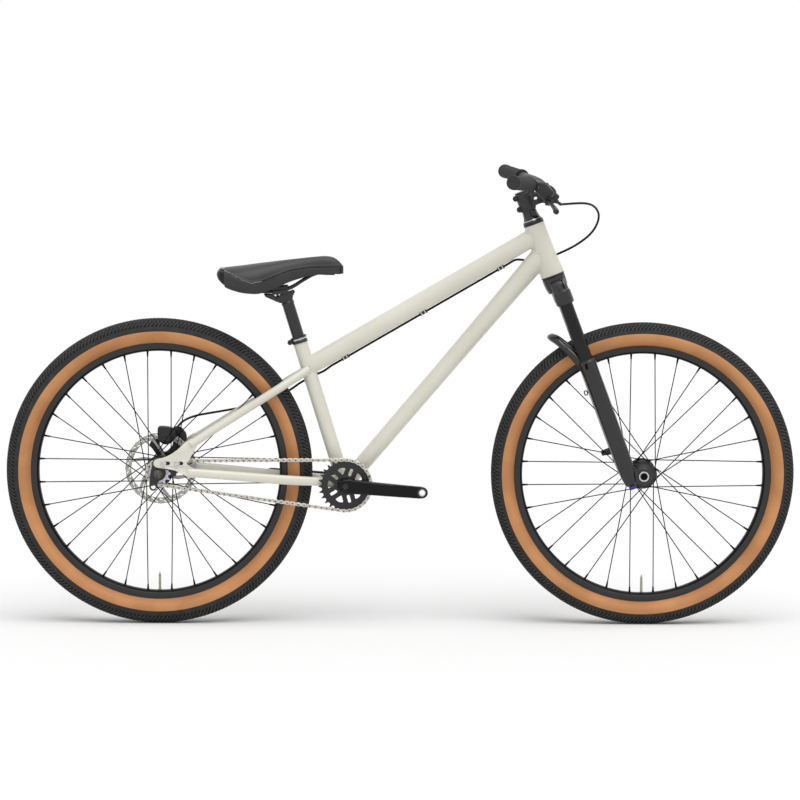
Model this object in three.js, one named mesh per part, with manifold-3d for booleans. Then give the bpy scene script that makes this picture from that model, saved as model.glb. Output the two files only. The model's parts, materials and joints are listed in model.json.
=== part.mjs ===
// Dirt jump bike: hardtail frame with sliding dropouts, reverse-arch suspension fork, single speed
// chain drive, one hydraulic rear disc brake, 32-spoke wheels and a railed saddle.
// Millimetres. X forward, Y to the rider's left, Z up; the origin is on the ground at mid wheelbase.
import * as THREE from "three";
import { mergeVertices } from "three/addons/utils/BufferGeometryUtils.js";
import Module from "manifold-3d";

const wasm = await Module();
wasm.setup();

// Driving dimensions
const clearance = 0.3; // between two pieces that touch on the real bike
const overrun = 6; // how far a cutting tool reaches past the face it opens
const wheelbase = 1073;
const rearTyre = { radius: 340, halfWidth: 29.5 };
const frontTyre = { radius: 336.5, halfWidth: 28.5 };
const wheelFacets = 28; // a multiple of four, so that the tread touches the ground at a vertex

const rim = {
  innerRadius: 267,
  shoulderRadius: 271,
  seatRadius: 280.1,
  flangeRadius: 285.2,
  halfWidth: 14.8,
  innerHalfWidth: 6,
  wall: 1.9,
};
const tyre = { beadHalfWidth: 7, airGap: 0.5, tubeBaseHalfWidth: 5.5, tubeSideGap: 6.5, tubeFacets: 14 };
const valve = { radius: 3, length: 40 };
const spokes = { count: 32, crosses: 3, radius: 1, rimOffset: 1.8, elbow: 1.2, facets: 3 };
const frontHub = {
  flangeRadius: 31,
  holeRadius: 28.5,
  shellRadius: 16.5,
  endRadius: 14,
  flangeThickness: 5,
  flangeTaper: 3,
  rightFlange: -28,
  leftFlange: 28,
  halfLength: 54.7,
};
const frontAxle = { radius: 10, bore: 6, halfLength: 68.5, headRadius: 12.5, headLength: 4 };
const rearHub = {
  flangeRadius: 31,
  holeRadius: 28.5,
  shellRadius: 17.5,
  endRadius: 20,
  flangeThickness: 5,
  flangeTaper: 3,
  rightFlange: -29,
  leftFlange: 34,
  rightEnd: -34.5,
  leftEnd: 67,
  capRadius: 11,
};
const hubFacets = 12;
const rearAxle = { radius: 5, halfSpacing: 67.5, shoulderRadius: 9, headRadius: 8.5, headLength: 6 };
const rotor = {
  radius: 80,
  trackWidth: 14.5,
  carrierRadius: 28,
  bore: 17,
  thickness: 1.8,
  place: 52,
  armWidth: 7,
};

const drive = {
  pitch: 12.7,
  rollerRadius: 3.7,
  ringTeeth: 28,
  cogTeeth: 13,
  links: 86,
  chainLine: 47,
  toothHeight: 3.5,
  toothThickness: 2,
};
const chain = { innerGap: 2.4, plate: 1, pinHalfHeight: 4 };
const driver = { radius: 17, rightEnd: -60, lockRadius: 14, lockLength: 3 };

const bbDrop = 27;
const bbShell = { radius: 21, bore: 17.5, halfWidth: 36.5, facets: 12 };
const bbCup = { radius: 19.5, length: 6.2, spigot: 14 };
const crank = {
  length: 170,
  tiltDegrees: -4.8,
  rootHalfHeight: 14.5,
  rootHalfThickness: 9,
  tipHalfThickness: 6,
  rootPlace: 66,
  tipPlace: 79,
  pedalBore: 7,
  spindleRadius: 12,
  spindleHalfLength: 84,
  bossEnd: 43.6,
};
const chainring = { boreRadius: 17, webInner: 22, webOuter: 49, armWidth: 7 };

const headAngle = THREE.MathUtils.degToRad(69.6);
const headTube = { length: 119.4, topRadius: 23, bore: 19, facets: 16 };
const seatAngle = THREE.MathUtils.degToRad(72.7);
const seatTube = { setBack: 4, length: 331, radius: 15.9, bore: 13.95, boreLength: 290, facets: 16 };
const topTube = { belowSeatTop: 60, headHeight: 95, radius: 20, seatHalfWidth: 15, facets: 12 };
const downTube = { headHeight: 54, bbRadius: 17.4, midRadius: 18.6, headRadius: 23, facets: 14 };
const seatstay = { radius: 9.5, endRadius: 9, facets: 8, steps: 7 };
const chainstay = { rootHalfHeight: 11, halfHeight: 9.5, halfWidth: 7.6, facets: 8, steps: 6 };
const dropout = { length: 100, inner: 73.8, thickness: 6, slotZ: 24, slotHalfHeight: 4 };
const slider = {
  inner: 67.5,
  thickness: 6,
  bolts: [12.8, 42.5],
  boltRadius: 3.3,
  headRadius: 6.6,
  headLength: 4,
};
const hoseGuide = { length: 12, straight: 36, radius: 5, drop: 3.6, distances: [82.8, 282.3, 480] };

const fork = {
  length: 484,
  offset: 35.5,
  legForward: 4.5,
  legSpacing: 116,
  stanchionRadius: 15,
  steererRadius: 14.3,
  lowersRise: 284,
  stanchionRise: 154,
  boreRise: 38,
  footDrop: 10,
  legTopRadius: 20,
  legRadius: 19,
  crownBottom: 64,
  capTop: 33,
  clampRadius: 20.5,
  facets: 12,
};
const lowers = {
  sealHeight: 7,
  footHeight: 14,
  footRadius: 14,
  archHalfWidth: 8,
  archHalfDepth: 9,
  bossInner: 55.3,
  bossOuter: 68,
  bossRadius: 18,
  webHalfHeight: 30,
  tabRises: [144, 70],
  tabReaches: [28, 34],
  tabRadius: 6,
};
const knob = { shaftRadius: 3, shaftLength: 14, radius: 7, height: 8 };
const headset = { cupHeight: 4, spigot: 12, wall: 2.6, coverHeight: 28, lowerRadius: 26, coverTopRadius: 15.6 };
const crown = { bossRadius: 26, bossBottom: 40, halfDepth: 17, underside: 34, legCapThickness: 2.6 };
const stem = {
  reach: 50,
  clampHeight: 41,
  barHeightShare: 0.48,
  clampRadius: 18,
  barRadius: 15.9,
  barClampRadius: 20.5,
  halfWidth: 25,
  lugRadius: 5.6,
  lugHalfLength: 11,
  lugBehind: 19,
  lugHeights: [0.2, 0.83],
  capHeight: 3.5,
  plugLength: 9,
  steererBore: 11,
  extensionHalfWidth: 14,
  extensionHalfHeight: 13,
  windowStart: 19,
  windowEnd: 27,
  windowHalfHeight: 7,
  splitGap: 1.4,
};
const bar = { halfWidth: 372, gripRadius: 11.1, clampShare: 0.09, taperShare: 0.38, facets: 8, steps: 16 };
const grip = {
  radius: 15.4,
  inset: 130,
  length: 137.5,
  ribs: 3,
  ribPitch: 10,
  ribDepth: 1,
  flangeRadius: 17,
  wall: 1.6,
  facets: 8,
};
const lever = {
  gripGap: 14,
  bodyLength: 60,
  bodyWidth: 18,
  bodyInset: 14,
  clampRadius: 14.8,
  clampWidth: 22,
  pivotInset: 8,
  pivotRadius: 2,
  bossRadius: 4.6,
  bossHalfLength: 4,
  lugRadius: 8,
  lugLength: 3.6,
  bladeLength: 118,
  bladeRoot: 3.5,
  rootShare: 0.2,
  bladeHalfWidth: 5,
  bladeHalfThickness: 3.2,
  nippleRadius: 3.5,
  nippleInsets: [16, 25.8],
};

const seatpost = { radius: 13.6, insertion: 180, headHeight: 442, neck: 20, headHalfWidth: 13, facets: 16 };
const collar = { thickness: 3.4, height: 15, boltRadius: 4.6, boltHalfLength: 12 };
const cradle = { unit: 100, halfWidth: 28, boltRadius: 2.6, boltDepth: 5, boltPlace: [-14, 6] };
const saddle = {
  length: 279,
  halfWidth: 70,
  height: 81.6,
  padding: 11,
  edge: 3.4,
  shellThickness: 3,
  arc: 8,
  shoulder: 0.62,
  thinnest: 0.8,
  behind: 148.7,
  below: 1.3,
  railRadius: 3.5,
  bossRadius: 4,
  rearBoss: 10,
  noseBoss: 11,
};
const hose = { radius: 2.5, facets: 5, frontSteps: 15, rearSteps: 31 };
const caliper = { inner: 38, outer: 60, slotRadius: 82, slotHalfWidth: 1.4 };
const bracket = { inner: 60.3, outer: 67.2 };

// Directions and the main points of the geometry
const up = new THREE.Vector3(0, 0, 1);
const forward = new THREE.Vector3(1, 0, 0);
const left = new THREE.Vector3(0, 1, 0);
const steerUp = new THREE.Vector3(-Math.cos(headAngle), 0, Math.sin(headAngle));
const steerForward = new THREE.Vector3(Math.sin(headAngle), 0, Math.cos(headAngle));
const seatUp = new THREE.Vector3(-Math.cos(seatAngle), 0, Math.sin(seatAngle));

const sprocketRadius = (teeth) => drive.pitch / (2 * Math.sin(Math.PI / teeth));
const seatedRollers = (teeth) => 2 * Math.floor(teeth / 4) + 1;
const wrapAngle = (teeth) => ((seatedRollers(teeth) - 1) * Math.PI) / teeth;
const ringRadius = sprocketRadius(drive.ringTeeth);
const cogRadius = sprocketRadius(drive.cogTeeth);
const freePitches =
  (drive.links - seatedRollers(drive.ringTeeth) - seatedRollers(drive.cogTeeth)) / 2 + 1;

// The axle slides in its dropouts until both runs of the chain are straight, so the chain sets it.
const ringEnd = new THREE.Vector2(
  ringRadius * Math.cos(wrapAngle(drive.ringTeeth)),
  ringRadius * Math.sin(wrapAngle(drive.ringTeeth)),
);
const cogEnd = new THREE.Vector2(
  -cogRadius * Math.cos(wrapAngle(drive.cogTeeth)),
  cogRadius * Math.sin(wrapAngle(drive.cogTeeth)),
);
const centreDistance =
  Math.sqrt((freePitches * drive.pitch) ** 2 - (ringEnd.y - cogEnd.y) ** 2) - ringEnd.x + cogEnd.x;

const rearCentre = new THREE.Vector3(-wheelbase / 2, 0, rearTyre.radius);
const frontCentre = new THREE.Vector3(wheelbase / 2, 0, frontTyre.radius);
const bbCentre = new THREE.Vector3(
  rearCentre.x + Math.sqrt(centreDistance ** 2 - bbDrop ** 2),
  0,
  rearCentre.z - bbDrop,
);
const driveTilt = -Math.asin(bbDrop / centreDistance);

// Places along the fork, down from the head tube's lower face
const lowersTop = fork.length - fork.lowersRise;
const stanchionBottom = fork.length - fork.stanchionRise;
const boreBottom = fork.length - fork.boreRise;
const legBottom = fork.length + fork.footDrop;

// The lower face of the head tube, reached from the front axle along the fork
const headBottom = frontCentre
  .clone()
  .addScaledVector(steerForward, -fork.offset)
  .addScaledVector(steerUp, fork.length);
const headTop = headBottom.clone().addScaledVector(steerUp, headTube.length);
const seatFoot = bbCentre.clone().addScaledVector(forward, -seatTube.setBack);

// A point in the fork's own directions: forward, left and down from the head tube's lower face
function forkPoint(ahead, side, down) {
  return headBottom
    .clone()
    .addScaledVector(steerForward, ahead)
    .addScaledVector(left, side)
    .addScaledVector(steerUp, -down);
}

function seatPoint(ahead, side, height) {
  const seatForward = new THREE.Vector3(seatUp.z, 0, -seatUp.x);
  return seatFoot
    .clone()
    .addScaledVector(seatForward, ahead)
    .addScaledVector(left, side)
    .addScaledVector(seatUp, height);
}

const topTubeFoot = seatPoint(0, 0, seatTube.length - topTube.belowSeatTop);

// Shape helpers
function toSolid(geometry) {
  const plain = geometry.index ? geometry.toNonIndexed() : geometry.clone();
  for (const key of Object.keys(plain.attributes)) {
    if (key !== "position") plain.deleteAttribute(key);
  }
  const merged = mergeVertices(plain, 1e-4);
  const make = (triVerts) =>
    new wasm.Manifold(
      new wasm.Mesh({
        numProp: 3,
        vertProperties: merged.attributes.position.array,
        triVerts: new Uint32Array(triVerts),
      }),
    );
  const indices = Array.from(merged.index.array);
  const solid = make(indices);
  return solid.volume() < 0 ? make(indices.reverse()) : solid;
}

function toGeometry(solid) {
  const mesh = solid.getMesh();
  return new THREE.BufferGeometry()
    .setAttribute("position", new THREE.BufferAttribute(mesh.vertProperties, 3))
    .setIndex(new THREE.BufferAttribute(mesh.triVerts, 1));
}

function join(...solids) {
  return solids.flat().reduce((whole, piece) => whole.add(piece));
}

function cut(solid, ...tools) {
  return tools.flat().reduce((rest, tool) => rest.subtract(tool), solid);
}

function mirrored(solid) {
  return solid.mirror([0, 1, 0]);
}

// Turns a geometry made about the Y axis onto a direction and moves its origin to a point.
function aim(geometry, origin, direction) {
  const turn = new THREE.Quaternion().setFromUnitVectors(left, direction.clone().normalize());
  return geometry.applyQuaternion(turn).translate(origin.x, origin.y, origin.z);
}

// A turned piece: profile points are [radius, distance along the axis].
function revolve(profile, origin, direction, facets) {
  const points = profile.map(([r, h]) => new THREE.Vector2(r, h));
  const closed = profile[0][0] > 0 ? [...points, points[0].clone()] : points;
  return toSolid(aim(new THREE.LatheGeometry(closed, facets), origin, direction));
}

function rod(from, to, radius, facets, endRadius = radius) {
  const along = to.clone().sub(from);
  const profile = [
    [0, 0],
    [radius, 0],
    [endRadius, along.length()],
    [0, along.length()],
  ];
  return revolve(profile, from, along, facets);
}

function ringOf(inner, outer, from, to, origin, direction, facets) {
  const profile = [
    [inner, from],
    [outer, from],
    [outer, to],
    [inner, to],
  ];
  return revolve(profile, origin, direction, facets);
}

// A flat piece drawn in X and Z about a centre, between two places along Y.
function plate(outline, centre, lowY, highY, holes = []) {
  const toPath = (points) => points.map(([x, z]) => new THREE.Vector2(x, z));
  const shape = new THREE.Shape(toPath(outline));
  shape.holes = holes.map((hole) => new THREE.Path(toPath(hole)));
  const geometry = new THREE.ExtrudeGeometry(shape, {
    depth: highY - lowY,
    bevelEnabled: false,
    steps: 1,
  });
  return toSolid(geometry.rotateX(Math.PI / 2).translate(centre.x, highY, centre.z));
}

// A bore whose flats stand clear of the corners of the shaft that turns in it
function turningBore(radius, facets) {
  return (radius + clearance) / Math.cos(Math.PI / facets);
}

function circle(radius, facets, x = 0, z = 0, start = 0) {
  return Array.from({ length: facets }, (_, i) => {
    const angle = start + (i * 2 * Math.PI) / facets;
    return [x + radius * Math.cos(angle), z + radius * Math.sin(angle)];
  });
}

function stadium(x0, x1, z, halfHeight) {
  const end = (x, turn) =>
    [-1, -1 / 3, 1 / 3, 1].map((share) => {
      const angle = turn + (share * Math.PI) / 2;
      return [x + halfHeight * Math.cos(angle), z + halfHeight * Math.sin(angle)];
    });
  return [...end(x1, 0), ...end(x0, Math.PI)];
}

// A closed skin over equal rings of points; a loop of rings closes on itself, else it is capped.
function loft(rings, loop = false) {
  const sides = rings[0].length;
  const positions = rings.flat().flatMap((p) => [p.x, p.y, p.z]);
  const index = [];
  const bands = loop ? rings.length : rings.length - 1;
  for (let i = 0; i < bands; i++) {
    const next = (i + 1) % rings.length;
    for (let j = 0; j < sides; j++) {
      const a = i * sides + j;
      const b = i * sides + ((j + 1) % sides);
      const c = next * sides + j;
      const d = next * sides + ((j + 1) % sides);
      index.push(a, c, b, b, c, d);
    }
  }
  if (!loop) {
    const last = (rings.length - 1) * sides;
    for (let j = 1; j < sides - 1; j++) {
      index.push(0, j, j + 1);
      index.push(last, last + j + 1, last + j);
    }
  }
  const geometry = new THREE.BufferGeometry()
    .setAttribute("position", new THREE.Float32BufferAttribute(positions, 3))
    .setIndex(index);
  return toSolid(geometry);
}

// An oval ring of points about a centre, in two directions.
function oval(centre, along, across, halfAlong, halfAcross, facets) {
  return Array.from({ length: facets }, (_, i) => {
    const angle = ((i + 0.5) * 2 * Math.PI) / facets;
    return centre
      .clone()
      .addScaledVector(along, halfAlong * Math.cos(angle))
      .addScaledVector(across, halfAcross * Math.sin(angle));
  });
}

// A tube with an oval section that changes along a smooth path; size(t) gives its two half sizes.
function taperedTube(points, size, facets, steps, reference) {
  const curve = new THREE.CatmullRomCurve3(points, false, "centripetal");
  const rings = [];
  for (let i = 0; i <= steps; i++) {
    const t = i / steps;
    const along = curve.getTangentAt(t);
    const side = new THREE.Vector3().crossVectors(along, reference).normalize();
    const rise = new THREE.Vector3().crossVectors(side, along).normalize();
    const [halfSide, halfRise] = size(t);
    rings.push(oval(curve.getPointAt(t), side, rise, halfSide, halfRise, facets));
  }
  return loft(rings);
}

// A round cord or rod of even thickness along a smooth path
function cordAlong(points, radius, facets, steps) {
  const section = new THREE.Shape(circle(radius, facets).map(([x, z]) => new THREE.Vector2(x, z)));
  const path = new THREE.CatmullRomCurve3(points, false, "centripetal");
  return toSolid(
    new THREE.ExtrudeGeometry(section, { steps, extrudePath: path, bevelEnabled: false }),
  );
}

const model = new THREE.Group();
const finishes = {
  cream: { color: 0xe1decf, roughness: 0.35, metalness: 0 },
  black: { color: 0x121214, roughness: 0.35, metalness: 0.3 },
  gloss: { color: 0x08080a, roughness: 0.15, metalness: 0.2 },
  grey: { color: 0x2b2c2f, roughness: 0.6, metalness: 0.1 },
  rubber: { color: 0x1b1b1c, roughness: 0.85, metalness: 0 },
  tan: { color: 0xc08a52, roughness: 0.75, metalness: 0 },
  steel: { color: 0xb9b7b0, roughness: 0.3, metalness: 0.9 },
  brass: { color: 0x8a7a4c, roughness: 0.4, metalness: 0.7 },
  violet: { color: 0x3d3a8c, roughness: 0.35, metalness: 0.4 },
};

function addPart(name, solid, finish) {
  const mesh = new THREE.Mesh(toGeometry(solid), new THREE.MeshStandardMaterial(finishes[finish]));
  mesh.name = name;
  model.add(mesh);
  return solid;
}

// Wheels: all turned about the Y axis through the wheel's centre
const beadRadius = rim.seatRadius + clearance;
const tyreOuterShares = [
  [0.33, 0.97],
  [0.765, 0.87],
  [1, 0.3],
];
const tyreInnerShares = [
  [0.41, 0.88],
  [0.915, 0.27],
];

function bothSides(half) {
  return [...half, ...half.map(([r, y]) => [r, -y]).reverse()];
}

// Half of a section: [share of the height above the bead, share of the half width]
function tyrePoints(shares, size) {
  const height = size.radius - beadRadius;
  return shares.map(([rise, width]) => [beadRadius + rise * height, width * size.halfWidth]);
}

function makeTyre(size, centre) {
  const outer = bothSides([[beadRadius, tyre.beadHalfWidth], ...tyrePoints(tyreOuterShares, size)]);
  const inner = bothSides(tyrePoints(tyreInnerShares, size)).reverse();
  return revolve([...outer, ...inner], centre, left, wheelFacets);
}

// The inner tube fills the tyre and its valve comes through the rim, pointing at the hub.
function makeInnerTube(size, centre) {
  const [widest, top] = tyrePoints(tyreInnerShares, size);
  const half = [
    [beadRadius / Math.cos(Math.PI / tyre.tubeFacets) + tyre.airGap, tyre.tubeBaseHalfWidth],
    [widest[0], widest[1] - tyre.tubeSideGap],
    [top[0] - tyre.airGap, top[1] - tyre.airGap],
  ];
  const stem = rod(
    centre.clone().addScaledVector(up, -beadRadius - 4 * valve.radius),
    centre.clone().addScaledVector(up, valve.length - rim.innerRadius),
    valve.radius,
    8,
  );
  return join(revolve(bothSides(half), centre, left, tyre.tubeFacets), stem);
}

function makeRim(centre) {
  const innerWall = rim.halfWidth - rim.wall;
  const half = [
    [rim.innerRadius, rim.innerHalfWidth],
    [rim.shoulderRadius, rim.halfWidth],
    [rim.flangeRadius, rim.halfWidth],
    [rim.flangeRadius, innerWall],
    [rim.seatRadius, innerWall],
  ];
  const hoop = revolve(bothSides(half), centre, left, wheelFacets);
  const valveHole = rod(
    centre.clone().addScaledVector(up, -rim.flangeRadius),
    centre.clone().addScaledVector(up, overrun - rim.innerRadius),
    valve.radius + clearance,
    8,
  );
  return cut(hoop, valveHole);
}

// Each flange holds every other spoke; its spokes lead and trail in turn, crossing as they go.
function makeSpokes(hub, centre) {
  const step = (2 * Math.PI) / spokes.count;
  const swing = spokes.crosses * 2 * step;
  const outerEnd = rim.innerRadius * Math.cos(Math.PI / wheelFacets) - clearance;
  return Array.from({ length: spokes.count }, (_, i) => {
    const side = i % 2 ? -1 : 1;
    const lead = Math.floor(i / 2) % 2 ? -1 : 1;
    const rimAngle = (i + 0.5) * step;
    const hubAngle = rimAngle + lead * swing;
    const flange = side > 0 ? hub.leftFlange : hub.rightFlange;
    const end = (radius, angle, place) => {
      const point = new THREE.Vector3(radius * Math.cos(angle), place, radius * Math.sin(angle));
      const around = new THREE.Vector3(-Math.sin(angle), 0, Math.cos(angle));
      return oval(point.add(centre), around, left, spokes.radius, spokes.radius, spokes.facets);
    };
    return loft([
      end(hub.holeRadius, hubAngle, flange + lead * spokes.elbow),
      end(outerEnd, rimAngle, side * spokes.rimOffset + lead * spokes.elbow),
    ]);
  });
}

function makeFrontHub(centre) {
  const half = frontHub.flangeThickness / 2;
  const bore = turningBore(frontAxle.radius, hubFacets);
  const flange = (place) => [
    [frontHub.shellRadius, place - half - frontHub.flangeTaper],
    [frontHub.flangeRadius, place - half],
    [frontHub.flangeRadius, place + half],
    [frontHub.shellRadius, place + half + frontHub.flangeTaper],
  ];
  const shell = revolve(
    [
      [bore, -frontHub.halfLength],
      [frontHub.endRadius, -frontHub.halfLength],
      ...flange(frontHub.rightFlange),
      ...flange(frontHub.leftFlange),
      [frontHub.endRadius, frontHub.halfLength],
      [bore, frontHub.halfLength],
    ],
    centre,
    left,
    hubFacets,
  );
  return join(shell, makeSpokes(frontHub, centre));
}

// The rear hub carries the rotor on its left neck and the freewheel driver turns at its right end.
function makeRearHub(centre) {
  const half = rearHub.flangeThickness / 2;
  const bore = turningBore(rearAxle.radius, hubFacets);
  const seat = rotor.place - rotor.thickness / 2 - clearance;
  const lock = rotor.place + rotor.thickness / 2 + clearance;
  const shell = revolve(
    [
      [bore, rearHub.rightEnd],
      [rearHub.shellRadius, rearHub.rightEnd],
      [rearHub.flangeRadius, rearHub.rightFlange - half],
      [rearHub.flangeRadius, rearHub.rightFlange + half],
      [rearHub.shellRadius, rearHub.rightFlange + half + rearHub.flangeTaper],
      [rearHub.shellRadius, rearHub.leftFlange - half - rearHub.flangeTaper],
      [rearHub.flangeRadius, rearHub.leftFlange - half],
      [rearHub.flangeRadius, rearHub.leftFlange + half],
      [rearHub.endRadius, rearHub.leftFlange + half + rearHub.flangeTaper],
      [rearHub.endRadius, seat],
      [rotor.bore - clearance, seat],
      [rotor.bore - clearance, lock],
      [rearHub.capRadius, lock],
      [rearHub.capRadius, rearHub.leftEnd],
      [bore, rearHub.leftEnd],
    ],
    centre,
    left,
    hubFacets,
  );
  return join(shell, makeSpokes(rearHub, centre));
}

// Brake disc: a plain track on swept arms
function makeRotor(centre) {
  const arms = 6;
  const track = rotor.radius - rotor.trackWidth;
  const sweep = Math.PI / (2 * arms);
  const polar = (radius, angle) => [radius * Math.cos(angle), radius * Math.sin(angle)];
  const windows = Array.from({ length: arms }, (_, i) => {
    const middle = (i * 2 * Math.PI) / arms;
    const outer = Math.PI / arms - rotor.armWidth / track / 2;
    const inner = Math.PI / arms - rotor.armWidth / rotor.carrierRadius / 2;
    return [
      polar(rotor.carrierRadius, middle - inner - sweep),
      polar(rotor.carrierRadius, middle + inner - sweep),
      polar(track, middle + outer + sweep),
      polar(track, middle + sweep),
      polar(track, middle - outer + sweep),
    ];
  });
  return plate(
    circle(rotor.radius, wheelFacets),
    centre,
    rotor.place - rotor.thickness / 2,
    rotor.place + rotor.thickness / 2,
    [circle(rotor.bore, hubFacets), ...windows],
  );
}

// Drive: valleys between the teeth lie on the pitch circle where the rollers seat
function toothOutline(teeth, startAngle) {
  const pitchRadius = sprocketRadius(teeth);
  const valley = pitchRadius - drive.rollerRadius - clearance;
  const tip = pitchRadius + drive.toothHeight;
  const step = (2 * Math.PI) / teeth;
  const halfValley = drive.rollerRadius / 2 / valley;
  return Array.from({ length: teeth }, (_, i) => {
    const seat = startAngle + i * step;
    return [
      [valley, seat - halfValley],
      [valley, seat + halfValley],
      [tip, seat + step / 2],
    ].map(([radius, angle]) => [radius * Math.cos(angle), radius * Math.sin(angle)]);
  }).flat();
}

// Ring with five pairs of arms: triangular windows inside each pair, rounded slots between pairs
function makeChainring() {
  const pairs = 5;
  const { webInner, webOuter } = chainring;
  const polar = (radius, angle) => [radius * Math.cos(angle), radius * Math.sin(angle)];
  const span = (2 * Math.PI) / pairs;
  const windows = Array.from({ length: pairs }, (_, i) => {
    const middle = driveTilt + i * span;
    const wide = span / 4 - chainring.armWidth / webOuter / 2;
    const triangle = [
      polar(webOuter, middle - wide),
      polar(webInner + chainring.armWidth, middle),
      polar(webOuter, middle + wide),
    ];
    const gap = middle + span / 2;
    const near = span / 4 - chainring.armWidth / webInner / 2;
    const slot = [
      polar(webInner, gap - near),
      polar(webInner, gap + near),
      polar(webOuter, gap + wide),
      polar(webOuter, gap),
      polar(webOuter, gap - wide),
    ];
    return [triangle.reverse(), slot];
  }).flat();
  return plate(
    toothOutline(drive.ringTeeth, driveTilt),
    bbCentre,
    -drive.chainLine - drive.toothThickness / 2,
    -drive.chainLine + drive.toothThickness / 2,
    [circle(chainring.boreRadius, 16), ...windows],
  );
}

// Cog and driver turn freely on the axle beside the hub.
function makeCog() {
  const bore = turningBore(rearAxle.radius, 12);
  const half = drive.toothThickness / 2;
  const teeth = plate(
    toothOutline(drive.cogTeeth, Math.PI + driveTilt),
    rearCentre,
    -drive.chainLine - half,
    -drive.chainLine + half,
    [circle(driver.radius - clearance, 12)],
  );
  const body = revolve(
    [
      [bore, rearHub.rightEnd - clearance],
      [driver.radius, rearHub.rightEnd - clearance],
      [driver.radius, driver.rightEnd + driver.lockLength],
      [driver.lockRadius, driver.rightEnd + driver.lockLength],
      [driver.lockRadius, driver.rightEnd],
      [bore, driver.rightEnd],
    ],
    rearCentre,
    left,
    12,
  );
  return join(body, teeth);
}

// The roller centres all round the chain, in the plane of the sprockets: rollers seated on the
// ring, then the upper run, the rollers seated on the cog and the lower run
function rollerCentres() {
  const ahead = new THREE.Vector3(Math.cos(driveTilt), 0, Math.sin(driveTilt));
  const above = new THREE.Vector3(-Math.sin(driveTilt), 0, Math.cos(driveTilt));
  const at = (centre, x, z) =>
    centre.clone().addScaledVector(ahead, x).addScaledVector(above, z)
      .addScaledVector(left, -drive.chainLine);
  const seated = (centre, teeth, facing) => {
    const radius = sprocketRadius(teeth);
    const half = (seatedRollers(teeth) - 1) / 2;
    return Array.from({ length: 2 * half + 1 }, (_, i) => {
      const angle = ((i - half) * 2 * Math.PI) / teeth;
      return at(centre, facing * radius * Math.cos(angle), facing * radius * Math.sin(angle));
    });
  };
  const ring = seated(bbCentre, drive.ringTeeth, 1);
  const cog = seated(rearCentre, drive.cogTeeth, -1);
  const run = (from, to) =>
    Array.from({ length: freePitches - 1 }, (_, i) => from.clone().lerp(to, (i + 1) / freePitches));
  return [...ring, ...run(ring.at(-1), cog[0]), ...cog, ...run(cog.at(-1), ring[0])];
}

// Roller chain, one skin: a strip of plates on each side, where inner and outer plates take turns,
// and a roller from strip to strip at every pin.
function makeChain() {
  const pins = rollerCentres();
  const count = pins.length;
  const cyclic = (i) => pins[(i + count) % count];
  const points = [];
  const faces = [];
  const store = (list) => list.map((p) => points.push(p) - 1);
  const strip = (sign) =>
    pins.map((pin, i) => {
      const along = cyclic(i + 1).clone().sub(cyclic(i - 1)).normalize();
      const rise = new THREE.Vector3().crossVectors(left, along);
      const at = (way, distance, place) =>
        pin.clone().addScaledVector(way, distance).addScaledVector(left, sign * place);
      const { innerGap, pinHalfHeight } = chain;
      const outer = innerGap + 2 * chain.plate;
      const radius = drive.rollerRadius;
      return {
        plates: store([
          at(rise, -pinHalfHeight, innerGap),
          at(rise, -pinHalfHeight, outer),
          at(rise, pinHalfHeight, outer),
          at(rise, pinHalfHeight, innerGap),
        ]),
        roller: store([
          at(rise, -radius, innerGap),
          at(along, radius, innerGap),
          at(rise, radius, innerGap),
          at(along, -radius, innerGap),
        ]),
      };
    });
  const skin = (stations, add) =>
    stations.forEach(({ plates, roller }, i) => {
      const { plates: next, roller: nextRoller } = stations[(i + 1) % count];
      for (let j = 0; j < 3; j++) {
        add(plates[j], next[j], plates[j + 1]);
        add(plates[j + 1], next[j], next[j + 1]);
      }
      const [low, fore, high] = roller;
      const [nextLow, , nextHigh, back] = nextRoller;
      add(plates[3], next[3], high);
      add(next[3], nextHigh, high);
      add(high, nextHigh, fore);
      add(fore, nextHigh, back);
      add(fore, back, low);
      add(low, back, nextLow);
      add(low, nextLow, plates[0]);
      add(plates[0], nextLow, next[0]);
    });
  const leftStrip = strip(1);
  const rightStrip = strip(-1);
  skin(leftStrip, (a, b, c) => faces.push(a, b, c));
  skin(rightStrip, (a, b, c) => faces.push(a, c, b));
  leftStrip.forEach(({ roller: near }, i) => {
    const far = rightStrip[i].roller;
    for (let j = 0; j < 4; j++) {
      const k = (j + 1) % 4;
      faces.push(near[k], near[j], far[j], near[k], far[j], far[k]);
    }
  });
  const geometry = new THREE.BufferGeometry()
    .setAttribute(
      "position",
      new THREE.Float32BufferAttribute(points.flatMap((p) => [p.x, p.y, p.z]), 3),
    )
    .setIndex(faces);
  return toSolid(geometry);
}

// Cranks: from each spindle end to each pedal hole, with rounded ends
const crankShares = [
  [-0.085, 0.3, 0],
  [-0.06, 0.75, 0],
  [0, 1, 0],
  [0.25, 0.84, 0.25],
  [0.65, 0.76, 0.75],
  [0.94, 0.86, 1],
  [1.03, 0.72, 1],
  [1.07, 0.3, 1],
];

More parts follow.
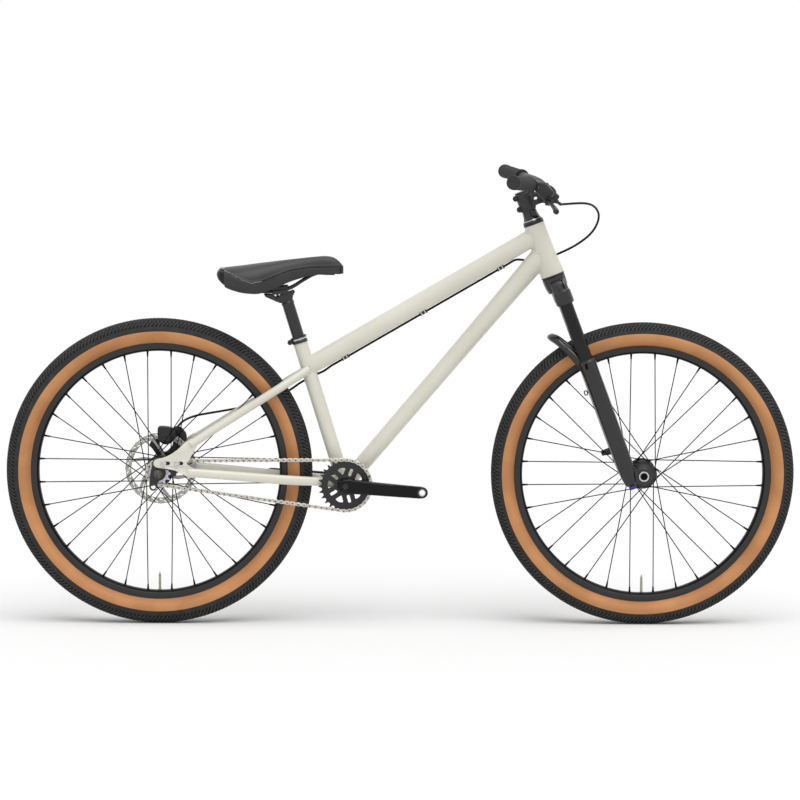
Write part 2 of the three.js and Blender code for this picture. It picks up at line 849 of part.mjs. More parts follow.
function makeCrankArm(side) {
  const angle = THREE.MathUtils.degToRad(crank.tiltDegrees) + (side > 0 ? Math.PI : 0);
  const along = new THREE.Vector3(Math.cos(angle), 0, Math.sin(angle));
  const across = new THREE.Vector3(-Math.sin(angle), 0, Math.cos(angle));
  const spread = (share, from, to) => from + share * (to - from);
  const rings = crankShares.map(([reach, height, out]) => {
    const centre = bbCentre
      .clone()
      .addScaledVector(along, reach * crank.length)
      .addScaledVector(left, side * spread(out, crank.rootPlace, crank.tipPlace));
    const thickness = spread(out, crank.rootHalfThickness, crank.tipHalfThickness);
    return oval(centre, left, across, thickness, height * crank.rootHalfHeight, 8);
  });
  const boss = rod(
    bbCentre.clone().addScaledVector(left, side * crank.bossEnd),
    bbCentre.clone().addScaledVector(left, side * crank.rootPlace),
    chainring.boreRadius - clearance,
    16,
  );
  const pedalHole = rod(
    bbCentre.clone().addScaledVector(along, crank.length).addScaledVector(left, side * crank.rootPlace),
    bbCentre
      .clone()
      .addScaledVector(along, crank.length)
      .addScaledVector(left, side * (crank.tipPlace + crank.tipHalfThickness + overrun)),
    crank.pedalBore,
    8,
  );
  const bore = rod(
    bbCentre,
    bbCentre.clone().addScaledVector(left, side * (crank.spindleHalfLength + overrun)),
    crank.spindleRadius + clearance,
    12,
  );
  return cut(join(loft(rings), boss), bore, pedalHole);
}

function makeSpindle() {
  const end = left.clone().multiplyScalar(crank.spindleHalfLength);
  return rod(bbCentre.clone().sub(end), bbCentre.clone().add(end), crank.spindleRadius, 12);
}

function makeBbShell() {
  const { radius, bore, halfWidth } = bbShell;
  return ringOf(bore, radius, -halfWidth, halfWidth, bbCentre, left, bbShell.facets);
}

function makeBbCup(side) {
  const face = bbShell.halfWidth + clearance;
  const bore = turningBore(crank.spindleRadius, bbShell.facets);
  const profile = [
    [bore, bbShell.halfWidth - bbCup.spigot],
    [bbShell.bore - clearance, bbShell.halfWidth - bbCup.spigot],
    [bbShell.bore - clearance, face],
    [bbCup.radius, face],
    [bbCup.radius, face + bbCup.length],
    [bore, face + bbCup.length],
  ];
  return revolve(profile, bbCentre, left.clone().multiplyScalar(side), bbShell.facets);
}

// Frame tubes: each stops a clearance short of the tube it is welded to.
const headTubeShares = [
  [1.148, 0],
  [1.157, 0.067],
  [1.096, 0.25],
  [1.009, 0.586],
  [1, 1],
];

function headTubeSkin(extra, bore) {
  const { topRadius, length, facets } = headTube;
  const outer = headTubeShares.map(([r, h]) => [r * topRadius + extra, h * (length + 2 * extra) - extra]);
  const bottom = outer[0][1];
  const top = outer.at(-1)[1];
  return revolve([[bore, bottom], ...outer, [bore, top]], headBottom, steerUp, facets);
}

function bbTool() {
  const reach = left.clone().multiplyScalar(bbShell.halfWidth + overrun);
  return rod(bbCentre.clone().sub(reach), bbCentre.clone().add(reach), bbShell.radius + clearance, bbShell.facets);
}

function seatTubeRod(radius) {
  return rod(seatFoot, seatPoint(0, 0, seatTube.length), radius, seatTube.facets);
}

function topTubeSkin(extra) {
  const from = topTubeFoot;
  const to = headBottom.clone().addScaledVector(steerUp, topTube.headHeight);
  const rise = new THREE.Vector3().crossVectors(to.clone().sub(from), left).normalize();
  const { radius, seatHalfWidth, facets } = topTube;
  return loft([
    oval(from, left, rise, seatHalfWidth + extra, radius + extra, facets),
    oval(to, left, rise, radius + extra, radius + extra, facets),
  ]);
}

// The hose line under the top tube, at a distance along it from the seat tube's axis
function underTopTube(distance) {
  const from = topTubeFoot;
  const to = headBottom.clone().addScaledVector(steerUp, topTube.headHeight);
  const along = to.clone().sub(from).normalize();
  const rise = new THREE.Vector3().crossVectors(along, left).normalize();
  const depth = topTube.radius + hoseGuide.drop;
  return from.clone().addScaledVector(along, distance).addScaledVector(rise, -depth);
}

function makeTopTube() {
  const tube = topTubeSkin(0);
  const half = hoseGuide.length / 2;
  const guides = hoseGuide.distances.map((d) =>
    rod(underTopTube(d - half), underTopTube(d + half), hoseGuide.radius, 6),
  );
  const tunnel = rod(
    underTopTube(hoseGuide.distances[0] - half - overrun),
    underTopTube(hoseGuide.distances.at(-1) + half + overrun),
    hose.radius + 2 * clearance,
    6,
  );
  return cut(
    join(tube, guides),
    headTubeSkin(clearance, 0),
    seatTubeRod(seatTube.radius + clearance),
    tunnel,
  );
}

function makeDownTube() {
  const to = headBottom.clone().addScaledVector(steerUp, downTube.headHeight);
  const along = to.clone().sub(bbCentre);
  const length = along.length();
  const profile = [
    [0, 0],
    [downTube.bbRadius, 0],
    [downTube.midRadius, length / 2],
    [topTube.radius, (length * 3) / 4],
    [downTube.headRadius, length],
    [0, length],
  ];
  return cut(
    revolve(profile, bbCentre, along, downTube.facets),
    headTubeSkin(clearance, 0),
    topTubeSkin(clearance),
    seatTubeRod(seatTube.radius + clearance),
    bbTool(),
  );
}

function makeSeatTube() {
  const bore = rod(
    seatPoint(0, 0, seatTube.length - seatTube.boreLength),
    seatPoint(0, 0, seatTube.length + overrun),
    seatTube.bore,
    seatTube.facets,
  );
  return cut(seatTubeRod(seatTube.radius), bore, bbTool());
}

// Each stay runs from its root to its end beside the rear axle: shares of the way back, aside and
// up or down
const seatstayRoot = seatPoint(0.96, 12, seatTube.length - 64.22);
const seatstayEnd = rearCentre.clone().add(new THREE.Vector3(72.14, 67.58, 64.09));
const seatstayShares = [
  [-0, 0, -0],
  [0.0654, 0.1243, 0.067],
  [0.1538, 0.3051, 0.1533],
  [0.2312, 0.452, 0.2318],
  [0.3087, 0.5424, 0.3084],
  [0.4044, 0.5932, 0.4042],
  [0.6041, 0.6836, 0.6015],
  [0.914, 0.9153, 0.91],
  [1, 1, 1],
];
const chainstayRoot = bbCentre.clone().add(new THREE.Vector3(-5.02, 27, -0.50));
const chainstayEnd = rearCentre.clone().add(new THREE.Vector3(66.36, 71.98, 3.29));
const chainstayShares = [
  [-0, 0, 0],
  [0.1576, 0.1769, 0.236],
  [0.2848, 0.3538, 0.3258],
  [0.4071, 0.5077, 0.427],
  [0.6788, 0.7538, 0.6966],
  [0.9737, 0.9769, 0.9775],
  [1, 1, 1],
];

function stayPath(root, end, shares) {
  const way = end.clone().sub(root);
  return shares.map((share) => root.clone().add(new THREE.Vector3(...share).multiply(way)));
}

// Outlines beside the rear axle: shares of the dropout's length, forward and up
const dropoutShares = [
  [0.61, 0.7],
  [0.44, 0.54],
  [0.28, 0.43],
  [0.12, 0.36],
  [0, 0.34],
  [-0.07, 0.31],
  [-0.1, 0.24],
  [-0.07, 0.17],
  [0, 0.14],
  [0.2, 0.12],
  [0.4, 0.08],
  [0.56, -0.01],
  [0.72, -0.09],
  [0.84, -0.08],
  [0.84, 0.1],
  [0.72, 0.16],
  [0.67, 0.23],
  [0.72, 0.36],
  [0.88, 0.64],
  [0.76, 0.8],
];
const slotShares = [
  [0.128, 0.275],
  [0.4, 0.565],
];
const sliderShares = [
  [-0.1, 0.33],
  [0.66, 0.31],
  [0.66, 0.17],
  [0.42, 0.14],
  [0.41, -0.04],
  [0.3, -0.06],
  [0.27, 0.08],
  [0.13, 0.1],
  [0.13, -0.04],
  [0.06, -0.13],
];
const sliderTailShares = [
  [-0.06, -0.13],
  [-0.16, -0.02],
  [-0.14, 0.12],
];
const hangerShares = [
  [-0.01, -0.2],
  [-0.01, -0.29],
  [-0.05, -0.36],
  [-0.11, -0.38],
  [-0.17, -0.35],
  [-0.19, -0.28],
  [-0.18, -0.16],
  [-0.17, -0.02],
  [-0.14, 0.12],
];

function dropoutPoints(shares) {
  return shares.map(([x, z]) => [x * dropout.length, z * dropout.length]);
}

function swollen(outline, amount) {
  const middle = outline.reduce(([a, b], [x, z]) => [a + x / outline.length, b + z / outline.length], [0, 0]);
  return outline.map(([x, z]) => {
    const reach = Math.hypot(x - middle[0], z - middle[1]);
    const scale = 1 + (2 * amount) / reach;
    return [middle[0] + (x - middle[0]) * scale, middle[1] + (z - middle[1]) * scale];
  });
}

function dropoutTool() {
  const outline = swollen(dropoutPoints(dropoutShares), clearance);
  const outer = dropout.inner + dropout.thickness;
  return plate(outline, rearCentre, dropout.inner - clearance, outer + overrun);
}

function makeSeatstay() {
  const size = (t) => {
    const radius = seatstay.radius + t * (seatstay.endRadius - seatstay.radius);
    return [radius, radius];
  };
  const path = stayPath(seatstayRoot, seatstayEnd, seatstayShares);
  return cut(
    taperedTube(path, size, seatstay.facets, seatstay.steps, up),
    seatTubeRod(seatTube.radius + 2 * clearance),
    topTubeSkin(clearance),
    dropoutTool(),
  );
}

function makeChainstay() {
  const size = (t) => [
    chainstay.halfWidth,
    chainstay.rootHalfHeight + t * (chainstay.halfHeight - chainstay.rootHalfHeight),
  ];
  const path = stayPath(chainstayRoot, chainstayEnd, chainstayShares);
  return cut(
    taperedTube(path, size, chainstay.facets, chainstay.steps, up),
    bbTool(),
    seatTubeRod(seatTube.radius + clearance),
    dropoutTool(),
  );
}

function makeDropout() {
  const { length, inner, thickness, slotZ, slotHalfHeight } = dropout;
  const slots = slotShares.map(([x0, x1]) => stadium(x0 * length, x1 * length, slotZ, slotHalfHeight));
  return plate(dropoutPoints(dropoutShares), rearCentre, inner, inner + thickness, slots);
}

const hangerHole = [-0.1, -0.29];

// The sliders carry the axle inside the dropouts; their bolts clamp through the slots.
function makeSlider(hanger) {
  const { inner, thickness, bolts, boltRadius, headRadius, headLength } = slider;
  const tail = hanger ? hangerShares : sliderTailShares;
  const holes = [circle(rearAxle.radius + clearance, 12)];
  if (hanger) holes.push(circle(rearAxle.radius, 10, ...hangerHole.map((v) => v * dropout.length)));
  const body = plate(
    dropoutPoints([...sliderShares, ...tail]),
    rearCentre,
    inner,
    inner + thickness,
    holes,
  );
  const headFace = dropout.inner + dropout.thickness + clearance;
  const boltParts = bolts.flatMap((x) => {
    const at = (y) => new THREE.Vector3(x, y, dropout.slotZ).add(rearCentre);
    return [
      rod(at(inner + thickness / 2), at(headFace + headLength / 2), boltRadius, 6),
      rod(at(headFace), at(headFace + headLength), headRadius, 6),
    ];
  });
  return join(body, boltParts);
}

function makeRearAxle() {
  const { radius, shoulderRadius, headRadius, headLength, halfSpacing } = rearAxle;
  const headFace = slider.inner + slider.thickness + clearance;
  const shoulder = driver.rightEnd - clearance;
  return revolve(
    [
      [0, -headFace - headLength],
      [headRadius, -headFace - headLength],
      [headRadius, -headFace],
      [radius, -headFace],
      [radius, clearance - halfSpacing],
      [shoulderRadius, clearance - halfSpacing],
      [shoulderRadius, shoulder],
      [radius, shoulder],
      [radius, headFace],
      [headRadius, headFace],
      [headRadius, headFace + headLength],
      [0, headFace + headLength],
    ],
    rearCentre,
    left,
    10,
  );
}

// Headset: two pressed cups, and the conical cover that turns with the steerer
function makeLowerCup() {
  const bore = turningBore(fork.steererRadius, headTube.facets);
  const plug = headTube.bore - clearance;
  return revolve(
    [
      [bore, -clearance - headset.cupHeight],
      [headset.lowerRadius, -clearance - headset.cupHeight],
      [headset.lowerRadius, -clearance],
      [plug, -clearance],
      [plug, headset.spigot],
      [bore, headset.spigot],
    ],
    headBottom,
    steerUp,
    headTube.facets,
  );
}

function makeUpperCup() {
  const bore = turningBore(fork.steererRadius, headTube.facets);
  const plug = headTube.bore - clearance;
  return revolve(
    [
      [bore, -headset.spigot],
      [plug, -headset.spigot],
      [plug, clearance],
      [headTube.topRadius, clearance],
      [headTube.topRadius, clearance + headset.cupHeight],
      [bore, clearance + headset.cupHeight],
    ],
    headTop,
    steerUp,
    headTube.facets,
  );
}

const coverFoot = headTube.length + headset.cupHeight + 2 * clearance;
const stemFoot = coverFoot + headset.coverHeight + clearance;

function makeHeadsetCover() {
  const bore = fork.steererRadius + clearance;
  return revolve(
    [
      [bore, coverFoot],
      [headTube.topRadius, coverFoot],
      [headset.coverTopRadius, coverFoot + headset.coverHeight],
      [bore, coverFoot + headset.coverHeight],
    ],
    headBottom,
    steerUp,
    headTube.facets,
  );
}

// Fork
function forkBlock([ahead0, ahead1], [side0, side1], [down0, down1]) {
  const ring = (ahead) => [
    forkPoint(ahead, side0, down0),
    forkPoint(ahead, side1, down0),
    forkPoint(ahead, side1, down1),
    forkPoint(ahead, side0, down1),
  ];
  return loft([ring(ahead0), ring(ahead1)]);
}

// Shares of leg spacing and of the crown's depth: place, top and underside of the bridge
const crownShares = [
  [-0.5, 0.6, 0.94],
  [-0.345, 0.375, 0.69],
  [-0.224, 0.19, 0.58],
  [0, 0.125, 0.53],
  [0.224, 0.19, 0.58],
  [0.345, 0.375, 0.69],
  [0.5, 0.6, 0.94],
];

function makeCrown() {
  const { crownBottom, legForward, legSpacing, capTop, clampRadius, stanchionRadius } = fork;
  const top = headset.cupHeight + 2 * clearance;
  const boss = rod(forkPoint(0, 0, top), forkPoint(0, 0, crown.bossBottom), crown.bossRadius, 16);
  const bridge = loft(
    crownShares.map(([place, high, low]) => {
      const side = place * legSpacing;
      const corner = (ahead, down) => forkPoint(legForward + ahead * crown.halfDepth, side, down);
      const rise = high * crownBottom;
      const fall = low * crownBottom;
      const chamfer = (fall - rise) / 4;
      return [
        corner(-1, rise + chamfer),
        corner(-0.7, rise),
        corner(0.7, rise),
        corner(1, rise + chamfer),
        corner(1, fall - chamfer),
        corner(0.7, fall),
        corner(-0.7, fall),
        corner(-1, fall - chamfer),
      ];
    }),
  );
  const legs = [-0.5, 0.5].flatMap((place) => {
    const side = place * legSpacing;
    return rod(
      forkPoint(legForward, side, capTop),
      forkPoint(legForward, side, crownBottom),
      clampRadius,
      fork.facets,
    );
  });
  const bores = [-0.5, 0.5].map((place) => {
    const side = place * legSpacing;
    const from = forkPoint(legForward, side, capTop + crown.legCapThickness);
    const to = forkPoint(legForward, side, crownBottom + overrun);
    return rod(from, to, stanchionRadius + clearance, fork.facets);
  });
  const steererBore = rod(
    forkPoint(0, 0, -overrun),
    forkPoint(0, 0, crown.underside),
    fork.steererRadius + clearance,
    16,
  );
  return cut(join(boss, bridge, legs), bores, steererBore);
}

function makeSteerer() {
  const top = stemFoot + stem.clampHeight - 1.5 * clearance;
  const foot = crown.underside - clearance;
  return ringOf(stem.steererBore, fork.steererRadius, -foot, top, headBottom, steerUp, 16);
}

function makeStanchion(side) {
  const at = (down) => forkPoint(fork.legForward, (side * fork.legSpacing) / 2, down);
  return rod(
    at(fork.capTop + crown.legCapThickness + clearance),
    at(stanchionBottom),
    fork.stanchionRadius,
    fork.facets,
  );
}

// Lower legs, joined behind the tyre by an arch: shares of the leg's length, ahead, aside and down
const archShares = [
  [-0.034, 0.19, 0.073],
  [-0.054, 0.19, -0.034],
  [-0.092, 0.15, -0.136],
  [-0.143, 0.085, -0.211],
  [-0.173, 0.027, -0.241],
];

function makeLowers() {
  const { legRadius, legTopRadius, legForward, legSpacing } = fork;
  const length = legBottom - lowersTop;
  const leg = [-0.5, 0.5].map((place) =>
    revolve(
      [
        [0, lowersTop],
        [legTopRadius, lowersTop],
        [legTopRadius, lowersTop + lowers.sealHeight],
        [legRadius, legBottom - 2 * lowers.footHeight],
        [lowers.footRadius, legBottom],
        [0, legBottom],
      ],
      forkPoint(legForward, place * legSpacing, 0),
      steerUp.clone().negate(),
      fork.facets,
    ),
  );
  const archHalf = archShares.map(([ahead, side, down]) =>
    forkPoint(ahead * length, side * length, lowersTop + down * length),
  );
  const archPath = [...archHalf, ...archHalf.map((p) => new THREE.Vector3(p.x, -p.y, p.z)).reverse()];
  const arch = taperedTube(archPath, () => [lowers.archHalfWidth, lowers.archHalfDepth], 6, 12, steerForward);
  const ends = [-1, 1].flatMap((side) => {
    const place = (share) => side * (lowers.bossInner + share * (lowers.bossOuter - lowers.bossInner));
    const boss = rod(
      forkPoint(fork.offset, place(0), fork.length),
      forkPoint(fork.offset, place(1), fork.length),
      lowers.bossRadius,
      12,
    );
    const web = forkBlock(
      [legForward, fork.offset],
      [Math.min(place(0), place(1)), Math.max(place(0), place(1))],
      [fork.length - lowers.webHalfHeight, legBottom],
    );
    return [boss, web];
  });
  const tabs = lowers.tabRises.map((rise, i) => {
    const side = legSpacing / 2;
    const down = fork.length - rise;
    const reach = lowers.tabReaches[i];
    return rod(forkPoint(0, side, down), forkPoint(legForward - reach, side, down), lowers.tabRadius, 8);
  });
  const reach = left.clone().multiplyScalar(lowers.bossOuter + overrun);
  const axle = forkPoint(fork.offset, 0, fork.length);
  const axleHole = rod(
    axle.clone().sub(reach),
    axle.clone().add(reach),
    frontAxle.radius + clearance,
    hubFacets,
  );
  const knobHole = rod(
    forkPoint(legForward, -legSpacing / 2, legBottom - knob.shaftLength - clearance),
    forkPoint(legForward, -legSpacing / 2, legBottom + overrun),
    knob.shaftRadius + clearance,
    8,
  );
  return cut(join(leg, arch, ends, tabs), axleHole, knobHole, legBores());
}

// The two sliding bores, which also keep the arch clear of the stanchions above the legs
function legBores() {
  return [-0.5, 0.5].map((place) =>
    rod(
      forkPoint(fork.legForward, place * fork.legSpacing, fork.crownBottom),
      forkPoint(fork.legForward, place * fork.legSpacing, boreBottom),
      fork.stanchionRadius + clearance,
      fork.facets,
    ),
  );
}

function makeKnob() {
  const { shaftRadius, shaftLength, radius, height } = knob;
  return revolve(
    [
      [0, -shaftLength],
      [shaftRadius, -shaftLength],
      [shaftRadius, clearance],
      [radius, clearance],
      [radius, clearance + height],
      [0, clearance + height],
    ],
    forkPoint(fork.legForward, -fork.legSpacing / 2, legBottom),
    steerUp.clone().negate(),
    8,
  );
}

function makeFrontAxle() {
  const { radius, bore, halfLength, headRadius, headLength } = frontAxle;
  return revolve(
    [
      [bore, -halfLength - headLength],
      [headRadius, -halfLength - headLength],
      [headRadius, -halfLength],
      [radius, -halfLength],
      [radius, halfLength],
      [bore, halfLength],
    ],
    frontCentre,
    left,
    hubFacets,
  );
}

// Stem and faceplate: the bar clamp is split ahead of the bar's axis.
const barHeight = stemFoot + stem.clampHeight * stem.barHeightShare;
const barCentre = forkPoint(stem.reach, 0, -barHeight);

function barClamp() {
  const half = left.clone().multiplyScalar(stem.halfWidth);
  return rod(barCentre.clone().sub(half), barCentre.clone().add(half), stem.barClampRadius, 16);
}

function barBore() {
  const reach = left.clone().multiplyScalar(stem.halfWidth + overrun);
  return rod(barCentre.clone().sub(reach), barCentre.clone().add(reach), stem.barRadius + 2 * clearance, 16);
}

function makeStem() {
  const { reach, clampHeight, clampRadius, halfWidth, barClampRadius } = stem;
  const clampFoot = forkPoint(0, 0, -stemFoot);
  const clamp = rod(clampFoot, forkPoint(0, 0, -stemFoot - clampHeight), clampRadius, 16);
  const extension = forkBlock(
    [0, reach],
    [-stem.extensionHalfWidth, stem.extensionHalfWidth],
    [-barHeight - stem.extensionHalfHeight, -barHeight + stem.extensionHalfHeight],
  );
  const lugs = stem.lugHeights.map((share) => {
    const at = (side) => forkPoint(-stem.lugBehind, side * stem.lugHalfLength, -stemFoot - share * clampHeight);
    return rod(at(-1), at(1), stem.lugRadius, 8);
  });
  const window = forkBlock(
    [stem.windowStart, stem.windowEnd],
    [-halfWidth, halfWidth],
    [-barHeight - stem.windowHalfHeight, -barHeight + stem.windowHalfHeight],
  );
  const steererBore = rod(
    forkPoint(0, 0, -stemFoot + overrun),
    forkPoint(0, 0, -stemFoot - clampHeight - overrun),
    fork.steererRadius + clearance,
    16,
  );
  const front = forkBlock(
    [reach, reach + barClampRadius + overrun],
    [-halfWidth - overrun, halfWidth + overrun],
    [-barHeight - 2 * barClampRadius, -barHeight + 2 * barClampRadius],
  );
  return cut(join(clamp, extension, barClamp(), lugs), window, steererBore, barBore(), front);
}

function makeFaceplate() {
  const behind = forkBlock(
    [stem.reach - 2 * stem.barClampRadius, stem.reach + stem.splitGap],
    [-stem.halfWidth - overrun, stem.halfWidth + overrun],
    [-barHeight - 2 * stem.barClampRadius, -barHeight + 2 * stem.barClampRadius],
  );
  return cut(barClamp(), barBore(), behind);
}

function makeTopCap() {
  const foot = stemFoot + stem.clampHeight + clearance;
  const plug = stem.steererBore - clearance;
  return revolve(
    [
      [0, foot - stem.plugLength],
      [plug, foot - stem.plugLength],
      [plug, foot],
      [stem.clampRadius - 2 * clearance, foot],
      [stem.clampRadius - 2 * clearance, foot + stem.capHeight],
      [0, foot + stem.capHeight],
    ],
    headBottom,
    steerUp,
    12,
  );
}

// Handlebar: shares of its half width, forward, aside and up from the clamp; it is straight under
// the stem and again from the last bend to its end.
const barShares = [
  [0, 0, 0],
  [0, 0.08, 0],
  [0, 0.118, 0],
  [-0.013, 0.215, 0.022],
  [-0.04, 0.309, 0.051],
  [-0.066, 0.403, 0.066],
  [-0.111, 0.575, 0.0767],
  [-0.2223, 1, 0.1022],
];

function barPoint(share, side) {
  const [x, y, z] = share;
  const offset = new THREE.Vector3(x, side * y, z).multiplyScalar(bar.halfWidth);
  return barCentre.clone().add(offset);
}

// A point of the bar's straight outer part at a distance to one side, and its direction outwards
function barEnd(place, side) {
  const from = barPoint(barShares.at(-3), side);
  const to = barPoint(barShares.at(-1), side);
  const along = to.clone().sub(from);
  const t = (place - side * from.y) / (side * to.y - side * from.y);
  return { point: from.clone().addScaledVector(along, t), along: along.normalize() };
}

function makeHandlebar() {
  const half = (side) => barShares.map((share) => barPoint(share, side));
  const path = [...half(1).reverse(), ...half(-1).slice(1)];
  const size = (t) => {
    const place = Math.abs(2 * t - 1);
    const taper = THREE.MathUtils.clamp((place - bar.clampShare) / (bar.taperShare - bar.clampShare), 0, 1);
    const radius = stem.barRadius + taper * (bar.gripRadius - stem.barRadius);
    return [radius, radius];
  };
  return taperedTube(path, size, bar.facets, bar.steps, up);
}

const gripStart = bar.halfWidth - grip.inset;
const leverPlace = gripStart - lever.gripGap;

function makeGrip(side) {
  const { point, along } = barEnd(gripStart, side);
  const bore = bar.gripRadius + 4 * clearance;
  const { radius, length, ribs, ribPitch, ribDepth, flangeRadius, wall } = grip;
  const ribProfile = Array.from({ length: ribs }, (_, i) => {
    const foot = (i + 1) * ribPitch;
    return [
      [radius - ribDepth, foot - ribPitch / 3],
      [radius, foot],
      [radius, foot + ribPitch / 3],
    ];
  }).flat();
  const profile = [
    [0, length - wall],
    [bore, length - wall],
    [bore, 0],
    [flangeRadius, 0],
    [flangeRadius, ribPitch / 3],
    ...ribProfile,
    [radius, length],
    [0, length],
  ];
  return revolve(profile, point, along, grip.facets);
}

// Brake lever: a clamp and a reservoir body; the blade turns on a pin between two lugs.
const leverPivot = barCentre.clone().add(new THREE.Vector3(-4.7, lever.pivotInset - leverPlace, -7));
const leverAxis = new THREE.Vector3(-0.585, 0, -0.811).normalize();
const leverShares = [
  [-0.533, 0.567],
  [-0.433, 0.71],
  [-0.133, 0.692],
  [0.138, 0.4],
  [0.433, 0.18],
  [0.283, -0.042],
  [0.1, -0.15],
  [-0.067, -0.078],
  [-0.5, 0.367],
];
const nippleShares = [
  [0.25, 0.02],
  [0.455, -0.122],
];
const bladeShares = [
  [0, 0, 0],
  [0.06, 0.36, -0.07],
  [0.1, 0.72, -0.13],
  [0.06, 1, -0.16],
];

function makeLeverBody() {
  const { bodyLength, bodyWidth, bodyInset, clampWidth } = lever;
  const bodyOuter = leverPlace - bodyInset;
  const outline = leverShares.map(([x, z]) => [x * bodyLength, z * bodyLength]);
  const body = plate(outline, leverPivot, -bodyOuter, bodyWidth - bodyOuter);
  const half = clampWidth / 2;
  const { point, along } = barEnd(leverPlace - half, -1);
  const clamp = rod(
    point.clone().addScaledVector(along, -half),
    point.clone().addScaledVector(along, half),
    lever.clampRadius,
    10,
  );
  const barTool = rod(
    point.clone().addScaledVector(along, -3 * half),
    point.clone().addScaledVector(along, 3 * half),
    bar.gripRadius + 3 * clearance,
    10,
  );
  const inner = lever.bossHalfLength + clearance;
  const onAxis = (distance) => leverPivot.clone().addScaledVector(leverAxis, distance);
  const lugs = [-1, 1].map((turn) =>
    rod(onAxis(turn * inner), onAxis(turn * (inner + lever.lugLength)), lever.lugRadius, 8),
  );
  const pin = rod(onAxis(-inner - clearance), onAxis(inner + clearance), lever.pivotRadius, 8);
  const [start, end] = nippleShares.map(
    ([x, z], i) =>
      new THREE.Vector3(
        leverPivot.x + x * bodyLength,
        lever.nippleInsets[i] - leverPlace,
        leverPivot.z + z * bodyLength,
      ),
  );
  const nipple = rod(start, end, lever.nippleRadius, 6);
  return join(cut(join(body, clamp), barTool), lugs, pin, nipple);
}

function makeLeverBlade() {
  const path = bladeShares.map(([x, y, z]) =>
    leverPivot.clone().add(new THREE.Vector3(x, -y, z).multiplyScalar(lever.bladeLength)),
  );
  const size = (t) => {
    const spread = Math.min(t / lever.rootShare, 1);
    return [
      lever.bladeRoot + spread * (lever.bladeHalfWidth - lever.bladeRoot),
      lever.bladeHalfThickness,
    ];
  };
  const blade = taperedTube(path, size, 8, 8, forward);
  const at = (distance) => leverPivot.clone().addScaledVector(leverAxis, distance);
  const boss = rod(at(-lever.bossHalfLength), at(lever.bossHalfLength), lever.bossRadius, 8);
  const reach = lever.bossHalfLength + overrun;
  const hole = rod(at(-reach), at(reach), lever.pivotRadius + clearance, 8);
  return cut(join(blade, boss), hole);
}

// Brake hose, in two lengths that meet beside the head tube: points laid by hand, ahead, aside and
// down as the fork's are, from the lever's nipple round the head tube. The first two are set in from
// the lever's place.
const frontHosePoints = [
  [67.3, 28 - leverPlace, -150.4],
  [117.8, 78 - leverPlace, -131.6],
  [135.3, -110, -115.5],
  [139.3, -75, -94],
  [129.3, -50, -74.7],
  [108.4, -25, -57.4],
  [70.9, 0, -44.1],
  [26.6, 20, -38.2],
  [-3.9, 30.5, -36.9],
];
const rearHoseHead = [
  [-5.4, 30.6, -37],
  [-31.9, 29, -42],
  [-51.1, 16, -53.4],
];

// Beside the left seatstay: share of the stay's way back, place aside, share of its way down
const rearHoseTail = [
  [-0.1272, 12, 0.0366],
  [-0.0501, 23, 0.0976],
  [0.0655, 31, 0.1983],
  [0.1812, 37, 0.3234],
  [0.3084, 50, 0.4210],
  [0.4434, 60, 0.5003],
  [0.5591, 64, 0.5552],
  [0.6940, 66, 0.5979],
  [0.8729, 66, 0.6467],
  [0.9836, 64, 0.6815],
  [1.0819, 60, 0.7455],
  [1.1551, 54, 0.8596],
];

function headPoints(list) {
  return list.map((place) => forkPoint(...place));
}

function makeFrontHose() {
  return cordAlong(headPoints(frontHosePoints), hose.radius, hose.facets, hose.frontSteps);
}

function makeRearHose() {
  const [rear, , front] = hoseGuide.distances;
  const { straight } = hoseGuide;
  const before = [front + straight, front + straight / 2, front];
  const after = [rear, rear - straight / 2, rear - straight];
  const run = [...before, ...after].map(underTopTube);
  const way = seatstayEnd.clone().sub(seatstayRoot);
  const tail = rearHoseTail.map(
    ([back, side, fall]) =>
      new THREE.Vector3(seatstayRoot.x + back * way.x, side, seatstayRoot.z + fall * way.z),
  );
  const path = [...headPoints(rearHoseHead), ...run, ...tail];
  return cordAlong(path, hose.radius, hose.facets, hose.rearSteps);
}

// Caliper over the rotor's edge, on a bracket seated on the left slider
const caliperShares = [
  [-0.074, 0.94],
  [0.05, 0.95],
  [0.274, 0.92],
  [0.343, 0.806],
  [0.274, 0.58],
  [0.096, 0.524],
  [-0.063, 0.625],
];
const bracketShares = [
  [-0.04, 0.15],
  [0.16, 0.15],
  [0.3, 0.34],
  [0.58, 0.64],
  [0.56, 0.78],
  [0.44, 0.93],
  [0.3, 0.88],
  [0.28, 0.7],
  [0.25, 0.5],
  [0.14, 0.38],
  [0.05, 0.34],
  [-0.02, 0.42],
  [-0.04, 0.7],
  [-0.18, 0.68],
  [-0.27, 0.52],
  [-0.14, 0.34],
  [-0.08, 0.24],
];

function makeCaliper() {
  const body = plate(dropoutPoints(caliperShares), rearCentre, caliper.inner, caliper.outer);
  const slot = plate(
    circle(caliper.slotRadius, wheelFacets),
    rearCentre,
    rotor.place - caliper.slotHalfWidth,
    rotor.place + caliper.slotHalfWidth,
  );
  return cut(body, slot);
}

// Seat post and its head, which cradles the two saddle rails
const headShares = [
  [-0.09, -0.24],
  [-0.42, -0.1],
  [-0.46, -0.03],
  [-0.27, -0.035],
  [-0.17, -0.11],
  [-0.07, -0.03],
  [0.2, 0.06],
  [0.24, 0.02],
  [0.19, -0.08],
  [0.18, -0.22],
];
const cradleShares = [
  [-0.27, -0.05],
  [0.08, -0.01],
  [0.08, 0.084],
  [-0.27, 0.037],
];
const clampShares = [
  [-0.27, 0.043],
  [0.08, 0.09],
  [0.08, 0.16],
  [-0.27, 0.12],
];
const postHead = seatPoint(0, 0, seatpost.headHeight);

function postPoints(shares) {
  return shares.map(([x, z]) => [x * cradle.unit, z * cradle.unit]);
}

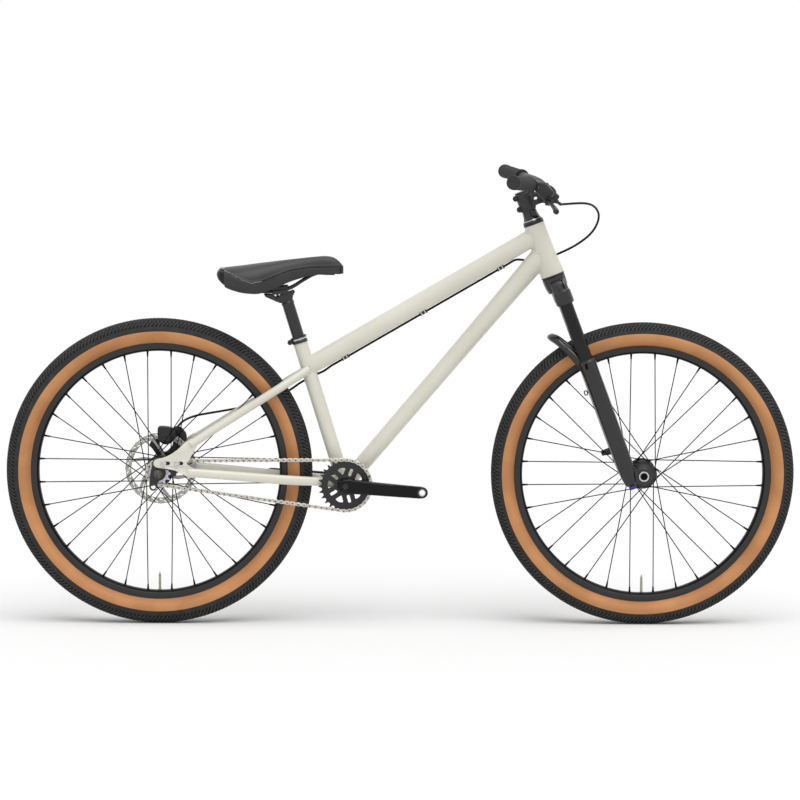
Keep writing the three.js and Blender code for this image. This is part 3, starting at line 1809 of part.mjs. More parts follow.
function makeSeatpost() {
  const foot = seatTube.length - seatpost.insertion;
  const tubeTop = seatPoint(0, 0, seatpost.headHeight - seatpost.neck);
  const tube = rod(seatPoint(0, 0, foot), tubeTop, seatpost.radius, seatpost.facets);
  const head = plate(postPoints(headShares), postHead, -seatpost.headHalfWidth, seatpost.headHalfWidth);
  const seat = plate(postPoints(cradleShares), postHead, -cradle.halfWidth, cradle.halfWidth);
  return cut(join(tube, head, seat), railPair(clearance), cradleBolt(clearance));
}

function cradleBolt(extra) {
  const [x, z] = cradle.boltPlace;
  const at = (height) => postHead.clone().add(new THREE.Vector3(x, 0, height));
  return rod(at(z - cradle.boltDepth - extra), at(z + cradle.boltDepth), cradle.boltRadius + extra, 8);
}

function makeSaddleClamp() {
  const body = plate(postPoints(clampShares), postHead, -cradle.halfWidth, cradle.halfWidth);
  return join(cut(body, railPair(clearance)), cradleBolt(0));
}

function makeCollar() {
  const top = seatTube.length + collar.thickness;
  const inner = seatTube.radius + clearance;
  const outer = inner + collar.thickness;
  const band = ringOf(inner, outer, top - collar.height, top, seatFoot, seatUp, seatTube.facets);
  const middle = top - collar.height / 2;
  const bolt = rod(
    seatPoint(-outer - collar.thickness / 2, -collar.boltHalfLength, middle),
    seatPoint(-outer - collar.thickness / 2, collar.boltHalfLength, middle),
    collar.boltRadius,
    10,
  );
  return join(band, bolt);
}

// Saddle: place from the tail, half width, top and edge of each section, as shares of the saddle's
// length, half width and height
const saddleShares = [
  [0, 0.45, 0.58, 0.48],
  [0.02, 0.62, 0.665, 0.36],
  [0.075, 0.82, 0.69, 0.19],
  [0.14, 0.95, 0.715, 0.097],
  [0.215, 1, 0.745, 0.03],
  [0.32, 0.96, 0.79, 0],
  [0.4, 0.82, 0.82, 0.097],
  [0.47, 0.68, 0.85, 0.178],
  [0.575, 0.5, 0.895, 0.34],
  [0.66, 0.38, 0.93, 0.437],
  [0.775, 0.29, 0.98, 0.55],
  [0.84, 0.275, 1, 0.545],
  [0.91, 0.26, 0.97, 0.54],
  [0.965, 0.22, 0.84, 0.535],
  [1, 0.14, 0.68, 0.56],
];
const railShares = [
  [0.913, 0.02, 0.17],
  [0.777, 0.029, 0.151],
  [0.687, 0.047, 0.105],
  [0.569, 0.072, 0.037],
  [0.383, 0.079, 0.0118],
  [0.239, 0.09, 0.0405],
  [0.117, 0.1, 0.123],
];

// An arch over one section: inset from the sides, lowered from the top by a depth
function saddleArch([place, width, top, edge], inset, depth, lift, arc = saddle.arc) {
  const foot = edge * saddle.height + lift;
  const rise = Math.max(top * saddle.height - foot - depth, saddle.thinnest);
  const half = width * saddle.halfWidth - inset;
  const origin = postHead.clone().add(new THREE.Vector3(-saddle.behind, 0, -saddle.below));
  return Array.from({ length: arc + 1 }, (_, k) => {
    const angle = (k * Math.PI) / arc;
    const across = Math.sign(Math.cos(angle)) * Math.abs(Math.cos(angle)) ** saddle.shoulder;
    const high = Math.abs(Math.sin(angle)) ** saddle.shoulder;
    const offset = new THREE.Vector3(place * saddle.length, half * across, foot + rise * high);
    return origin.clone().add(offset);
  });
}

// A closed skin between an outer and an inner arch at every station
function archLoft(outers, inners) {
  const count = outers[0].length;
  const positions = [...outers, ...inners].flat().flatMap((p) => [p.x, p.y, p.z]);
  const outer = (i, k) => i * count + k;
  const inner = (i, k) => (outers.length + i) * count + k;
  const index = [];
  const quad = (a, b, c, d) => index.push(a, b, c, a, c, d);
  const last = outers.length - 1;
  for (let i = 0; i < last; i++) {
    for (let k = 0; k < count - 1; k++) {
      quad(outer(i, k), outer(i + 1, k), outer(i + 1, k + 1), outer(i, k + 1));
      quad(inner(i, k + 1), inner(i + 1, k + 1), inner(i + 1, k), inner(i, k));
    }
    quad(inner(i, 0), inner(i + 1, 0), outer(i + 1, 0), outer(i, 0));
    const end = count - 1;
    quad(outer(i, end), outer(i + 1, end), inner(i + 1, end), inner(i, end));
  }
  for (let k = 0; k < count - 1; k++) {
    quad(outer(0, k), outer(0, k + 1), inner(0, k + 1), inner(0, k));
    quad(inner(last, k), inner(last, k + 1), outer(last, k + 1), outer(last, k));
  }
  const geometry = new THREE.BufferGeometry()
    .setAttribute("position", new THREE.Float32BufferAttribute(positions, 3))
    .setIndex(index);
  return toSolid(geometry);
}

function makeSaddleCover() {
  const outers = saddleShares.map((share) => saddleArch(share, 0, 0, 0));
  const inners = saddleShares.map((share) => saddleArch(share, saddle.edge, saddle.padding, 0));
  return archLoft(outers, inners);
}

function railPoint([place, side, height], turn) {
  const offset = new THREE.Vector3(place, turn * side, height).multiplyScalar(saddle.length);
  return postHead.clone().add(new THREE.Vector3(-saddle.behind, 0, -saddle.below)).add(offset);
}

function railPair(extra) {
  return [-1, 1].map((turn) =>
    cordAlong(railShares.map((share) => railPoint(share, turn)), saddle.railRadius + extra, 6, 8),
  );
}

function makeRails() {
  const reach = left.clone().multiplyScalar(saddle.railRadius);
  const nose = rod(
    railPoint(railShares[0], -1).sub(reach),
    railPoint(railShares[0], 1).add(reach),
    saddle.railRadius,
    6,
  );
  return join(railPair(0), nose);
}

function makeSaddleShell() {
  const stations = saddleShares.slice(2, -1);
  const { edge, padding, shellThickness, bossRadius, rearBoss, noseBoss } = saddle;
  const inset = edge + 4 * clearance;
  const drop = padding + 4 * clearance;
  const lift = shellThickness / 2;
  const outers = stations.map((share) => saddleArch(share, inset, drop, lift));
  const inners = stations.map((share) => saddleArch(share, inset + shellThickness, drop + shellThickness, lift));
  const sockets = [-1, 1].map((turn) => {
    const end = railPoint(railShares.at(-1), turn);
    const along = end.clone().sub(railPoint(railShares.at(-2), turn)).normalize();
    const foot = end.clone().addScaledVector(along, clearance);
    return rod(foot, foot.clone().addScaledVector(along, rearBoss), bossRadius, 6);
  });
  const nose = railPoint(railShares[0], 0).addScaledVector(up, saddle.railRadius + clearance);
  const noseSocket = rod(nose, nose.clone().addScaledVector(up, noseBoss), bossRadius, 6);
  return join(archLoft(outers, inners), sockets, noseSocket);
}

// The pieces
addPart("head_tube", headTubeSkin(0, headTube.bore), "cream");
addPart("top_tube", makeTopTube(), "cream");
addPart("down_tube", makeDownTube(), "cream");
addPart("seat_tube", makeSeatTube(), "cream");
addPart("bb_shell", makeBbShell(), "cream");
for (const [name, make] of [
  ["chainstay", makeChainstay],
  ["seatstay", makeSeatstay],
  ["dropout", makeDropout],
]) {
  const piece = addPart(`${name}_left`, make(), "cream");
  addPart(`${name}_right`, mirrored(piece), "cream");
}
addPart("slider_left", makeSlider(false), "black");
addPart("slider_right", mirrored(makeSlider(true)), "black");
addPart("rear_axle", makeRearAxle(), "steel");
addPart("bb_cup_left", makeBbCup(1), "black");
addPart("bb_cup_right", makeBbCup(-1), "black");
addPart("headset_lower_cup", makeLowerCup(), "black");
addPart("headset_upper_cup", makeUpperCup(), "black");
addPart("seat_collar", makeCollar(), "gloss");
addPart("caliper", makeCaliper(), "black");
addPart("caliper_bracket", plate(dropoutPoints(bracketShares), rearCentre, bracket.inner, bracket.outer), "black");
addPart("rear_hose", makeRearHose(), "black");
addPart("chain", makeChain(), "steel");

addPart("spindle", makeSpindle(), "steel");
addPart("crank_arm_left", makeCrankArm(1), "gloss");
addPart("crank_arm_right", makeCrankArm(-1), "gloss");
addPart("chainring", makeChainring(), "black");

addPart("fork_crown", makeCrown(), "gloss");
addPart("steerer_tube", makeSteerer(), "steel");
addPart("stanchion_left", makeStanchion(1), "black");
addPart("stanchion_right", makeStanchion(-1), "black");
addPart("headset_cover", makeHeadsetCover(), "grey");
addPart("stem", makeStem(), "grey");
addPart("stem_faceplate", makeFaceplate(), "grey");
addPart("top_cap", makeTopCap(), "grey");
addPart("handlebar", makeHandlebar(), "black");
addPart("grip_left", makeGrip(1), "rubber");
addPart("grip_right", makeGrip(-1), "rubber");
addPart("lever_body", makeLeverBody(), "black");
addPart("lever_blade", makeLeverBlade(), "black");
addPart("front_hose", makeFrontHose(), "black");
addPart("fork_lowers", makeLowers(), "gloss");
addPart("rebound_knob", makeKnob(), "violet");

for (const [end, size, centre] of [
  ["front", frontTyre, frontCentre],
  ["rear", rearTyre, rearCentre],
]) {
  addPart(`${end}_tyre`, makeTyre(size, centre), "tan");
  addPart(`${end}_inner_tube`, makeInnerTube(size, centre), "brass");
  addPart(`${end}_rim`, makeRim(centre), "black");
}
addPart("front_axle", makeFrontAxle(), "steel");
addPart("front_hub", makeFrontHub(frontCentre), "black");
addPart("rear_hub", makeRearHub(rearCentre), "black");
addPart("rotor", makeRotor(rearCentre), "steel");
addPart("cog", makeCog(), "steel");

addPart("seatpost", makeSeatpost(), "gloss");
addPart("saddle_clamp", makeSaddleClamp(), "steel");
addPart("saddle_rails", makeRails(), "black");
addPart("saddle_shell", makeSaddleShell(), "black");
addPart("saddle_cover", makeSaddleCover(), "grey");

export default model;
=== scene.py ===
import json
import math

import bmesh
import bpy
import numpy as np
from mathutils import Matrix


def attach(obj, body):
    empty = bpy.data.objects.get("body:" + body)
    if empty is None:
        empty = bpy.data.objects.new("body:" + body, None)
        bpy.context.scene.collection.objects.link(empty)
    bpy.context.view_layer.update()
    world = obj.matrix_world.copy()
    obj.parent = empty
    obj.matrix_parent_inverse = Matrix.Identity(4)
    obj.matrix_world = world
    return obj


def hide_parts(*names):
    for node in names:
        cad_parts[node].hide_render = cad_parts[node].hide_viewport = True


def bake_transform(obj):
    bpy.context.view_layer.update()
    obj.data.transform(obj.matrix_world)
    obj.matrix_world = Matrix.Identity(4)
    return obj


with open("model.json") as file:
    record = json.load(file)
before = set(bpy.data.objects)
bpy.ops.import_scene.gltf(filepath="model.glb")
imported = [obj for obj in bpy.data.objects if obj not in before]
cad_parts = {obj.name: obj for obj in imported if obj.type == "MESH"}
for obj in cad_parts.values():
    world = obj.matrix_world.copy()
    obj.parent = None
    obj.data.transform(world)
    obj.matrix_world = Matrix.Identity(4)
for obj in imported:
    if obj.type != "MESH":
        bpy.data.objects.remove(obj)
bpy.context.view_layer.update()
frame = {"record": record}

# The photograph's camera: place in millimetres, angles in radians, focal length in pixels of 800
view = {"place": (0, -9000, 1300), "pitch": 0.0888, "yaw": 0.00027, "roll": 0.0025, "focal": 4069.4,
        "pixels": 800, "sensor": 36, "reach": 100}


# Its directions are level, ahead and upright, turned by yaw, then pitch, then roll.
def placeCamera():
    cp, sp = math.cos(view["pitch"]), math.sin(view["pitch"])
    cy, sy = math.cos(view["yaw"]), math.sin(view["yaw"])
    cr, sr = math.cos(view["roll"]), math.sin(view["roll"])
    level = np.array([cy, sy, 0.0])
    ahead = np.array([-cp * sy, cp * cy, -sp])
    upright = np.array([-sp * sy, sp * cy, cp])
    data = bpy.data.cameras.new("camera")
    data.sensor_width = view["sensor"]
    data.lens = view["focal"] / view["pixels"] * view["sensor"]
    data.clip_end = view["reach"]
    camera = bpy.data.objects.new("camera", data)
    bpy.context.scene.collection.objects.link(camera)
    matrix = np.identity(4)
    matrix[:3, 0] = level * cr + upright * sr
    matrix[:3, 1] = upright * cr - level * sr
    matrix[:3, 2] = -ahead
    matrix[:3, 3] = np.array(view["place"]) / 1000
    camera.matrix_world = matrix.T.tolist()  # column by column
    bpy.context.scene.camera = camera


placeCamera()
print("camera placed")

# Everything below is in millimetres; X forward, Y to the rider's left, Z up.
up = np.array([0.0, 0.0, 1.0])
forward = np.array([1.0, 0.0, 0.0])
left = np.array([0.0, 1.0, 0.0])


def unit(v):
    v = np.asarray(v, float)
    return v / np.linalg.norm(v, axis=-1, keepdims=True)


# Up and ahead along a tube that leans back by an angle from level
def leaning(degrees):
    angle = math.radians(degrees)
    return np.array([-math.cos(angle), 0, math.sin(angle)]), np.array([math.sin(angle), 0, math.cos(angle)])


# Two directions across an axis; for the Y axis they are X and Z
def across(axis):
    side = unit(np.cross(axis, up if abs(axis[2]) < 0.9 else forward))
    return side, np.cross(side, axis)


drive = {"pitch": 12.7, "ringTeeth": 28, "cogTeeth": 13, "links": 86, "chainLine": 47, "toothHalf": 1.0}


# Pitch radius of a sprocket: p / (2 sin(pi / n))
def pitchRadius(teeth):
    return drive["pitch"] / (2 * math.sin(math.pi / teeth))


# Rollers that sit in a sprocket's valleys: half of them and one, rounded to an odd number
def seatedRollers(teeth):
    return 2 * (teeth // 4) + 1


# Where the straight runs leave a sprocket, ahead and up of its centre
def runEnd(teeth):
    angle = (seatedRollers(teeth) - 1) * math.pi / teeth
    return np.array([math.cos(angle), math.sin(angle)]) * pitchRadius(teeth)


freeLinks = drive["links"] - seatedRollers(drive["ringTeeth"]) - seatedRollers(drive["cogTeeth"])
freePitches = freeLinks // 2 + 1
ringRun, cogRun = runEnd(drive["ringTeeth"]), runEnd(drive["cogTeeth"])
runLength = freePitches * drive["pitch"]
centreDistance = math.sqrt(runLength**2 - (ringRun[1] - cogRun[1]) ** 2) - ringRun[0] - cogRun[0]

places = {"wheelbase": 1073, "bbDrop": 27, "seatSetBack": 4, "forkLength": 484, "forkOffset": 35.5,
          "headAngle": 69.6, "seatAngle": 72.7, "rearRadius": 340.0, "frontRadius": 336.5}
steerUp, steerForward = leaning(places["headAngle"])
seatUp, seatForward = leaning(places["seatAngle"])
rearCentre = np.array([-places["wheelbase"] / 2, 0, places["rearRadius"]])
frontCentre = np.array([places["wheelbase"] / 2, 0, places["frontRadius"]])
bbAhead = math.sqrt(centreDistance**2 - places["bbDrop"] ** 2)
bbCentre = rearCentre + np.array([bbAhead, 0, -places["bbDrop"]])
driveTilt = -math.asin(places["bbDrop"] / centreDistance)
headBottom = frontCentre - places["forkOffset"] * steerForward + places["forkLength"] * steerUp
seatFoot = bbCentre - places["seatSetBack"] * forward


# Points ahead, aside and down in the fork's directions
def forkPoint(ahead, side, down):
    ahead, side, down = (np.asarray(v, float)[..., None] for v in (ahead, side, down))
    return headBottom + ahead * steerForward + side * left - down * steerUp


# Points ahead, aside and up in the seat tube's directions
def seatPoint(ahead, side, height):
    ahead, side, height = (np.asarray(v, float)[..., None] for v in (ahead, side, height))
    return seatFoot + ahead * seatForward + side * left + height * seatUp


# A closed surface of quads and triangles; it turns itself so that its faces point outwards.
class Skin:
    def __init__(self, points, quads=(), tris=(), uvs=None, finish=None):
        self.points = np.asarray(points, float).reshape(-1, 3)
        self.quads = np.asarray(quads, int).reshape(-1, 4)
        self.tris = np.asarray(tris, int).reshape(-1, 3)
        corners = 4 * len(self.quads) + 3 * len(self.tris)
        self.uvs = np.zeros((corners, 2)) if uvs is None else np.asarray(uvs, float)
        self.finish = finish
        if self.volume() < 0:
            self.turnOver()

    def volume(self):
        p, q, t = self.points - self.points.mean(0), self.quads, self.tris
        fans = np.concatenate([q[:, :3], q[:, [0, 2, 3]], t])
        a, b, c = (p[fans[:, k]] for k in range(3))
        return np.einsum("ij,ij->i", a, np.cross(b, c)).sum() / 6

    def turnOver(self):
        cut = 4 * len(self.quads)
        uvs = [self.uvs[:cut].reshape(-1, 4, 2)[:, ::-1], self.uvs[cut:].reshape(-1, 3, 2)[:, ::-1]]
        self.uvs = np.concatenate([part.reshape(-1, 2) for part in uvs])
        self.quads, self.tris = self.quads[:, ::-1], self.tris[:, ::-1]

    def moved(self, change):
        return Skin(change(self.points), self.quads, self.tris, self.uvs, self.finish)

    def mirrored(self):
        return self.moved(lambda p: p * [1, -1, 1])


# Copies of one skin: p = turn[i] q + place[i]
def repeated(skin, turns, places):
    points = np.einsum("cij,kj->cki", turns, skin.points) + places[:, None]
    count = len(skin.points)
    shift = (np.arange(len(places)) * count)[:, None, None]
    cut = 4 * len(skin.quads)
    corners = [np.tile(part, (len(places), 1)) for part in (skin.uvs[:cut], skin.uvs[cut:])]
    return Skin(points, skin.quads + shift, skin.tris + shift, np.concatenate(corners))


# Quads over a grid of points, closed across; along it closes on itself or takes a fan at each end.
def gridSkin(grid, loop=False, caps=True, finish=None):
    grid = np.asarray(grid, float)
    n, m = grid.shape[:2]
    i, j = np.meshgrid(np.arange(n if loop else n - 1), np.arange(m), indexing="ij")
    k, l = (i + 1) % n, (j + 1) % m
    quads = np.stack([i * m + j, i * m + l, k * m + l, k * m + j], -1).reshape(-1, 4)
    u, v = i / n, j / m
    uvs = np.stack([u, v, u, v + 1 / m, u + 1 / n, v + 1 / m, u + 1 / n, v], -1).reshape(-1, 2)
    points, tris = grid.reshape(-1, 3), np.zeros((0, 3), int)
    if caps and not loop:
        ring = np.arange(m)
        after = (ring + 1) % m
        end = (n - 1) * m
        first = np.stack([after, ring, np.full(m, n * m)], -1)
        last = np.stack([end + ring, end + after, np.full(m, n * m + 1)], -1)
        tris = np.concatenate([first, last])
        points = np.concatenate([points, [grid[0].mean(0), grid[-1].mean(0)]])
        uvs = np.concatenate([uvs, np.zeros((6 * m, 2))])
    return Skin(points, quads, tris, uvs, finish)


# Corners replaced by curves (1-t)^2 a + 2t(1-t) b + t^2 c that start a radius before the corner
def softened(points, radius, steps=4, closed=True):
    p = np.asarray(points, float)
    before, after = np.roll(p, 1, 0), np.roll(p, -1, 0)
    t = np.linspace(0, 1, steps + 1)[None, :, None]

    def end(other):
        way = other - p
        length = np.linalg.norm(way, axis=1, keepdims=True)
        reach = np.minimum(np.reshape(np.broadcast_to(radius, len(p)), (-1, 1)), 0.45 * length)
        return (p + way / np.maximum(length, 1e-9) * reach)[:, None]

    a, b, c = end(before), p[:, None], end(after)
    curves = (1 - t) ** 2 * a + 2 * t * (1 - t) * b + t**2 * c
    if closed:
        return curves.reshape(-1, p.shape[1])
    middle = curves[1:-1].reshape(-1, p.shape[1])
    return np.concatenate([p[:1], middle, p[-1:]])


# A centripetal Catmull-Rom curve through the points, sampled at even steps of its length
def smoothPath(points, count, closed=False):
    p = np.asarray(points, float)
    if closed:
        p = np.concatenate([p[-1:], p, p[:2]])
    else:
        p = np.concatenate([2 * p[:1] - p[1:2], p, 2 * p[-1:] - p[-2:-1]])
    a, b, c, d = (part[:, None] for part in (p[:-3], p[1:-2], p[2:-1], p[3:]))
    gap = lambda s, t: np.sqrt(np.linalg.norm(t - s, axis=-1, keepdims=True)) + 1e-9
    t1 = gap(a, b)
    t2 = t1 + gap(b, c)
    t3 = t2 + gap(c, d)
    t = t1 + (t2 - t1) * np.linspace(0, 1, 24, endpoint=False)[None, :, None]
    e = (t1 - t) / t1 * a + t / t1 * b
    f = (t2 - t) / (t2 - t1) * b + (t - t1) / (t2 - t1) * c
    g = (t3 - t) / (t3 - t2) * c + (t - t2) / (t3 - t2) * d
    h = (t2 - t) / t2 * e + t / t2 * f
    k = (t3 - t) / (t3 - t1) * f + (t - t1) / (t3 - t1) * g
    line = ((t2 - t) / (t2 - t1) * h + (t - t1) / (t2 - t1) * k).reshape(-1, p.shape[1])
    line = np.concatenate([line, line[:1] if closed else p[-2:-1]])
    reach = np.concatenate([[0], np.cumsum(np.linalg.norm(np.diff(line, axis=0), axis=1))])
    at = np.linspace(0, reach[-1], count, endpoint=not closed)
    return np.stack([np.interp(at, reach, column) for column in line.T], -1)


# A table's columns as smooth functions of its first column, sampled at even steps of it
def smoothTable(rows, count):
    rows = np.asarray(rows, float)
    fine = smoothPath(rows, 40 * len(rows))
    at = np.linspace(rows[0, 0], rows[-1, 0], count)
    return np.stack([at] + [np.interp(at, fine[:, 0], column) for column in fine.T[1:]], -1)


# Even angles all the way round
def roundAngles(count, start=0.0):
    return start + np.arange(count) * 2 * math.pi / count


# Flat points at distances and angles from the origin: (r cos a, r sin a)
def polar(radius, angle):
    return np.stack([radius * np.cos(angle), radius * np.sin(angle)], -1)


# A half outline and its mirror image, which share the last point or not
def bothSides(half, mirror=(1, -1), shared=False):
    half = np.asarray(half, float)
    return np.concatenate([half, half[-2 if shared else -1::-1] * mirror])


# A circle drawn towards a square: sgn(w) |w|^p of its cosine and of its sine
def squared(angle, power):
    return (np.sign(w) * np.abs(w) ** power for w in (np.cos(angle), np.sin(angle)))


# A turned piece: profile points are (radius, distance along the axis), p = c + h a + r (cos, sin)
def turned(profile, centre, axis, segments=48, soft=0.0, loop=None, start=0.0):
    profile = np.asarray(profile, float)
    loop = profile[:, 0].min() > 1e-6 if loop is None else loop
    if soft:
        profile = softened(profile, soft, 3, loop)
    profile = profile[profile[:, 0] > 1e-6]
    axis = unit(axis)
    side, rise = across(axis)
    angle = roundAngles(segments, start)
    around = np.cos(angle)[:, None] * side + np.sin(angle)[:, None] * rise
    grid = centre + profile[:, 1, None, None] * axis + profile[:, 0, None, None] * around
    return gridSkin(grid, loop)


# A ring between two radii and two places along an axis; with no inner radius it is a disc.
def band(inner, outer, low, high, centre, axis, segments=48, soft=0.3, start=0.0):
    profile = [(inner, low), (outer, low), (outer, high), (inner, high)]
    return turned(profile, centre, axis, segments, soft, start=start)


def rod(start, end, radius, segments=32, soft=0.5):
    start, end = np.asarray(start, float), np.asarray(end, float)
    return band(0, radius, 0, np.linalg.norm(end - start), start, end - start, segments, soft)


# A bolt head with a hollow for its key, standing on a face: shares of its radius and of its height
headShares = [(0, 0), (1, 0), (1, 1), (0.52, 1), (0.45, 0.35), (0, 0.35)]


def boltHead(foot, axis, radius, height, segments=24):
    return turned(np.array(headShares) * [radius, height], foot, axis, segments, radius * 0.12)


# A tube along a path: p = c + a cos(t) side + b sin(t) rise, with half sizes a and b along it
def tube(path, sizes, sides=24, reference=up, loop=False, power=1.0, soft=0.0):
    path = np.asarray(path, float)
    n = len(path)
    sizes = np.asarray(sizes, float)
    sizes = np.broadcast_to(sizes.reshape(-1, 1) if sizes.ndim < 2 else sizes, (n, 2)).copy()
    if loop:
        along = unit(np.roll(path, -1, 0) - np.roll(path, 1, 0))
    else:
        along = unit(np.gradient(path, axis=0))
    if soft:
        lead = np.array([1, 0.6, 0.25])[:, None] * soft
        shrink = np.array([1, 0.3, 0.06])[:, None] * soft
        head, tail = path[:1] - along[:1] * lead, path[-1:] + along[-1:] * lead[::-1]
        path = np.concatenate([head + along[:1] * soft, path[1:-1], tail - along[-1:] * soft])
        sizes = np.concatenate([sizes[:1] - shrink, sizes[1:-1], sizes[-1:] - shrink[::-1]])
        along = np.concatenate([along[[0] * 3], along[1:-1], along[[-1] * 3]])
    side = unit(np.cross(along, reference))
    rise = unit(np.cross(side, along))
    c, s = (wave[None, :, None] for wave in squared(roundAngles(sides), power))
    grid = path[:, None] + sizes[:, :1, None] * c * side[:, None] + sizes[:, 1:, None] * s * rise[:, None]
    return gridSkin(grid, loop)


# A flat piece drawn in X and Z about a centre, with rounded edges, between two places along Y
def plate(outline, low, high, centre, bevel=0.6, holes=()):
    curve = bpy.data.curves.new("plate", "CURVE")
    curve.dimensions = "2D"
    curve.fill_mode = "BOTH"
    curve.extrude = (high - low) / 2 - bevel
    curve.bevel_depth = bevel
    curve.bevel_resolution = 2
    curve.offset = -bevel
    for ring in [outline, *holes]:
        spline = curve.splines.new("POLY")
        spline.points.add(len(ring) - 1)
        flat = np.zeros((len(ring), 4))
        flat[:, :2] = ring
        spline.points.foreach_set("co", flat.astype(np.float32).ravel())
        spline.use_cyclic_u = True
    holder = bpy.data.objects.new("plate", curve)
    work = bmesh.new()
    work.from_mesh(holder.to_mesh())
    bmesh.ops.remove_doubles(work, verts=work.verts, dist=0.002)
    bmesh.ops.triangulate(work, faces=[face for face in work.faces if len(face.verts) > 4])
    bmesh.ops.recalc_face_normals(work, faces=work.faces)
    work.verts.index_update()
    points = np.array([vertex.co for vertex in work.verts])
    faces = [[vertex.index for vertex in face.verts] for face in work.faces]
    work.free()
    holder.to_mesh_clear()
    bpy.data.objects.remove(holder)
    bpy.data.curves.remove(curve)
    placed = np.stack([points[:, 0], points[:, 2] + (low + high) / 2, points[:, 1]], -1)
    quads, tris = ([face for face in faces if len(face) == corners] for corners in (4, 3))
    return Skin(np.asarray(centre, float) + placed, quads, tris)


def circle(radius, count, x=0.0, z=0.0):
    return polar(radius, roundAngles(count)) + [x, z]


# Two half circles joined by straight lines, their centres at x0 and x1
def stadium(x0, x1, z, half, steps=8):
    end = polar(half, np.linspace(-math.pi / 2, math.pi / 2, steps))
    return np.concatenate([end + [x1, z], -end + [x0, z]])


# Distance outside a round body: |p - axis| - r(h)
def roundField(origin, axis, radius):
    def field(p):
        h = (p - origin) @ axis
        away = np.linalg.norm(p - origin - h[..., None] * axis, axis=-1)
        return away - (radius(h) if callable(radius) else radius)

    return field


# Where lines leave a body, by halving the stretch between places inside it and outside
def leavingPlace(hidden, inside, outside, halvings=26):
    for _ in range(halvings):
        middle = (inside + outside) / 2
        within = hidden(middle)
        inside, outside = np.where(within, middle, inside), np.where(within, outside, middle)
    return outside


# A straight tube whose two ends stop on the bodies that they are welded to
def copedTube(start, end, size, startField, endField, sides=64, rings=28):
    axis = end - start
    side, rise = left, unit(np.cross(axis, left))
    angle = roundAngles(sides)

    def at(share):
        wide, high = size(share)
        return (start + share[..., None] * axis + (wide * np.cos(angle))[..., None] * side
                + (high * np.sin(angle))[..., None] * rise)

    def meeting(field, inside, outside):
        ends = (np.full(sides, share) for share in (inside, outside))
        return leavingPlace(lambda share: field(at(share)) < 0, *ends)

    first = meeting(startField, 0.0, 0.5)
    last = meeting(endField, 1.0, 0.5)
    shares = first + (last - first) * np.linspace(0, 1, rings)[:, None]
    return gridSkin(at(shares)), at(first), at(last)


# A welded seam: a thin tube along a closed line, its radius r (1 + d |sin(n t)|)
def weldBead(line, reference, radius=1.9, ripple=0.22, pitch=4.4):
    length = np.linalg.norm(line - np.roll(line, 1, 0), axis=1).sum()
    ripples = max(8, int(length / pitch))
    path = smoothPath(line, 6 * ripples, closed=True)
    wave = np.abs(np.sin(np.arange(6 * ripples) * math.pi / 6))
    return tube(path, radius * (1 - ripple / 2 + ripple * wave), 10, reference, loop=True)


# A value in a material's nodes; arithmetic on it adds Math nodes.
class Signal:
    def __init__(self, nodes, socket):
        self.nodes, self.socket = nodes, socket

    def math(self, operation, first, second=None):
        node = self.nodes.add("ShaderNodeMath", {"operation": operation}, {0: first, 1: second})
        return Signal(self.nodes, node.outputs[0])

    def __add__(self, other):
        return self.math("ADD", self, other)

    def __sub__(self, other):
        return self.math("SUBTRACT", self, other)

    def __mul__(self, other):
        return self.math("MULTIPLY", self, other)

    def sine(self):
        return self.math("SINE", self)

    # 0 below low, 1 above high, 3t^2 - 2t^3 between
    def between(self, low, high):
        settings = {"interpolation_type": "SMOOTHSTEP"}
        node = self.nodes.add("ShaderNodeMapRange", settings, {0: self, 1: low, 2: high})
        return Signal(self.nodes, node.outputs[0])


# sRGB out of 255 to the linear values that a shader takes
def linear(colour):
    c = np.asarray(colour, float) / 255
    return (*np.where(c <= 0.04045, c / 12.92, ((c + 0.055) / 1.055) ** 2.4), 1.0)


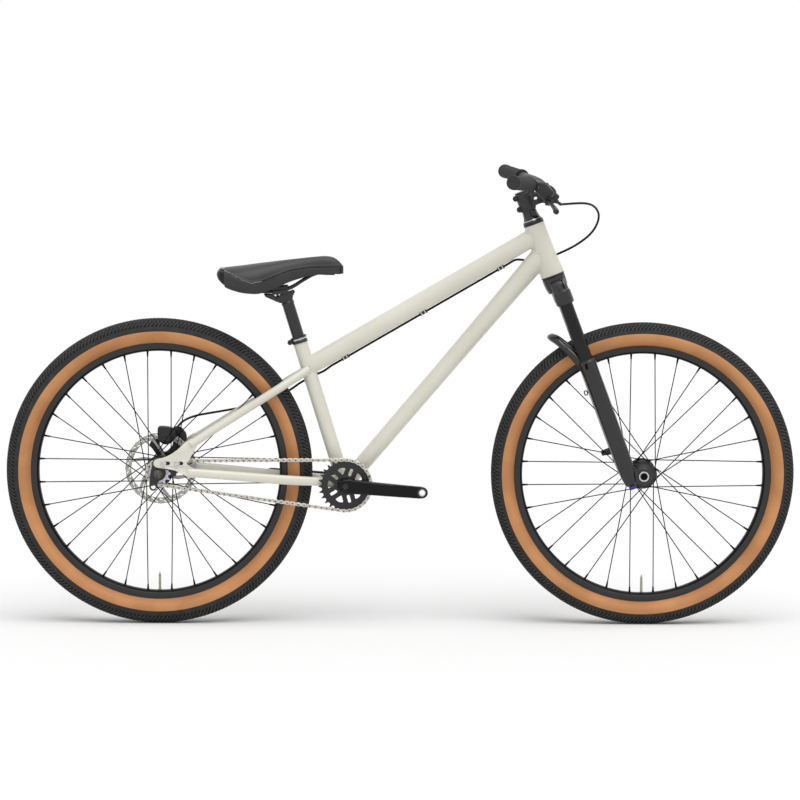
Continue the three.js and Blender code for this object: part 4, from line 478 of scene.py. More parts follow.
# A material's nodes; a value is a number, a colour, a socket, a signal, or nothing.
class Nodes:
    def __init__(self, name):
        self.material = bpy.data.materials.new(name)
        self.material.use_nodes = True
        self.tree = self.material.node_tree
        self.tree.nodes.clear()
        self.shader = self.add("ShaderNodeBsdfPrincipled", {}, {})
        self.add("ShaderNodeOutputMaterial", {}, {"Surface": self.shader.outputs[0]})

    def add(self, kind, settings, values):
        node = self.tree.nodes.new(kind)
        for key, value in settings.items():
            setattr(node, key, value)
        for key, value in values.items():
            self.put(node.inputs[key], value)
        return node

    def put(self, socket, value):
        if value is None:
            return
        if isinstance(value, Signal):
            value = value.socket
        if isinstance(value, bpy.types.NodeSocket):
            self.tree.links.new(value, socket)
        else:
            socket.default_value = value

    def coordinates(self, stretch=(1, 1, 1)):
        source = self.add("ShaderNodeTexCoord", {}, {}).outputs["Object"]
        return self.add("ShaderNodeMapping", {}, {"Vector": source, "Scale": stretch}).outputs[0]

    def noise(self, scale, detail=3.0, stretch=(1, 1, 1)):
        values = {"Vector": self.coordinates(stretch), "Scale": scale, "Detail": detail}
        return Signal(self, self.add("ShaderNodeTexNoise", {}, values).outputs[0])

    def cells(self, scale):
        values = {"Vector": self.coordinates(), "Scale": scale}
        return Signal(self, self.add("ShaderNodeTexVoronoi", {"feature": "F1"}, values).outputs[0])

    def grain(self):
        source = self.add("ShaderNodeUVMap", {"uv_map": "grain"}, {}).outputs[0]
        parts = self.add("ShaderNodeSeparateXYZ", {}, {0: source})
        return Signal(self, parts.outputs[0]), Signal(self, parts.outputs[1])

    def mixed(self, share, first, second):
        node = self.add("ShaderNodeMix", {"data_type": "RGBA"}, {0: share})
        self.put(node.inputs[6], first)
        self.put(node.inputs[7], second)
        return node.outputs[2]

    def bump(self, height, distance, strength=1.0):
        values = {"Height": height, "Distance": distance, "Strength": strength}
        self.put(self.shader.inputs["Normal"], self.add("ShaderNodeBump", {}, values).outputs[0])

    def values(self, **values):
        for key, value in values.items():
            self.put(self.shader.inputs[key.replace("_", " ")], value)
        return self.material


# Paint, anodising or moulded plastic: cloudy noise mixes two close colours and moves the roughness.
def coated(name, dark, light, roughness, metallic=0.0, coat=0.0, scale=18, grain=0.0, grainScale=900,
           shine=0.5):
    nodes = Nodes(name)
    cloud = nodes.noise(scale)
    if grain:
        nodes.bump(nodes.noise(grainScale, 2.0), grain)
    colour = nodes.mixed(cloud.between(0.3, 0.7), linear(dark), linear(light))
    return nodes.values(Base_Color=colour, Roughness=cloud * 0.12 + (roughness - 0.06), Metallic=metallic,
                        Coat_Weight=coat, Coat_Roughness=0.12, Specular_IOR_Level=shine)


creamPaint = coated("creamPaint", (213, 211, 196), (221, 219, 206), 0.36, coat=0.3, scale=5, grain=0.00004,
                    grainScale=500)
satinBlack = coated("satinBlack", (15, 15, 16), (23, 23, 24), 0.42, grain=0.00003)
glossBlack = coated("glossBlack", (8, 8, 9), (13, 13, 14), 0.16, coat=0.2, scale=9)
crankBlack = coated("crankBlack", (5, 5, 5), (9, 9, 10), 0.14, coat=0.12, scale=9, shine=0.14)
spokeBlack = coated("spokeBlack", (6, 6, 7), (10, 10, 11), 0.6, shine=0.1)
rimShade = coated("rimShade", (5, 5, 5), (9, 9, 9), 0.35, shine=0.1)
stanchionBlack = coated("stanchionBlack", (20, 19, 20), (28, 27, 28), 0.16, metallic=0.5, scale=12)
darkGrey = coated("darkGrey", (28, 28, 29), (37, 37, 38), 0.4, metallic=0.15, grain=0.00003)
satinPlastic = coated("satinPlastic", (24, 24, 25), (33, 33, 35), 0.36, scale=14, grain=0.00004,
                      grainScale=1400)
hosePlastic = coated("hosePlastic", (7, 7, 7), (12, 12, 12), 0.42, scale=40, shine=0.16)
innerRubber = coated("innerRubber", (22, 22, 22), (30, 30, 30), 0.7)
violet = coated("violet", (52, 46, 132), (70, 62, 160), 0.3, metallic=0.5, scale=60)
nickel = coated("nickel", (138, 138, 118), (168, 168, 146), 0.35, metallic=0.5, scale=60)
# Near black for painted shade: inside holes, the axle's socket, the fork's notches and the saddle's seam.
paintedShade = coated("paintedShade", (5, 5, 5), (9, 9, 9), 0.8, shine=0.1)
bumperBlack = coated("bumperBlack", (6, 6, 6), (11, 11, 11), 0.2, coat=0.1, scale=30, shine=0.2)


# Bare metal: noise stretched along the tool's path mixes two tones and gives fine scratches.
def bareMetal(name, dark, light, roughness, stretch=(1, 1, 1), scale=260):
    nodes = Nodes(name)
    streak = nodes.noise(scale, 4.0, stretch)
    nodes.bump(streak, 0.00003)
    colour = nodes.mixed(streak.between(0.3, 0.75), linear(dark), linear(light))
    return nodes.values(Base_Color=colour, Roughness=streak * 0.2 + (roughness - 0.1), Metallic=0.92)


chainSteel = bareMetal("chainSteel", (172, 168, 158), (222, 219, 210), 0.34)
pinSteel = bareMetal("pinSteel", (70, 68, 66), (110, 108, 104), 0.4)
rotorSteel = bareMetal("rotorSteel", (150, 150, 146), (196, 195, 190), 0.4, (1, 4, 1), 320)
silver = bareMetal("silver", (178, 178, 182), (220, 220, 222), 0.3)
cogSteel = bareMetal("cogSteel", (170, 168, 180), (214, 212, 222), 0.32)
innerSteel = bareMetal("innerSteel", (120, 120, 122), (160, 160, 160), 0.4)


# The second grain coordinate is the share of the block height; low places are mixed towards near black,
# painted shade in the grooves.
def treadRubberNodes():
    nodes = Nodes("treadRubber")
    dust = nodes.noise(60, 4.0)
    nodes.bump(nodes.noise(1500, 2.0), 0.00008)
    worn = nodes.mixed(dust.between(0.35, 0.8), linear((56, 56, 56)), linear((72, 71, 70)))
    colour = nodes.mixed(nodes.grain()[1].between(0.1, 0.7), linear((8, 8, 8)), worn)
    return nodes.values(Base_Color=colour, Roughness=dust * 0.15 + 0.62, Specular_IOR_Level=0.2)


# Skinwall: two crossing sets of fine threads under thin rubber, sin(a u + b v) and sin(a u - b v)
def tanWallNodes():
    nodes = Nodes("tanWall")
    u, v = nodes.grain()
    threads = {"around": 2 * math.pi * 520, "across": 2 * math.pi * 60}
    first = (u * threads["around"] + v * threads["across"]).sine()
    second = (u * threads["around"] - v * threads["across"]).sine()
    weave = (first + second) * 0.25 + 0.5
    cloud = nodes.noise(14, 4.0)
    nodes.bump(weave + nodes.noise(500) * 0.6, 0.00006)
    base = nodes.mixed(cloud.between(0.3, 0.75), linear((184, 126, 78)), linear((206, 146, 93)))
    colour = nodes.mixed(weave * 0.22, base, linear((158, 104, 61)))
    return nodes.values(Base_Color=colour, Roughness=cloud * 0.15 + 0.55)


# Synthetic leather: small soft cells pressed into the skin, worn smoother in patches
def saddleSkinNodes():
    nodes = Nodes("saddleSkin")
    cell = nodes.cells(620)
    wear = nodes.noise(22, 3.0)
    nodes.bump(cell.between(0.0, 0.6) + nodes.noise(1400) * 0.3, 0.00016, 0.8)
    colour = nodes.mixed(wear.between(0.35, 0.7), linear((28, 28, 29)), linear((37, 37, 38)))
    return nodes.values(Base_Color=colour, Roughness=wear * 0.16 + 0.42)


def gripRubberNodes():
    nodes = Nodes("gripRubber")
    wear = nodes.noise(40, 3.0)
    nodes.bump(nodes.noise(1600, 2.0), 0.0001)
    colour = nodes.mixed(wear.between(0.3, 0.7), linear((24, 24, 25)), linear((33, 33, 34)))
    return nodes.values(Base_Color=colour, Roughness=wear * 0.14 + 0.6)


treadRubber = treadRubberNodes()
tanWall = tanWallNodes()
saddleSkin = saddleSkinNodes()
# A light grey band along the saddle's seam: a painted highlight.
paintedHighlight = coated("paintedHighlight", (128, 128, 130), (150, 150, 152), 0.3, scale=120)
gripRubber = gripRubberNodes()
print("materials made")

record = frame["record"]
bodyOf = {node: body for body, nodes in record["behaviour"]["bodies"].items() for node in nodes}


# One object from layers of (material, skins); a skin with its own finish list takes several materials.
def meshOf(name, layers, sharp):
    points, quads, tris, cornersOfQuads, cornersOfTris, quadSlots, triSlots = ([] for _ in range(7))
    materials, base = [], 0
    for material, skins in layers:
        used = material if isinstance(material, tuple) else (material,)
        for each in used:
            if each not in materials:
                materials.append(each)
        slots = np.array([materials.index(each) for each in used])
        for skin in skins if isinstance(skins, (list, tuple)) else [skins]:
            cut = 4 * len(skin.quads)
            face = np.zeros(len(skin.quads) + len(skin.tris), int) if skin.finish is None else skin.finish
            points.append(skin.points)
            quads.append(skin.quads + base)
            tris.append(skin.tris + base)
            cornersOfQuads.append(skin.uvs[:cut])
            cornersOfTris.append(skin.uvs[cut:])
            quadSlots.append(slots[face[: len(skin.quads)]])
            triSlots.append(slots[face[len(skin.quads):]])
            base += len(skin.points)
    points, quads, tris = np.concatenate(points), np.concatenate(quads), np.concatenate(tris)
    counts = np.concatenate([np.full(len(quads), 4), np.full(len(tris), 3)])
    mesh = bpy.data.meshes.new(name)
    mesh.vertices.add(len(points))
    mesh.vertices.foreach_set("co", (points / 1000).astype(np.float32).ravel())
    mesh.loops.add(int(counts.sum()))
    mesh.loops.foreach_set("vertex_index", np.concatenate([quads.ravel(), tris.ravel()]).astype(np.int32))
    mesh.polygons.add(len(counts))
    mesh.polygons.foreach_set("loop_start", np.concatenate([[0], np.cumsum(counts)[:-1]]).astype(np.int32))
    mesh.polygons.foreach_set("material_index", np.concatenate(quadSlots + triSlots).astype(np.int32))
    for material in materials:
        mesh.materials.append(material)
    mesh.update(calc_edges=True)
    corners = np.concatenate(cornersOfQuads + cornersOfTris)
    mesh.uv_layers.new(name="grain").data.foreach_set("uv", corners.astype(np.float32).ravel())
    mesh.polygons.foreach_set("use_smooth", np.ones(len(counts), bool))
    mesh.set_sharp_from_angle(angle=math.radians(sharp))
    shape = bpy.data.objects.new(name, mesh)
    bpy.context.scene.collection.objects.link(shape)
    return shape


# The look of one CAD node, which it replaces; it rides on the node's own body.
def piece(node, *layers, sharp=32, ride=True):
    shape = meshOf(node + "_look", layers, sharp)
    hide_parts(node)
    if ride:
        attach(shape, bodyOf[node])
    return shape


# The top tube and its guides come first, because the hose hangs under them. Distances and places are along
# the tube; the guide's arch is (aside, rise) about the hose.
topTube = {"seatHeight": 271, "headHeight": 95, "radius": 20, "seatHalfWidth": 15, "widening": 1.4}
guides = {"distances": (82.8, 282.3, 480), "drop": 3.6, "straight": 36, "wires": (-4.2, 4.2), "wire": 1.15,
          "corner": 2.5, "clip": 3.6, "clipHalf": 8, "lip": (2.6, 4.4), "lips": ((-8.6, -7), (7, 8.6)),
          "arch": [(-5.2, 6), (-5.2, 1), (-2.86, -3.6), (2.86, -3.6), (5.2, 1), (5.2, 6)]}
topTubeStart = seatPoint(0, 0, topTube["seatHeight"])
topTubeEnd = forkPoint(0, 0, -topTube["headHeight"])
topTubeAlong = unit(topTubeEnd - topTubeStart)
topTubeRise = np.cross(topTubeAlong, left)


# On the hose's line under the top tube, at distances along it from the seat tube's axis
def underTopTube(distance):
    depth = topTube["radius"] + guides["drop"]
    return topTubeStart + np.asarray(distance, float)[..., None] * topTubeAlong - depth * topTubeRise


# The front run is measured from the crown as the fork is; the rear run goes from its head, through the
# guides, to its tail down the seatstay.
cords = {"diameter": 5.0, "sides": 16,
         "front": [(67.3, -200, -150.4), (117.9, -150, -131.6), (135.4, -110, -115.5), (139.3, -75, -94),
                   (129.4, -50, -74.8), (108.4, -25, -57.4), (70.9, 0, -44.1), (26.6, 20, -38.2),
                   (-3.9, 30.5, -36.9)],
         "head": [(316.6, 30.6, 810.6), (290, 29, 806), (268, 16, 810)],
         "tail": [(-172, 12, 562), (-192, 23, 552), (-222, 31, 535.5), (-252, 37, 515), (-285, 50, 499),
                  (-320, 60, 486), (-350, 64, 477), (-385, 66, 470), (-431.4, 66, 462), (-460.1, 64, 456.3),
                  (-485.6, 60, 445.8), (-504.6, 54, 427.1)]}


def makeHoses():
    path = smoothPath(forkPoint(*np.array(cords["front"]).T), 120)
    hose = piece("front_hose", (hosePlastic, tube(path, cords["diameter"] / 2, cords["sides"])), ride=False)
    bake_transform(hose)
    rear, _, front = guides["distances"]
    bend = guides["straight"]
    run = underTopTube([front + bend, front + bend / 2, front, rear, rear - bend / 2, rear - bend])
    rearPath = smoothPath(np.concatenate([cords["head"], run, cords["tail"]]), 300)
    piece("rear_hose", (hosePlastic, tube(rearPath, cords["diameter"] / 2, cords["sides"])))


makeHoses()
print("hoses laid")

# Wheels. A tyre's half section runs from bead to crown: share of the height above the bead, share of the
# half width. Its tread stands on the crown's share of that height, in columns across and ribs around.
tyre = {"bead": 280.4, "around": 1440, "across": 66, "wall": 3.2, "wallCentre": 0.35, "lining": 8,
        "clear": 0.05, "ribs": 240, "height": 2.2, "slope": -0.15, "ribHalf": 0.31, "soft": 0.1,
        "column": 8.3, "columns": 3, "growth": 24, "treadEdge": 25.2, "crown": 0.3, "plain": 0.45,
        "tanInset": 3, "tanEnd": 313,
        "half": [(0.004, 0.24), (0.02, 0.4), (0.1, 0.47), (0.17, 0.66), (0.28, 0.87), (0.42, 0.965),
                 (0.55, 0.955), (0.605, 0.935), (0.68, 0.885), (0.8, 0.745), (0.905, 0.5), (0.965, 0.24),
                 (0.982, 0)]}
wheels = {"front": (frontCentre, places["frontRadius"], 28.5),
          "rear": (rearCentre, places["rearRadius"], 29.5)}


# Tread height over angle a and place y from the middle: slanted ribs frac(n a + s y) in columns each side,
# h = H min(1, 1/2 + y/g) box(phase) box(column); every second column is half a rib further on.
def treadHeight(angle, y):
    side = np.abs(y)
    column = np.clip(np.floor(side / tyre["column"]), 0, tyre["columns"])
    within = side / tyre["column"] - column
    along = tyre["ribs"] * angle / (2 * math.pi) + side * tyre["slope"] + 0.5 * (column % 2)
    rib = np.clip((tyre["ribHalf"] - np.abs(along % 1 - 0.5)) / tyre["soft"], 0, 1)
    strip = np.clip((0.5 - np.abs(within - 0.5)) / tyre["soft"], 0, 1)
    height = tyre["height"] * np.clip(0.5 + side / tyre["growth"], 0, 1)
    return height * rib * strip * (side < tyre["treadEdge"])


# A tyre is open inside. Its outer line is lifted by the tread along its normal n = (-dy, dr) / |(dr, dy)|,
# and the second grain coordinate holds the share of the tread's height.
def makeTyre(end):
    centre, radius, halfWidth = wheels[end]
    rise = radius - tyre["bead"]
    half = np.array(tyre["half"]) * [rise, halfWidth] + [tyre["bead"], 0]
    outer = smoothPath(bothSides(half, shared=True), tyre["across"])
    inner = outer[2:-2:tyre["lining"]][::-1]
    inward = unit([tyre["bead"] + tyre["wallCentre"] * rise, 0] - inner) * tyre["wall"]
    section = np.concatenate([outer, inner + inward])
    normal = np.zeros((len(section), 2))
    normal[: len(outer)] = unit(np.gradient(outer, axis=0))[:, ::-1] * [-1, 1]
    outside = np.arange(len(section)) < len(outer)
    crown = radius - tyre["crown"] * rise
    angle = roundAngles(tyre["around"])[:, None]
    lift = treadHeight(angle, section[None, :, 1]) * (outside & (section[:, 0] > crown))
    reach = np.minimum(section[:, 0] + lift * normal[:, 0], radius - tyre["clear"])
    place = section[:, 1] + lift * normal[:, 1]
    grid = centre + np.stack([reach * np.cos(angle), place, reach * np.sin(angle)], -1)
    edge = (section[:, 0] + np.roll(section[:, 0], -1)) / 2
    tan = (edge < tyre["tanEnd"]) & (edge > tyre["bead"] + tyre["tanInset"])
    tan &= np.arange(len(section)) < len(outer) - 1
    body = gridSkin(grid, loop=True, finish=np.tile(tan.astype(int), tyre["around"]))
    # Low tread heights turn the rubber near black: painted shade in the grooves.
    height = lift / tyre["height"] + (section[:, 0] < crown) * tyre["plain"]
    rubber = np.repeat(body.finish, 4) == 0
    body.uvs[rubber, 1] = height.ravel()[body.quads.ravel()][rubber]
    piece(end + "_tyre", ((treadRubber, tanWall), body), sharp=50)


# The rim's inner bevel is darker than its sides.
rim = {"half": [(267, 5.5), (269, 11), (272.5, 14.2), (278, 14.8), (285.2, 14.8), (285.2, 13.0),
                (280.1, 12.9)], "around": 240, "soft": 0.7, "shadeEnd": 272}


def makeRim(end):
    centre = wheels[end][0]
    hoop = turned(bothSides(rim["half"]), centre, left, rim["around"], rim["soft"])
    middle = hoop.points[hoop.quads].mean(1) - centre
    hoop.finish = (np.hypot(middle[:, 0], middle[:, 2]) < rim["shadeEnd"]).astype(int)
    piece(end + "_rim", ((satinBlack, rimShade), hoop), sharp=50)


# Inner tube, seen only by its valve, which stands on a foot and points at the hub. The tube's half section
# is (from the axle, half width), its last two rows counted in from the tyre's radius; the valve's are
# (radius, height).
innerTube = {"seat": (285.5, 4.5), "swell": (297, 0.62), "shoulder": (12, 0.45), "crown": (7.5, 2), "soft": 6}
valve = {"foot": 292, "stem": [(0, 0), (2.9, 0), (2.9, 29)], "ridges": 32, "ridge": 0.35, "ridgeStart": 30,
         "ridgeStep": 0.7, "neck": [(2.2, 53), (2.2, 55), (0, 55)], "lock": (0, 4.0, 25.4, 26.6),
         "nut": [(0, 54), (2.8, 54), (2.8, 57), (1.0, 63), (1.0, 65), (0, 65)]}


def makeInnerTube(end):
    centre, radius, halfWidth = wheels[end]
    rows = (innerTube[row] for row in ("swell", "shoulder", "crown"))
    (swell, wide), (shoulder, narrow), (crown, tip) = rows
    half = [innerTube["seat"], (swell, wide * halfWidth), (radius - shoulder, narrow * halfWidth),
            (radius - crown, tip)]
    ring = turned(bothSides(half), centre, left, 96, innerTube["soft"])
    foot = centre - valve["foot"] * up
    ridges = np.arange(valve["ridges"])
    thread = np.stack([valve["stem"][-1][0] - valve["ridge"] * (ridges % 2),
                       valve["ridgeStart"] + ridges * valve["ridgeStep"]], -1)
    metal = [turned([*valve["stem"], *thread, *valve["neck"]], foot, up, 24),
             band(*valve["lock"], foot, up, 24), turned(valve["nut"], foot, up, 20, 0.4)]
    piece(end + "_inner_tube", (innerRubber, ring), (nickel, metal))


# Head and nipple are (radius, distance along the spoke); the two places out are either side of the flange.
spokes = {"count": 32, "crosses": 3, "radius": 1.12, "holeRadius": 28.5, "rimEnd": 268, "rimOffset": 1.8,
          "headOut": 3.4, "elbowOut": 3.1, "bend": 3.2,
          "head": [(0, -0.6), (2.1, -0.4), (1.9, 0.7), (0, 1.1)],
          "nipple": [(0, -3), (2.6, -3), (2.6, 1.5), (2.3, 3), (1.7, 13), (0, 13)]}


# Each flange holds every other spoke; they lead and trail in turn. A spoke runs from its head through the
# flange, bends, and goes straight to its nipple.
def spokeSkins(flanges, centre):
    step = 2 * math.pi / spokes["count"]
    index = np.arange(spokes["count"])
    side = np.where(index % 2, -1.0, 1.0)
    lead = np.where(index // 2 % 2, -1.0, 1.0)
    rimAngle = (index + 0.5) * step
    hubAngle = rimAngle + lead * spokes["crosses"] * 2 * step
    flange = np.where(side > 0, flanges[1], flanges[0])
    at = lambda r, a, y: centre + np.stack([r * np.cos(a), y, r * np.sin(a)], -1)
    starts = at(spokes["holeRadius"], hubAngle, flange - lead * spokes["headOut"])
    bends = at(spokes["holeRadius"], hubAngle, flange + lead * spokes["elbowOut"])
    tips = at(spokes["rimEnd"], rimAngle, side * spokes["rimOffset"])
    wires, nipples, heads = [], [], []
    for start, bend, tip, turn in zip(starts, bends, tips, lead):
        line = softened([start, bend, tip], spokes["bend"], 4, closed=False)
        wires.append(tube(line, spokes["radius"], 8, unit(np.cross(tip - bend, left))))
        nipples.append(turned(spokes["nipple"], tip, unit(bend - tip), 12, 0.3))
        heads.append(turned(spokes["head"], start, -turn * left, 12, 0.2))
    return wires, nipples, heads


frontHub = {"flanges": (-28, 28),
            "profile": bothSides([(10.6, -54.5), (14, -54.5), (14, -48), (15.4, -40), (16.5, -33.5),
                                  (24, -30.9), (31, -30.5), (31.4, -28), (31, -25.5), (24, -24.6),
                                  (17, -20), (15.6, -8)])}
rearHub = {"flanges": (-29, 34),
           "profile": [(5.6, -34.3), (17.5, -34.3), (25, -32), (31, -31.6), (31.4, -29), (31, -26.4),
                       (24, -25), (18, -20), (17, 0), (18, 24), (24, 30), (31, 31.4), (31.4, 34),
                       (31, 36.6), (25, 37.4), (20, 40), (20, 50.8), (16.7, 50.8), (16.7, 53.2), (11, 53.2),
                       (11, 67), (5.6, 67)]}
hubLines = {"places": (-12, 12), "section": [(18.2, -0.4), (18.6, 0), (18.2, 0.4), (17.4, 0)]}


def makeHub(end, hub):
    centre = wheels[end][0]
    wires, nipples, heads = spokeSkins(hub["flanges"], centre)
    shell = turned(hub["profile"], centre, left, 72, 0.8)
    lines = [turned(np.array(hubLines["section"]) + [0, y], centre, left) for y in hubLines["places"]]
    layers = (satinBlack, [shell, *lines]), (spokeBlack, [*wires, *nipples]), (pinSteel, heads)
    piece(end + "_hub", *layers, sharp=40)


# A window lies between two swept arms. The waist's shares are of the angle to the arm and of the sweep, and a
# slot's halves are of its length and its width.
rotor = {"radius": 80, "waves": 24, "waveDepth": 1.0, "steps": 288, "bore": 17.2, "place": 52,
         "thickness": 1.8, "arms": 6, "armHalf": 3.6, "sweep": math.pi / 12, "corner": 3, "carrier": 28,
         "waist": 46, "track": 65.8, "crown": (1.2, 1.6), "waistShares": (1.05, 0.2), "bolt": (3.6, 2.2),
         "boltRadius": 22.4, "boltHole": 2.4, "slots": 48, "slotRadii": (70.6, 74.8), "slotTurn": 1.05,
         "slotHalf": (2.6, 1.05)}


# Brake disc: a slotted track on swept arms, its edge R - d (1 - cos n a) / 2; the slots are short stadiums.
def makeRotor():
    r = rotor
    inner, outer = (math.pi / r["arms"] - r["armHalf"] / r[key] for key in ("carrier", "track"))
    wide, swept = r["waistShares"]
    half = [(r["carrier"], inner, -1), (r["waist"], inner * wide, swept), (r["track"], outer, 1),
            (r["track"] + r["crown"][0], outer / 2, 1), (r["track"] + r["crown"][1], 0, 1)]
    distance, aside, share = np.roll(bothSides(half, (1, -1, 1), shared=True), 1, axis=0).T
    holes, bolts = [circle(r["bore"], 48)], []
    face = r["place"] + r["thickness"] / 2
    for a in roundAngles(r["arms"]):
        holes.append(softened(polar(distance, a + aside + share * r["sweep"]), r["corner"], 5))
        x, z = polar(r["boltRadius"], a)
        holes.append(circle(r["boltHole"], 12, x, z))
        bolts.append(boltHead(rearCentre + [x, face, z], left, *r["bolt"]))
    for k, a in enumerate(roundAngles(r["slots"])):
        c, s = polar(1, a + r["slotTurn"])
        long, wide = r["slotHalf"]
        slot = stadium(-long, long, 0, wide, 5) @ np.array([[c, s], [-s, c]])
        holes.append(slot + polar(r["slotRadii"][k % 2], a))
    angle = roundAngles(r["steps"])
    outline = polar(r["radius"] - r["waveDepth"] * (1 - np.cos(r["waves"] * angle)) / 2, angle)
    disc = plate(outline, face - r["thickness"], face, rearCentre, 0.2, holes)
    piece("rotor", (rotorSteel, disc), (satinBlack, bolts))


frontAxle = {"shaft": [(6, -72.5), (12.5, -72.5), (12.5, -68.5), (10, -68.5), (10, 68.5), (6, 68.5)],
             "ring": (8.4, 11.2, -72.9, -72.2), "socket": (0, 7.6, -72.62, -72.2)}


def makeFrontAxle():
    shaft = turned(frontAxle["shaft"], frontCentre, left, 64, 0.7)
    ring = band(*frontAxle["ring"], frontCentre, left, 48, 0.25)
    # The socket in the axle's end is a near-black disc: painted shade.
    socket = band(*frontAxle["socket"], frontCentre, left, 6, 0.1)
    piece("front_axle", (satinBlack, shaft), (silver, ring), (paintedShade, socket))


for end in wheels:
    makeTyre(end)
    makeRim(end)
    makeInnerTube(end)
makeHub("front", frontHub)
makeHub("rear", rearHub)
makeRotor()
makeFrontAxle()
print("wheels built")

# Drive. A tooth's valley is the arc of a roller's seat, and its tip is flat, between two shares of the pitch.
tooth = {"seat": 3.95, "swing": 1.15, "steps": 9, "tip": 3.3, "crest": (0.44, 0.56)}


def toothOutline(teeth, start):
    radius, step = pitchRadius(teeth), 2 * math.pi / teeth
    middle = start + np.arange(teeth)[:, None] * step
    valley = middle + math.pi - np.linspace(-tooth["swing"], tooth["swing"], tooth["steps"])
    tips = polar(radius + tooth["tip"], middle + step * np.array(tooth["crest"]))
    return np.concatenate([polar(radius, middle) + polar(tooth["seat"], valley), tips], 1).reshape(-1, 2)


# Both sprockets' teeth lie between these two places across.
teethLow, teethHigh = -drive["chainLine"] - drive["toothHalf"], -drive["chainLine"] + drive["toothHalf"]
chainring = {"bore": 17, "inner": 21.5, "outer": 38.5, "arm": 7.6, "pairs": 5, "triangle": 1.18,
             "triangleFoot": 2, "triangleCrown": 1.6, "slotFoot": 1, "slotShares": (1.06, 0.62),
             "corners": (3.4, 3.6), "hub": 20.4, "hubOut": 1.4}


# Five pairs of arms: a rounded triangle inside each pair, a rounded slot between pairs
def makeChainring():
    ring = chainring
    span = 2 * math.pi / ring["pairs"]
    wide, near = (span / 4 - ring["arm"] / ring[edge] / 2 for edge in ("outer", "inner"))
    wide *= ring["triangle"]
    foot, crest = (near * share for share in ring["slotShares"])
    holes = [circle(ring["bore"], 64)]
    for k in range(ring["pairs"]):
        middle = driveTilt + (k + 0.5) * span
        gap = middle + span / 2
        apex, arc = ring["inner"] + ring["triangleFoot"], ring["outer"] + ring["triangleCrown"]
        low, high = ring["inner"] + ring["slotFoot"], ring["outer"] + ring["slotFoot"]
        before, after = ((ring["outer"], middle + aside) for aside in (-wide, wide))
        triangle = [before, (apex, middle), after, (arc, middle)]
        slot = [(low, gap - foot), (low, gap + foot), (high, gap + crest), (high, gap - crest)]
        for shape, corner in zip((triangle, slot), ring["corners"]):
            holes.append(softened(polar(*np.array(shape).T), corner, 6))
    body = plate(toothOutline(drive["ringTeeth"], driveTilt), teethLow, teethHigh, bbCentre, 0.35, holes)
    low, high = teethLow - ring["hubOut"], teethHigh + ring["hubOut"]
    hub = plate(circle(ring["hub"], 96), low, high, bbCentre, 0.7, holes[:1])
    piece("chainring", (satinBlack, [body, hub]))


# The body's section is (radius, place across); the spacers are rings.
cog = {"bore": 16.7, "body": [(5.7, -34.9), (16.9, -34.9), (16.9, -57.2), (14, -57.2), (14, -60),
                              (5.7, -60)], "spacers": ((16.6, 19, -45.6, -38), (16.6, 19, -55.5, -48.4))}


def makeCog():
    outline = toothOutline(drive["cogTeeth"], math.pi + driveTilt)
    teeth = plate(outline, teethLow, teethHigh, rearCentre, 0.3, [circle(cog["bore"], 48)])
    spacers = [band(*sizes, rearCentre, left, 48, 0.5) for sizes in cog["spacers"]]
    piece("cog", (cogSteel, [teeth, *spacers]), (satinBlack, turned(cog["body"], rearCentre, left, 48, 0.6)))


# Roller centres all round: seated on the ring, upper run, seated on the cog, lower run
def rollerCentres():
    ahead = np.array([math.cos(driveTilt), 0, math.sin(driveTilt)])
    above = np.array([-math.sin(driveTilt), 0, math.cos(driveTilt)])

    def seated(centre, teeth, facing):
        half = (seatedRollers(teeth) - 1) // 2
        angle = np.arange(-half, half + 1)[:, None] * 2 * math.pi / teeth
        radius = facing * pitchRadius(teeth)
        line = centre + radius * np.cos(angle) * ahead + radius * np.sin(angle) * above
        return line - drive["chainLine"] * left

    ring = seated(bbCentre, drive["ringTeeth"], 1)
    small = seated(rearCentre, drive["cogTeeth"], -1)
    share = (np.arange(1, freePitches) / freePitches)[:, None]
    run = lambda a, b: a + share * (b - a)
    return np.concatenate([ring, run(ring[-1], small[0]), small, run(small[-1], ring[0])])


# Inner and outer are the places of the two kinds of plate; roller and pin are (radius, half length).
chain = {"end": 4.0, "waist": 2.8, "inner": (2.2, 3.15), "outer": (3.3, 4.25), "bevel": 0.2,
         "inset": (0.97, 0.93), "roller": (3.85, 2.1), "pin": (1.75, 4.75)}


# A link plate between two pins: round ends, and a waist h = e - (e - w) sin^2(pi x / p) between them
def linkPlate(low, high):
    e, w, p = chain["end"], chain["waist"], drive["pitch"]
    x = np.linspace(0, p, 9)[1:-1]
    waist = e - (e - w) * np.sin(math.pi * x / p) ** 2
    cap = polar(e, np.linspace(-math.pi / 2, math.pi / 2, 7))
    over, under = np.stack([x, waist], -1)[::-1], np.stack([x, -waist], -1)
    outline = np.concatenate([cap + [p, 0], over, -cap, under])
    middle = [p / 2, 0]
    inset = middle + (outline - middle) * chain["inset"]
    rings = [(inset, low), (outline, low + chain["bevel"]), (outline, high - chain["bevel"]), (inset, high)]
    return gridSkin(np.stack([np.insert(ring, 1, place, axis=1) for ring, place in rings]))


def makeChain():
    pins = rollerCentres()
    ways = unit(np.roll(pins, -1, 0) - pins)
    turns = np.stack([ways, np.broadcast_to(left, ways.shape), np.cross(ways, left)], -1)
    plates = []
    for start, (near, far) in enumerate((chain["inner"], chain["outer"])):
        for low, high in ((near, far), (-far, -near)):
            plates.append(repeated(linkPlate(low, high), turns[start::2], pins[start::2]))
    roller, pin = (band(0, radius, -half, half, np.zeros(3), left, sides, soft)
                   for (radius, half), sides, soft in ((chain["roller"], 16, 0.4), (chain["pin"], 12, 0.25)))
    rollers, pinRow = (repeated(part, turns, pins) for part in (roller, pin))
    piece("chain", (chainSteel, [*plates, rollers]), (pinSteel, pinRow), sharp=40)


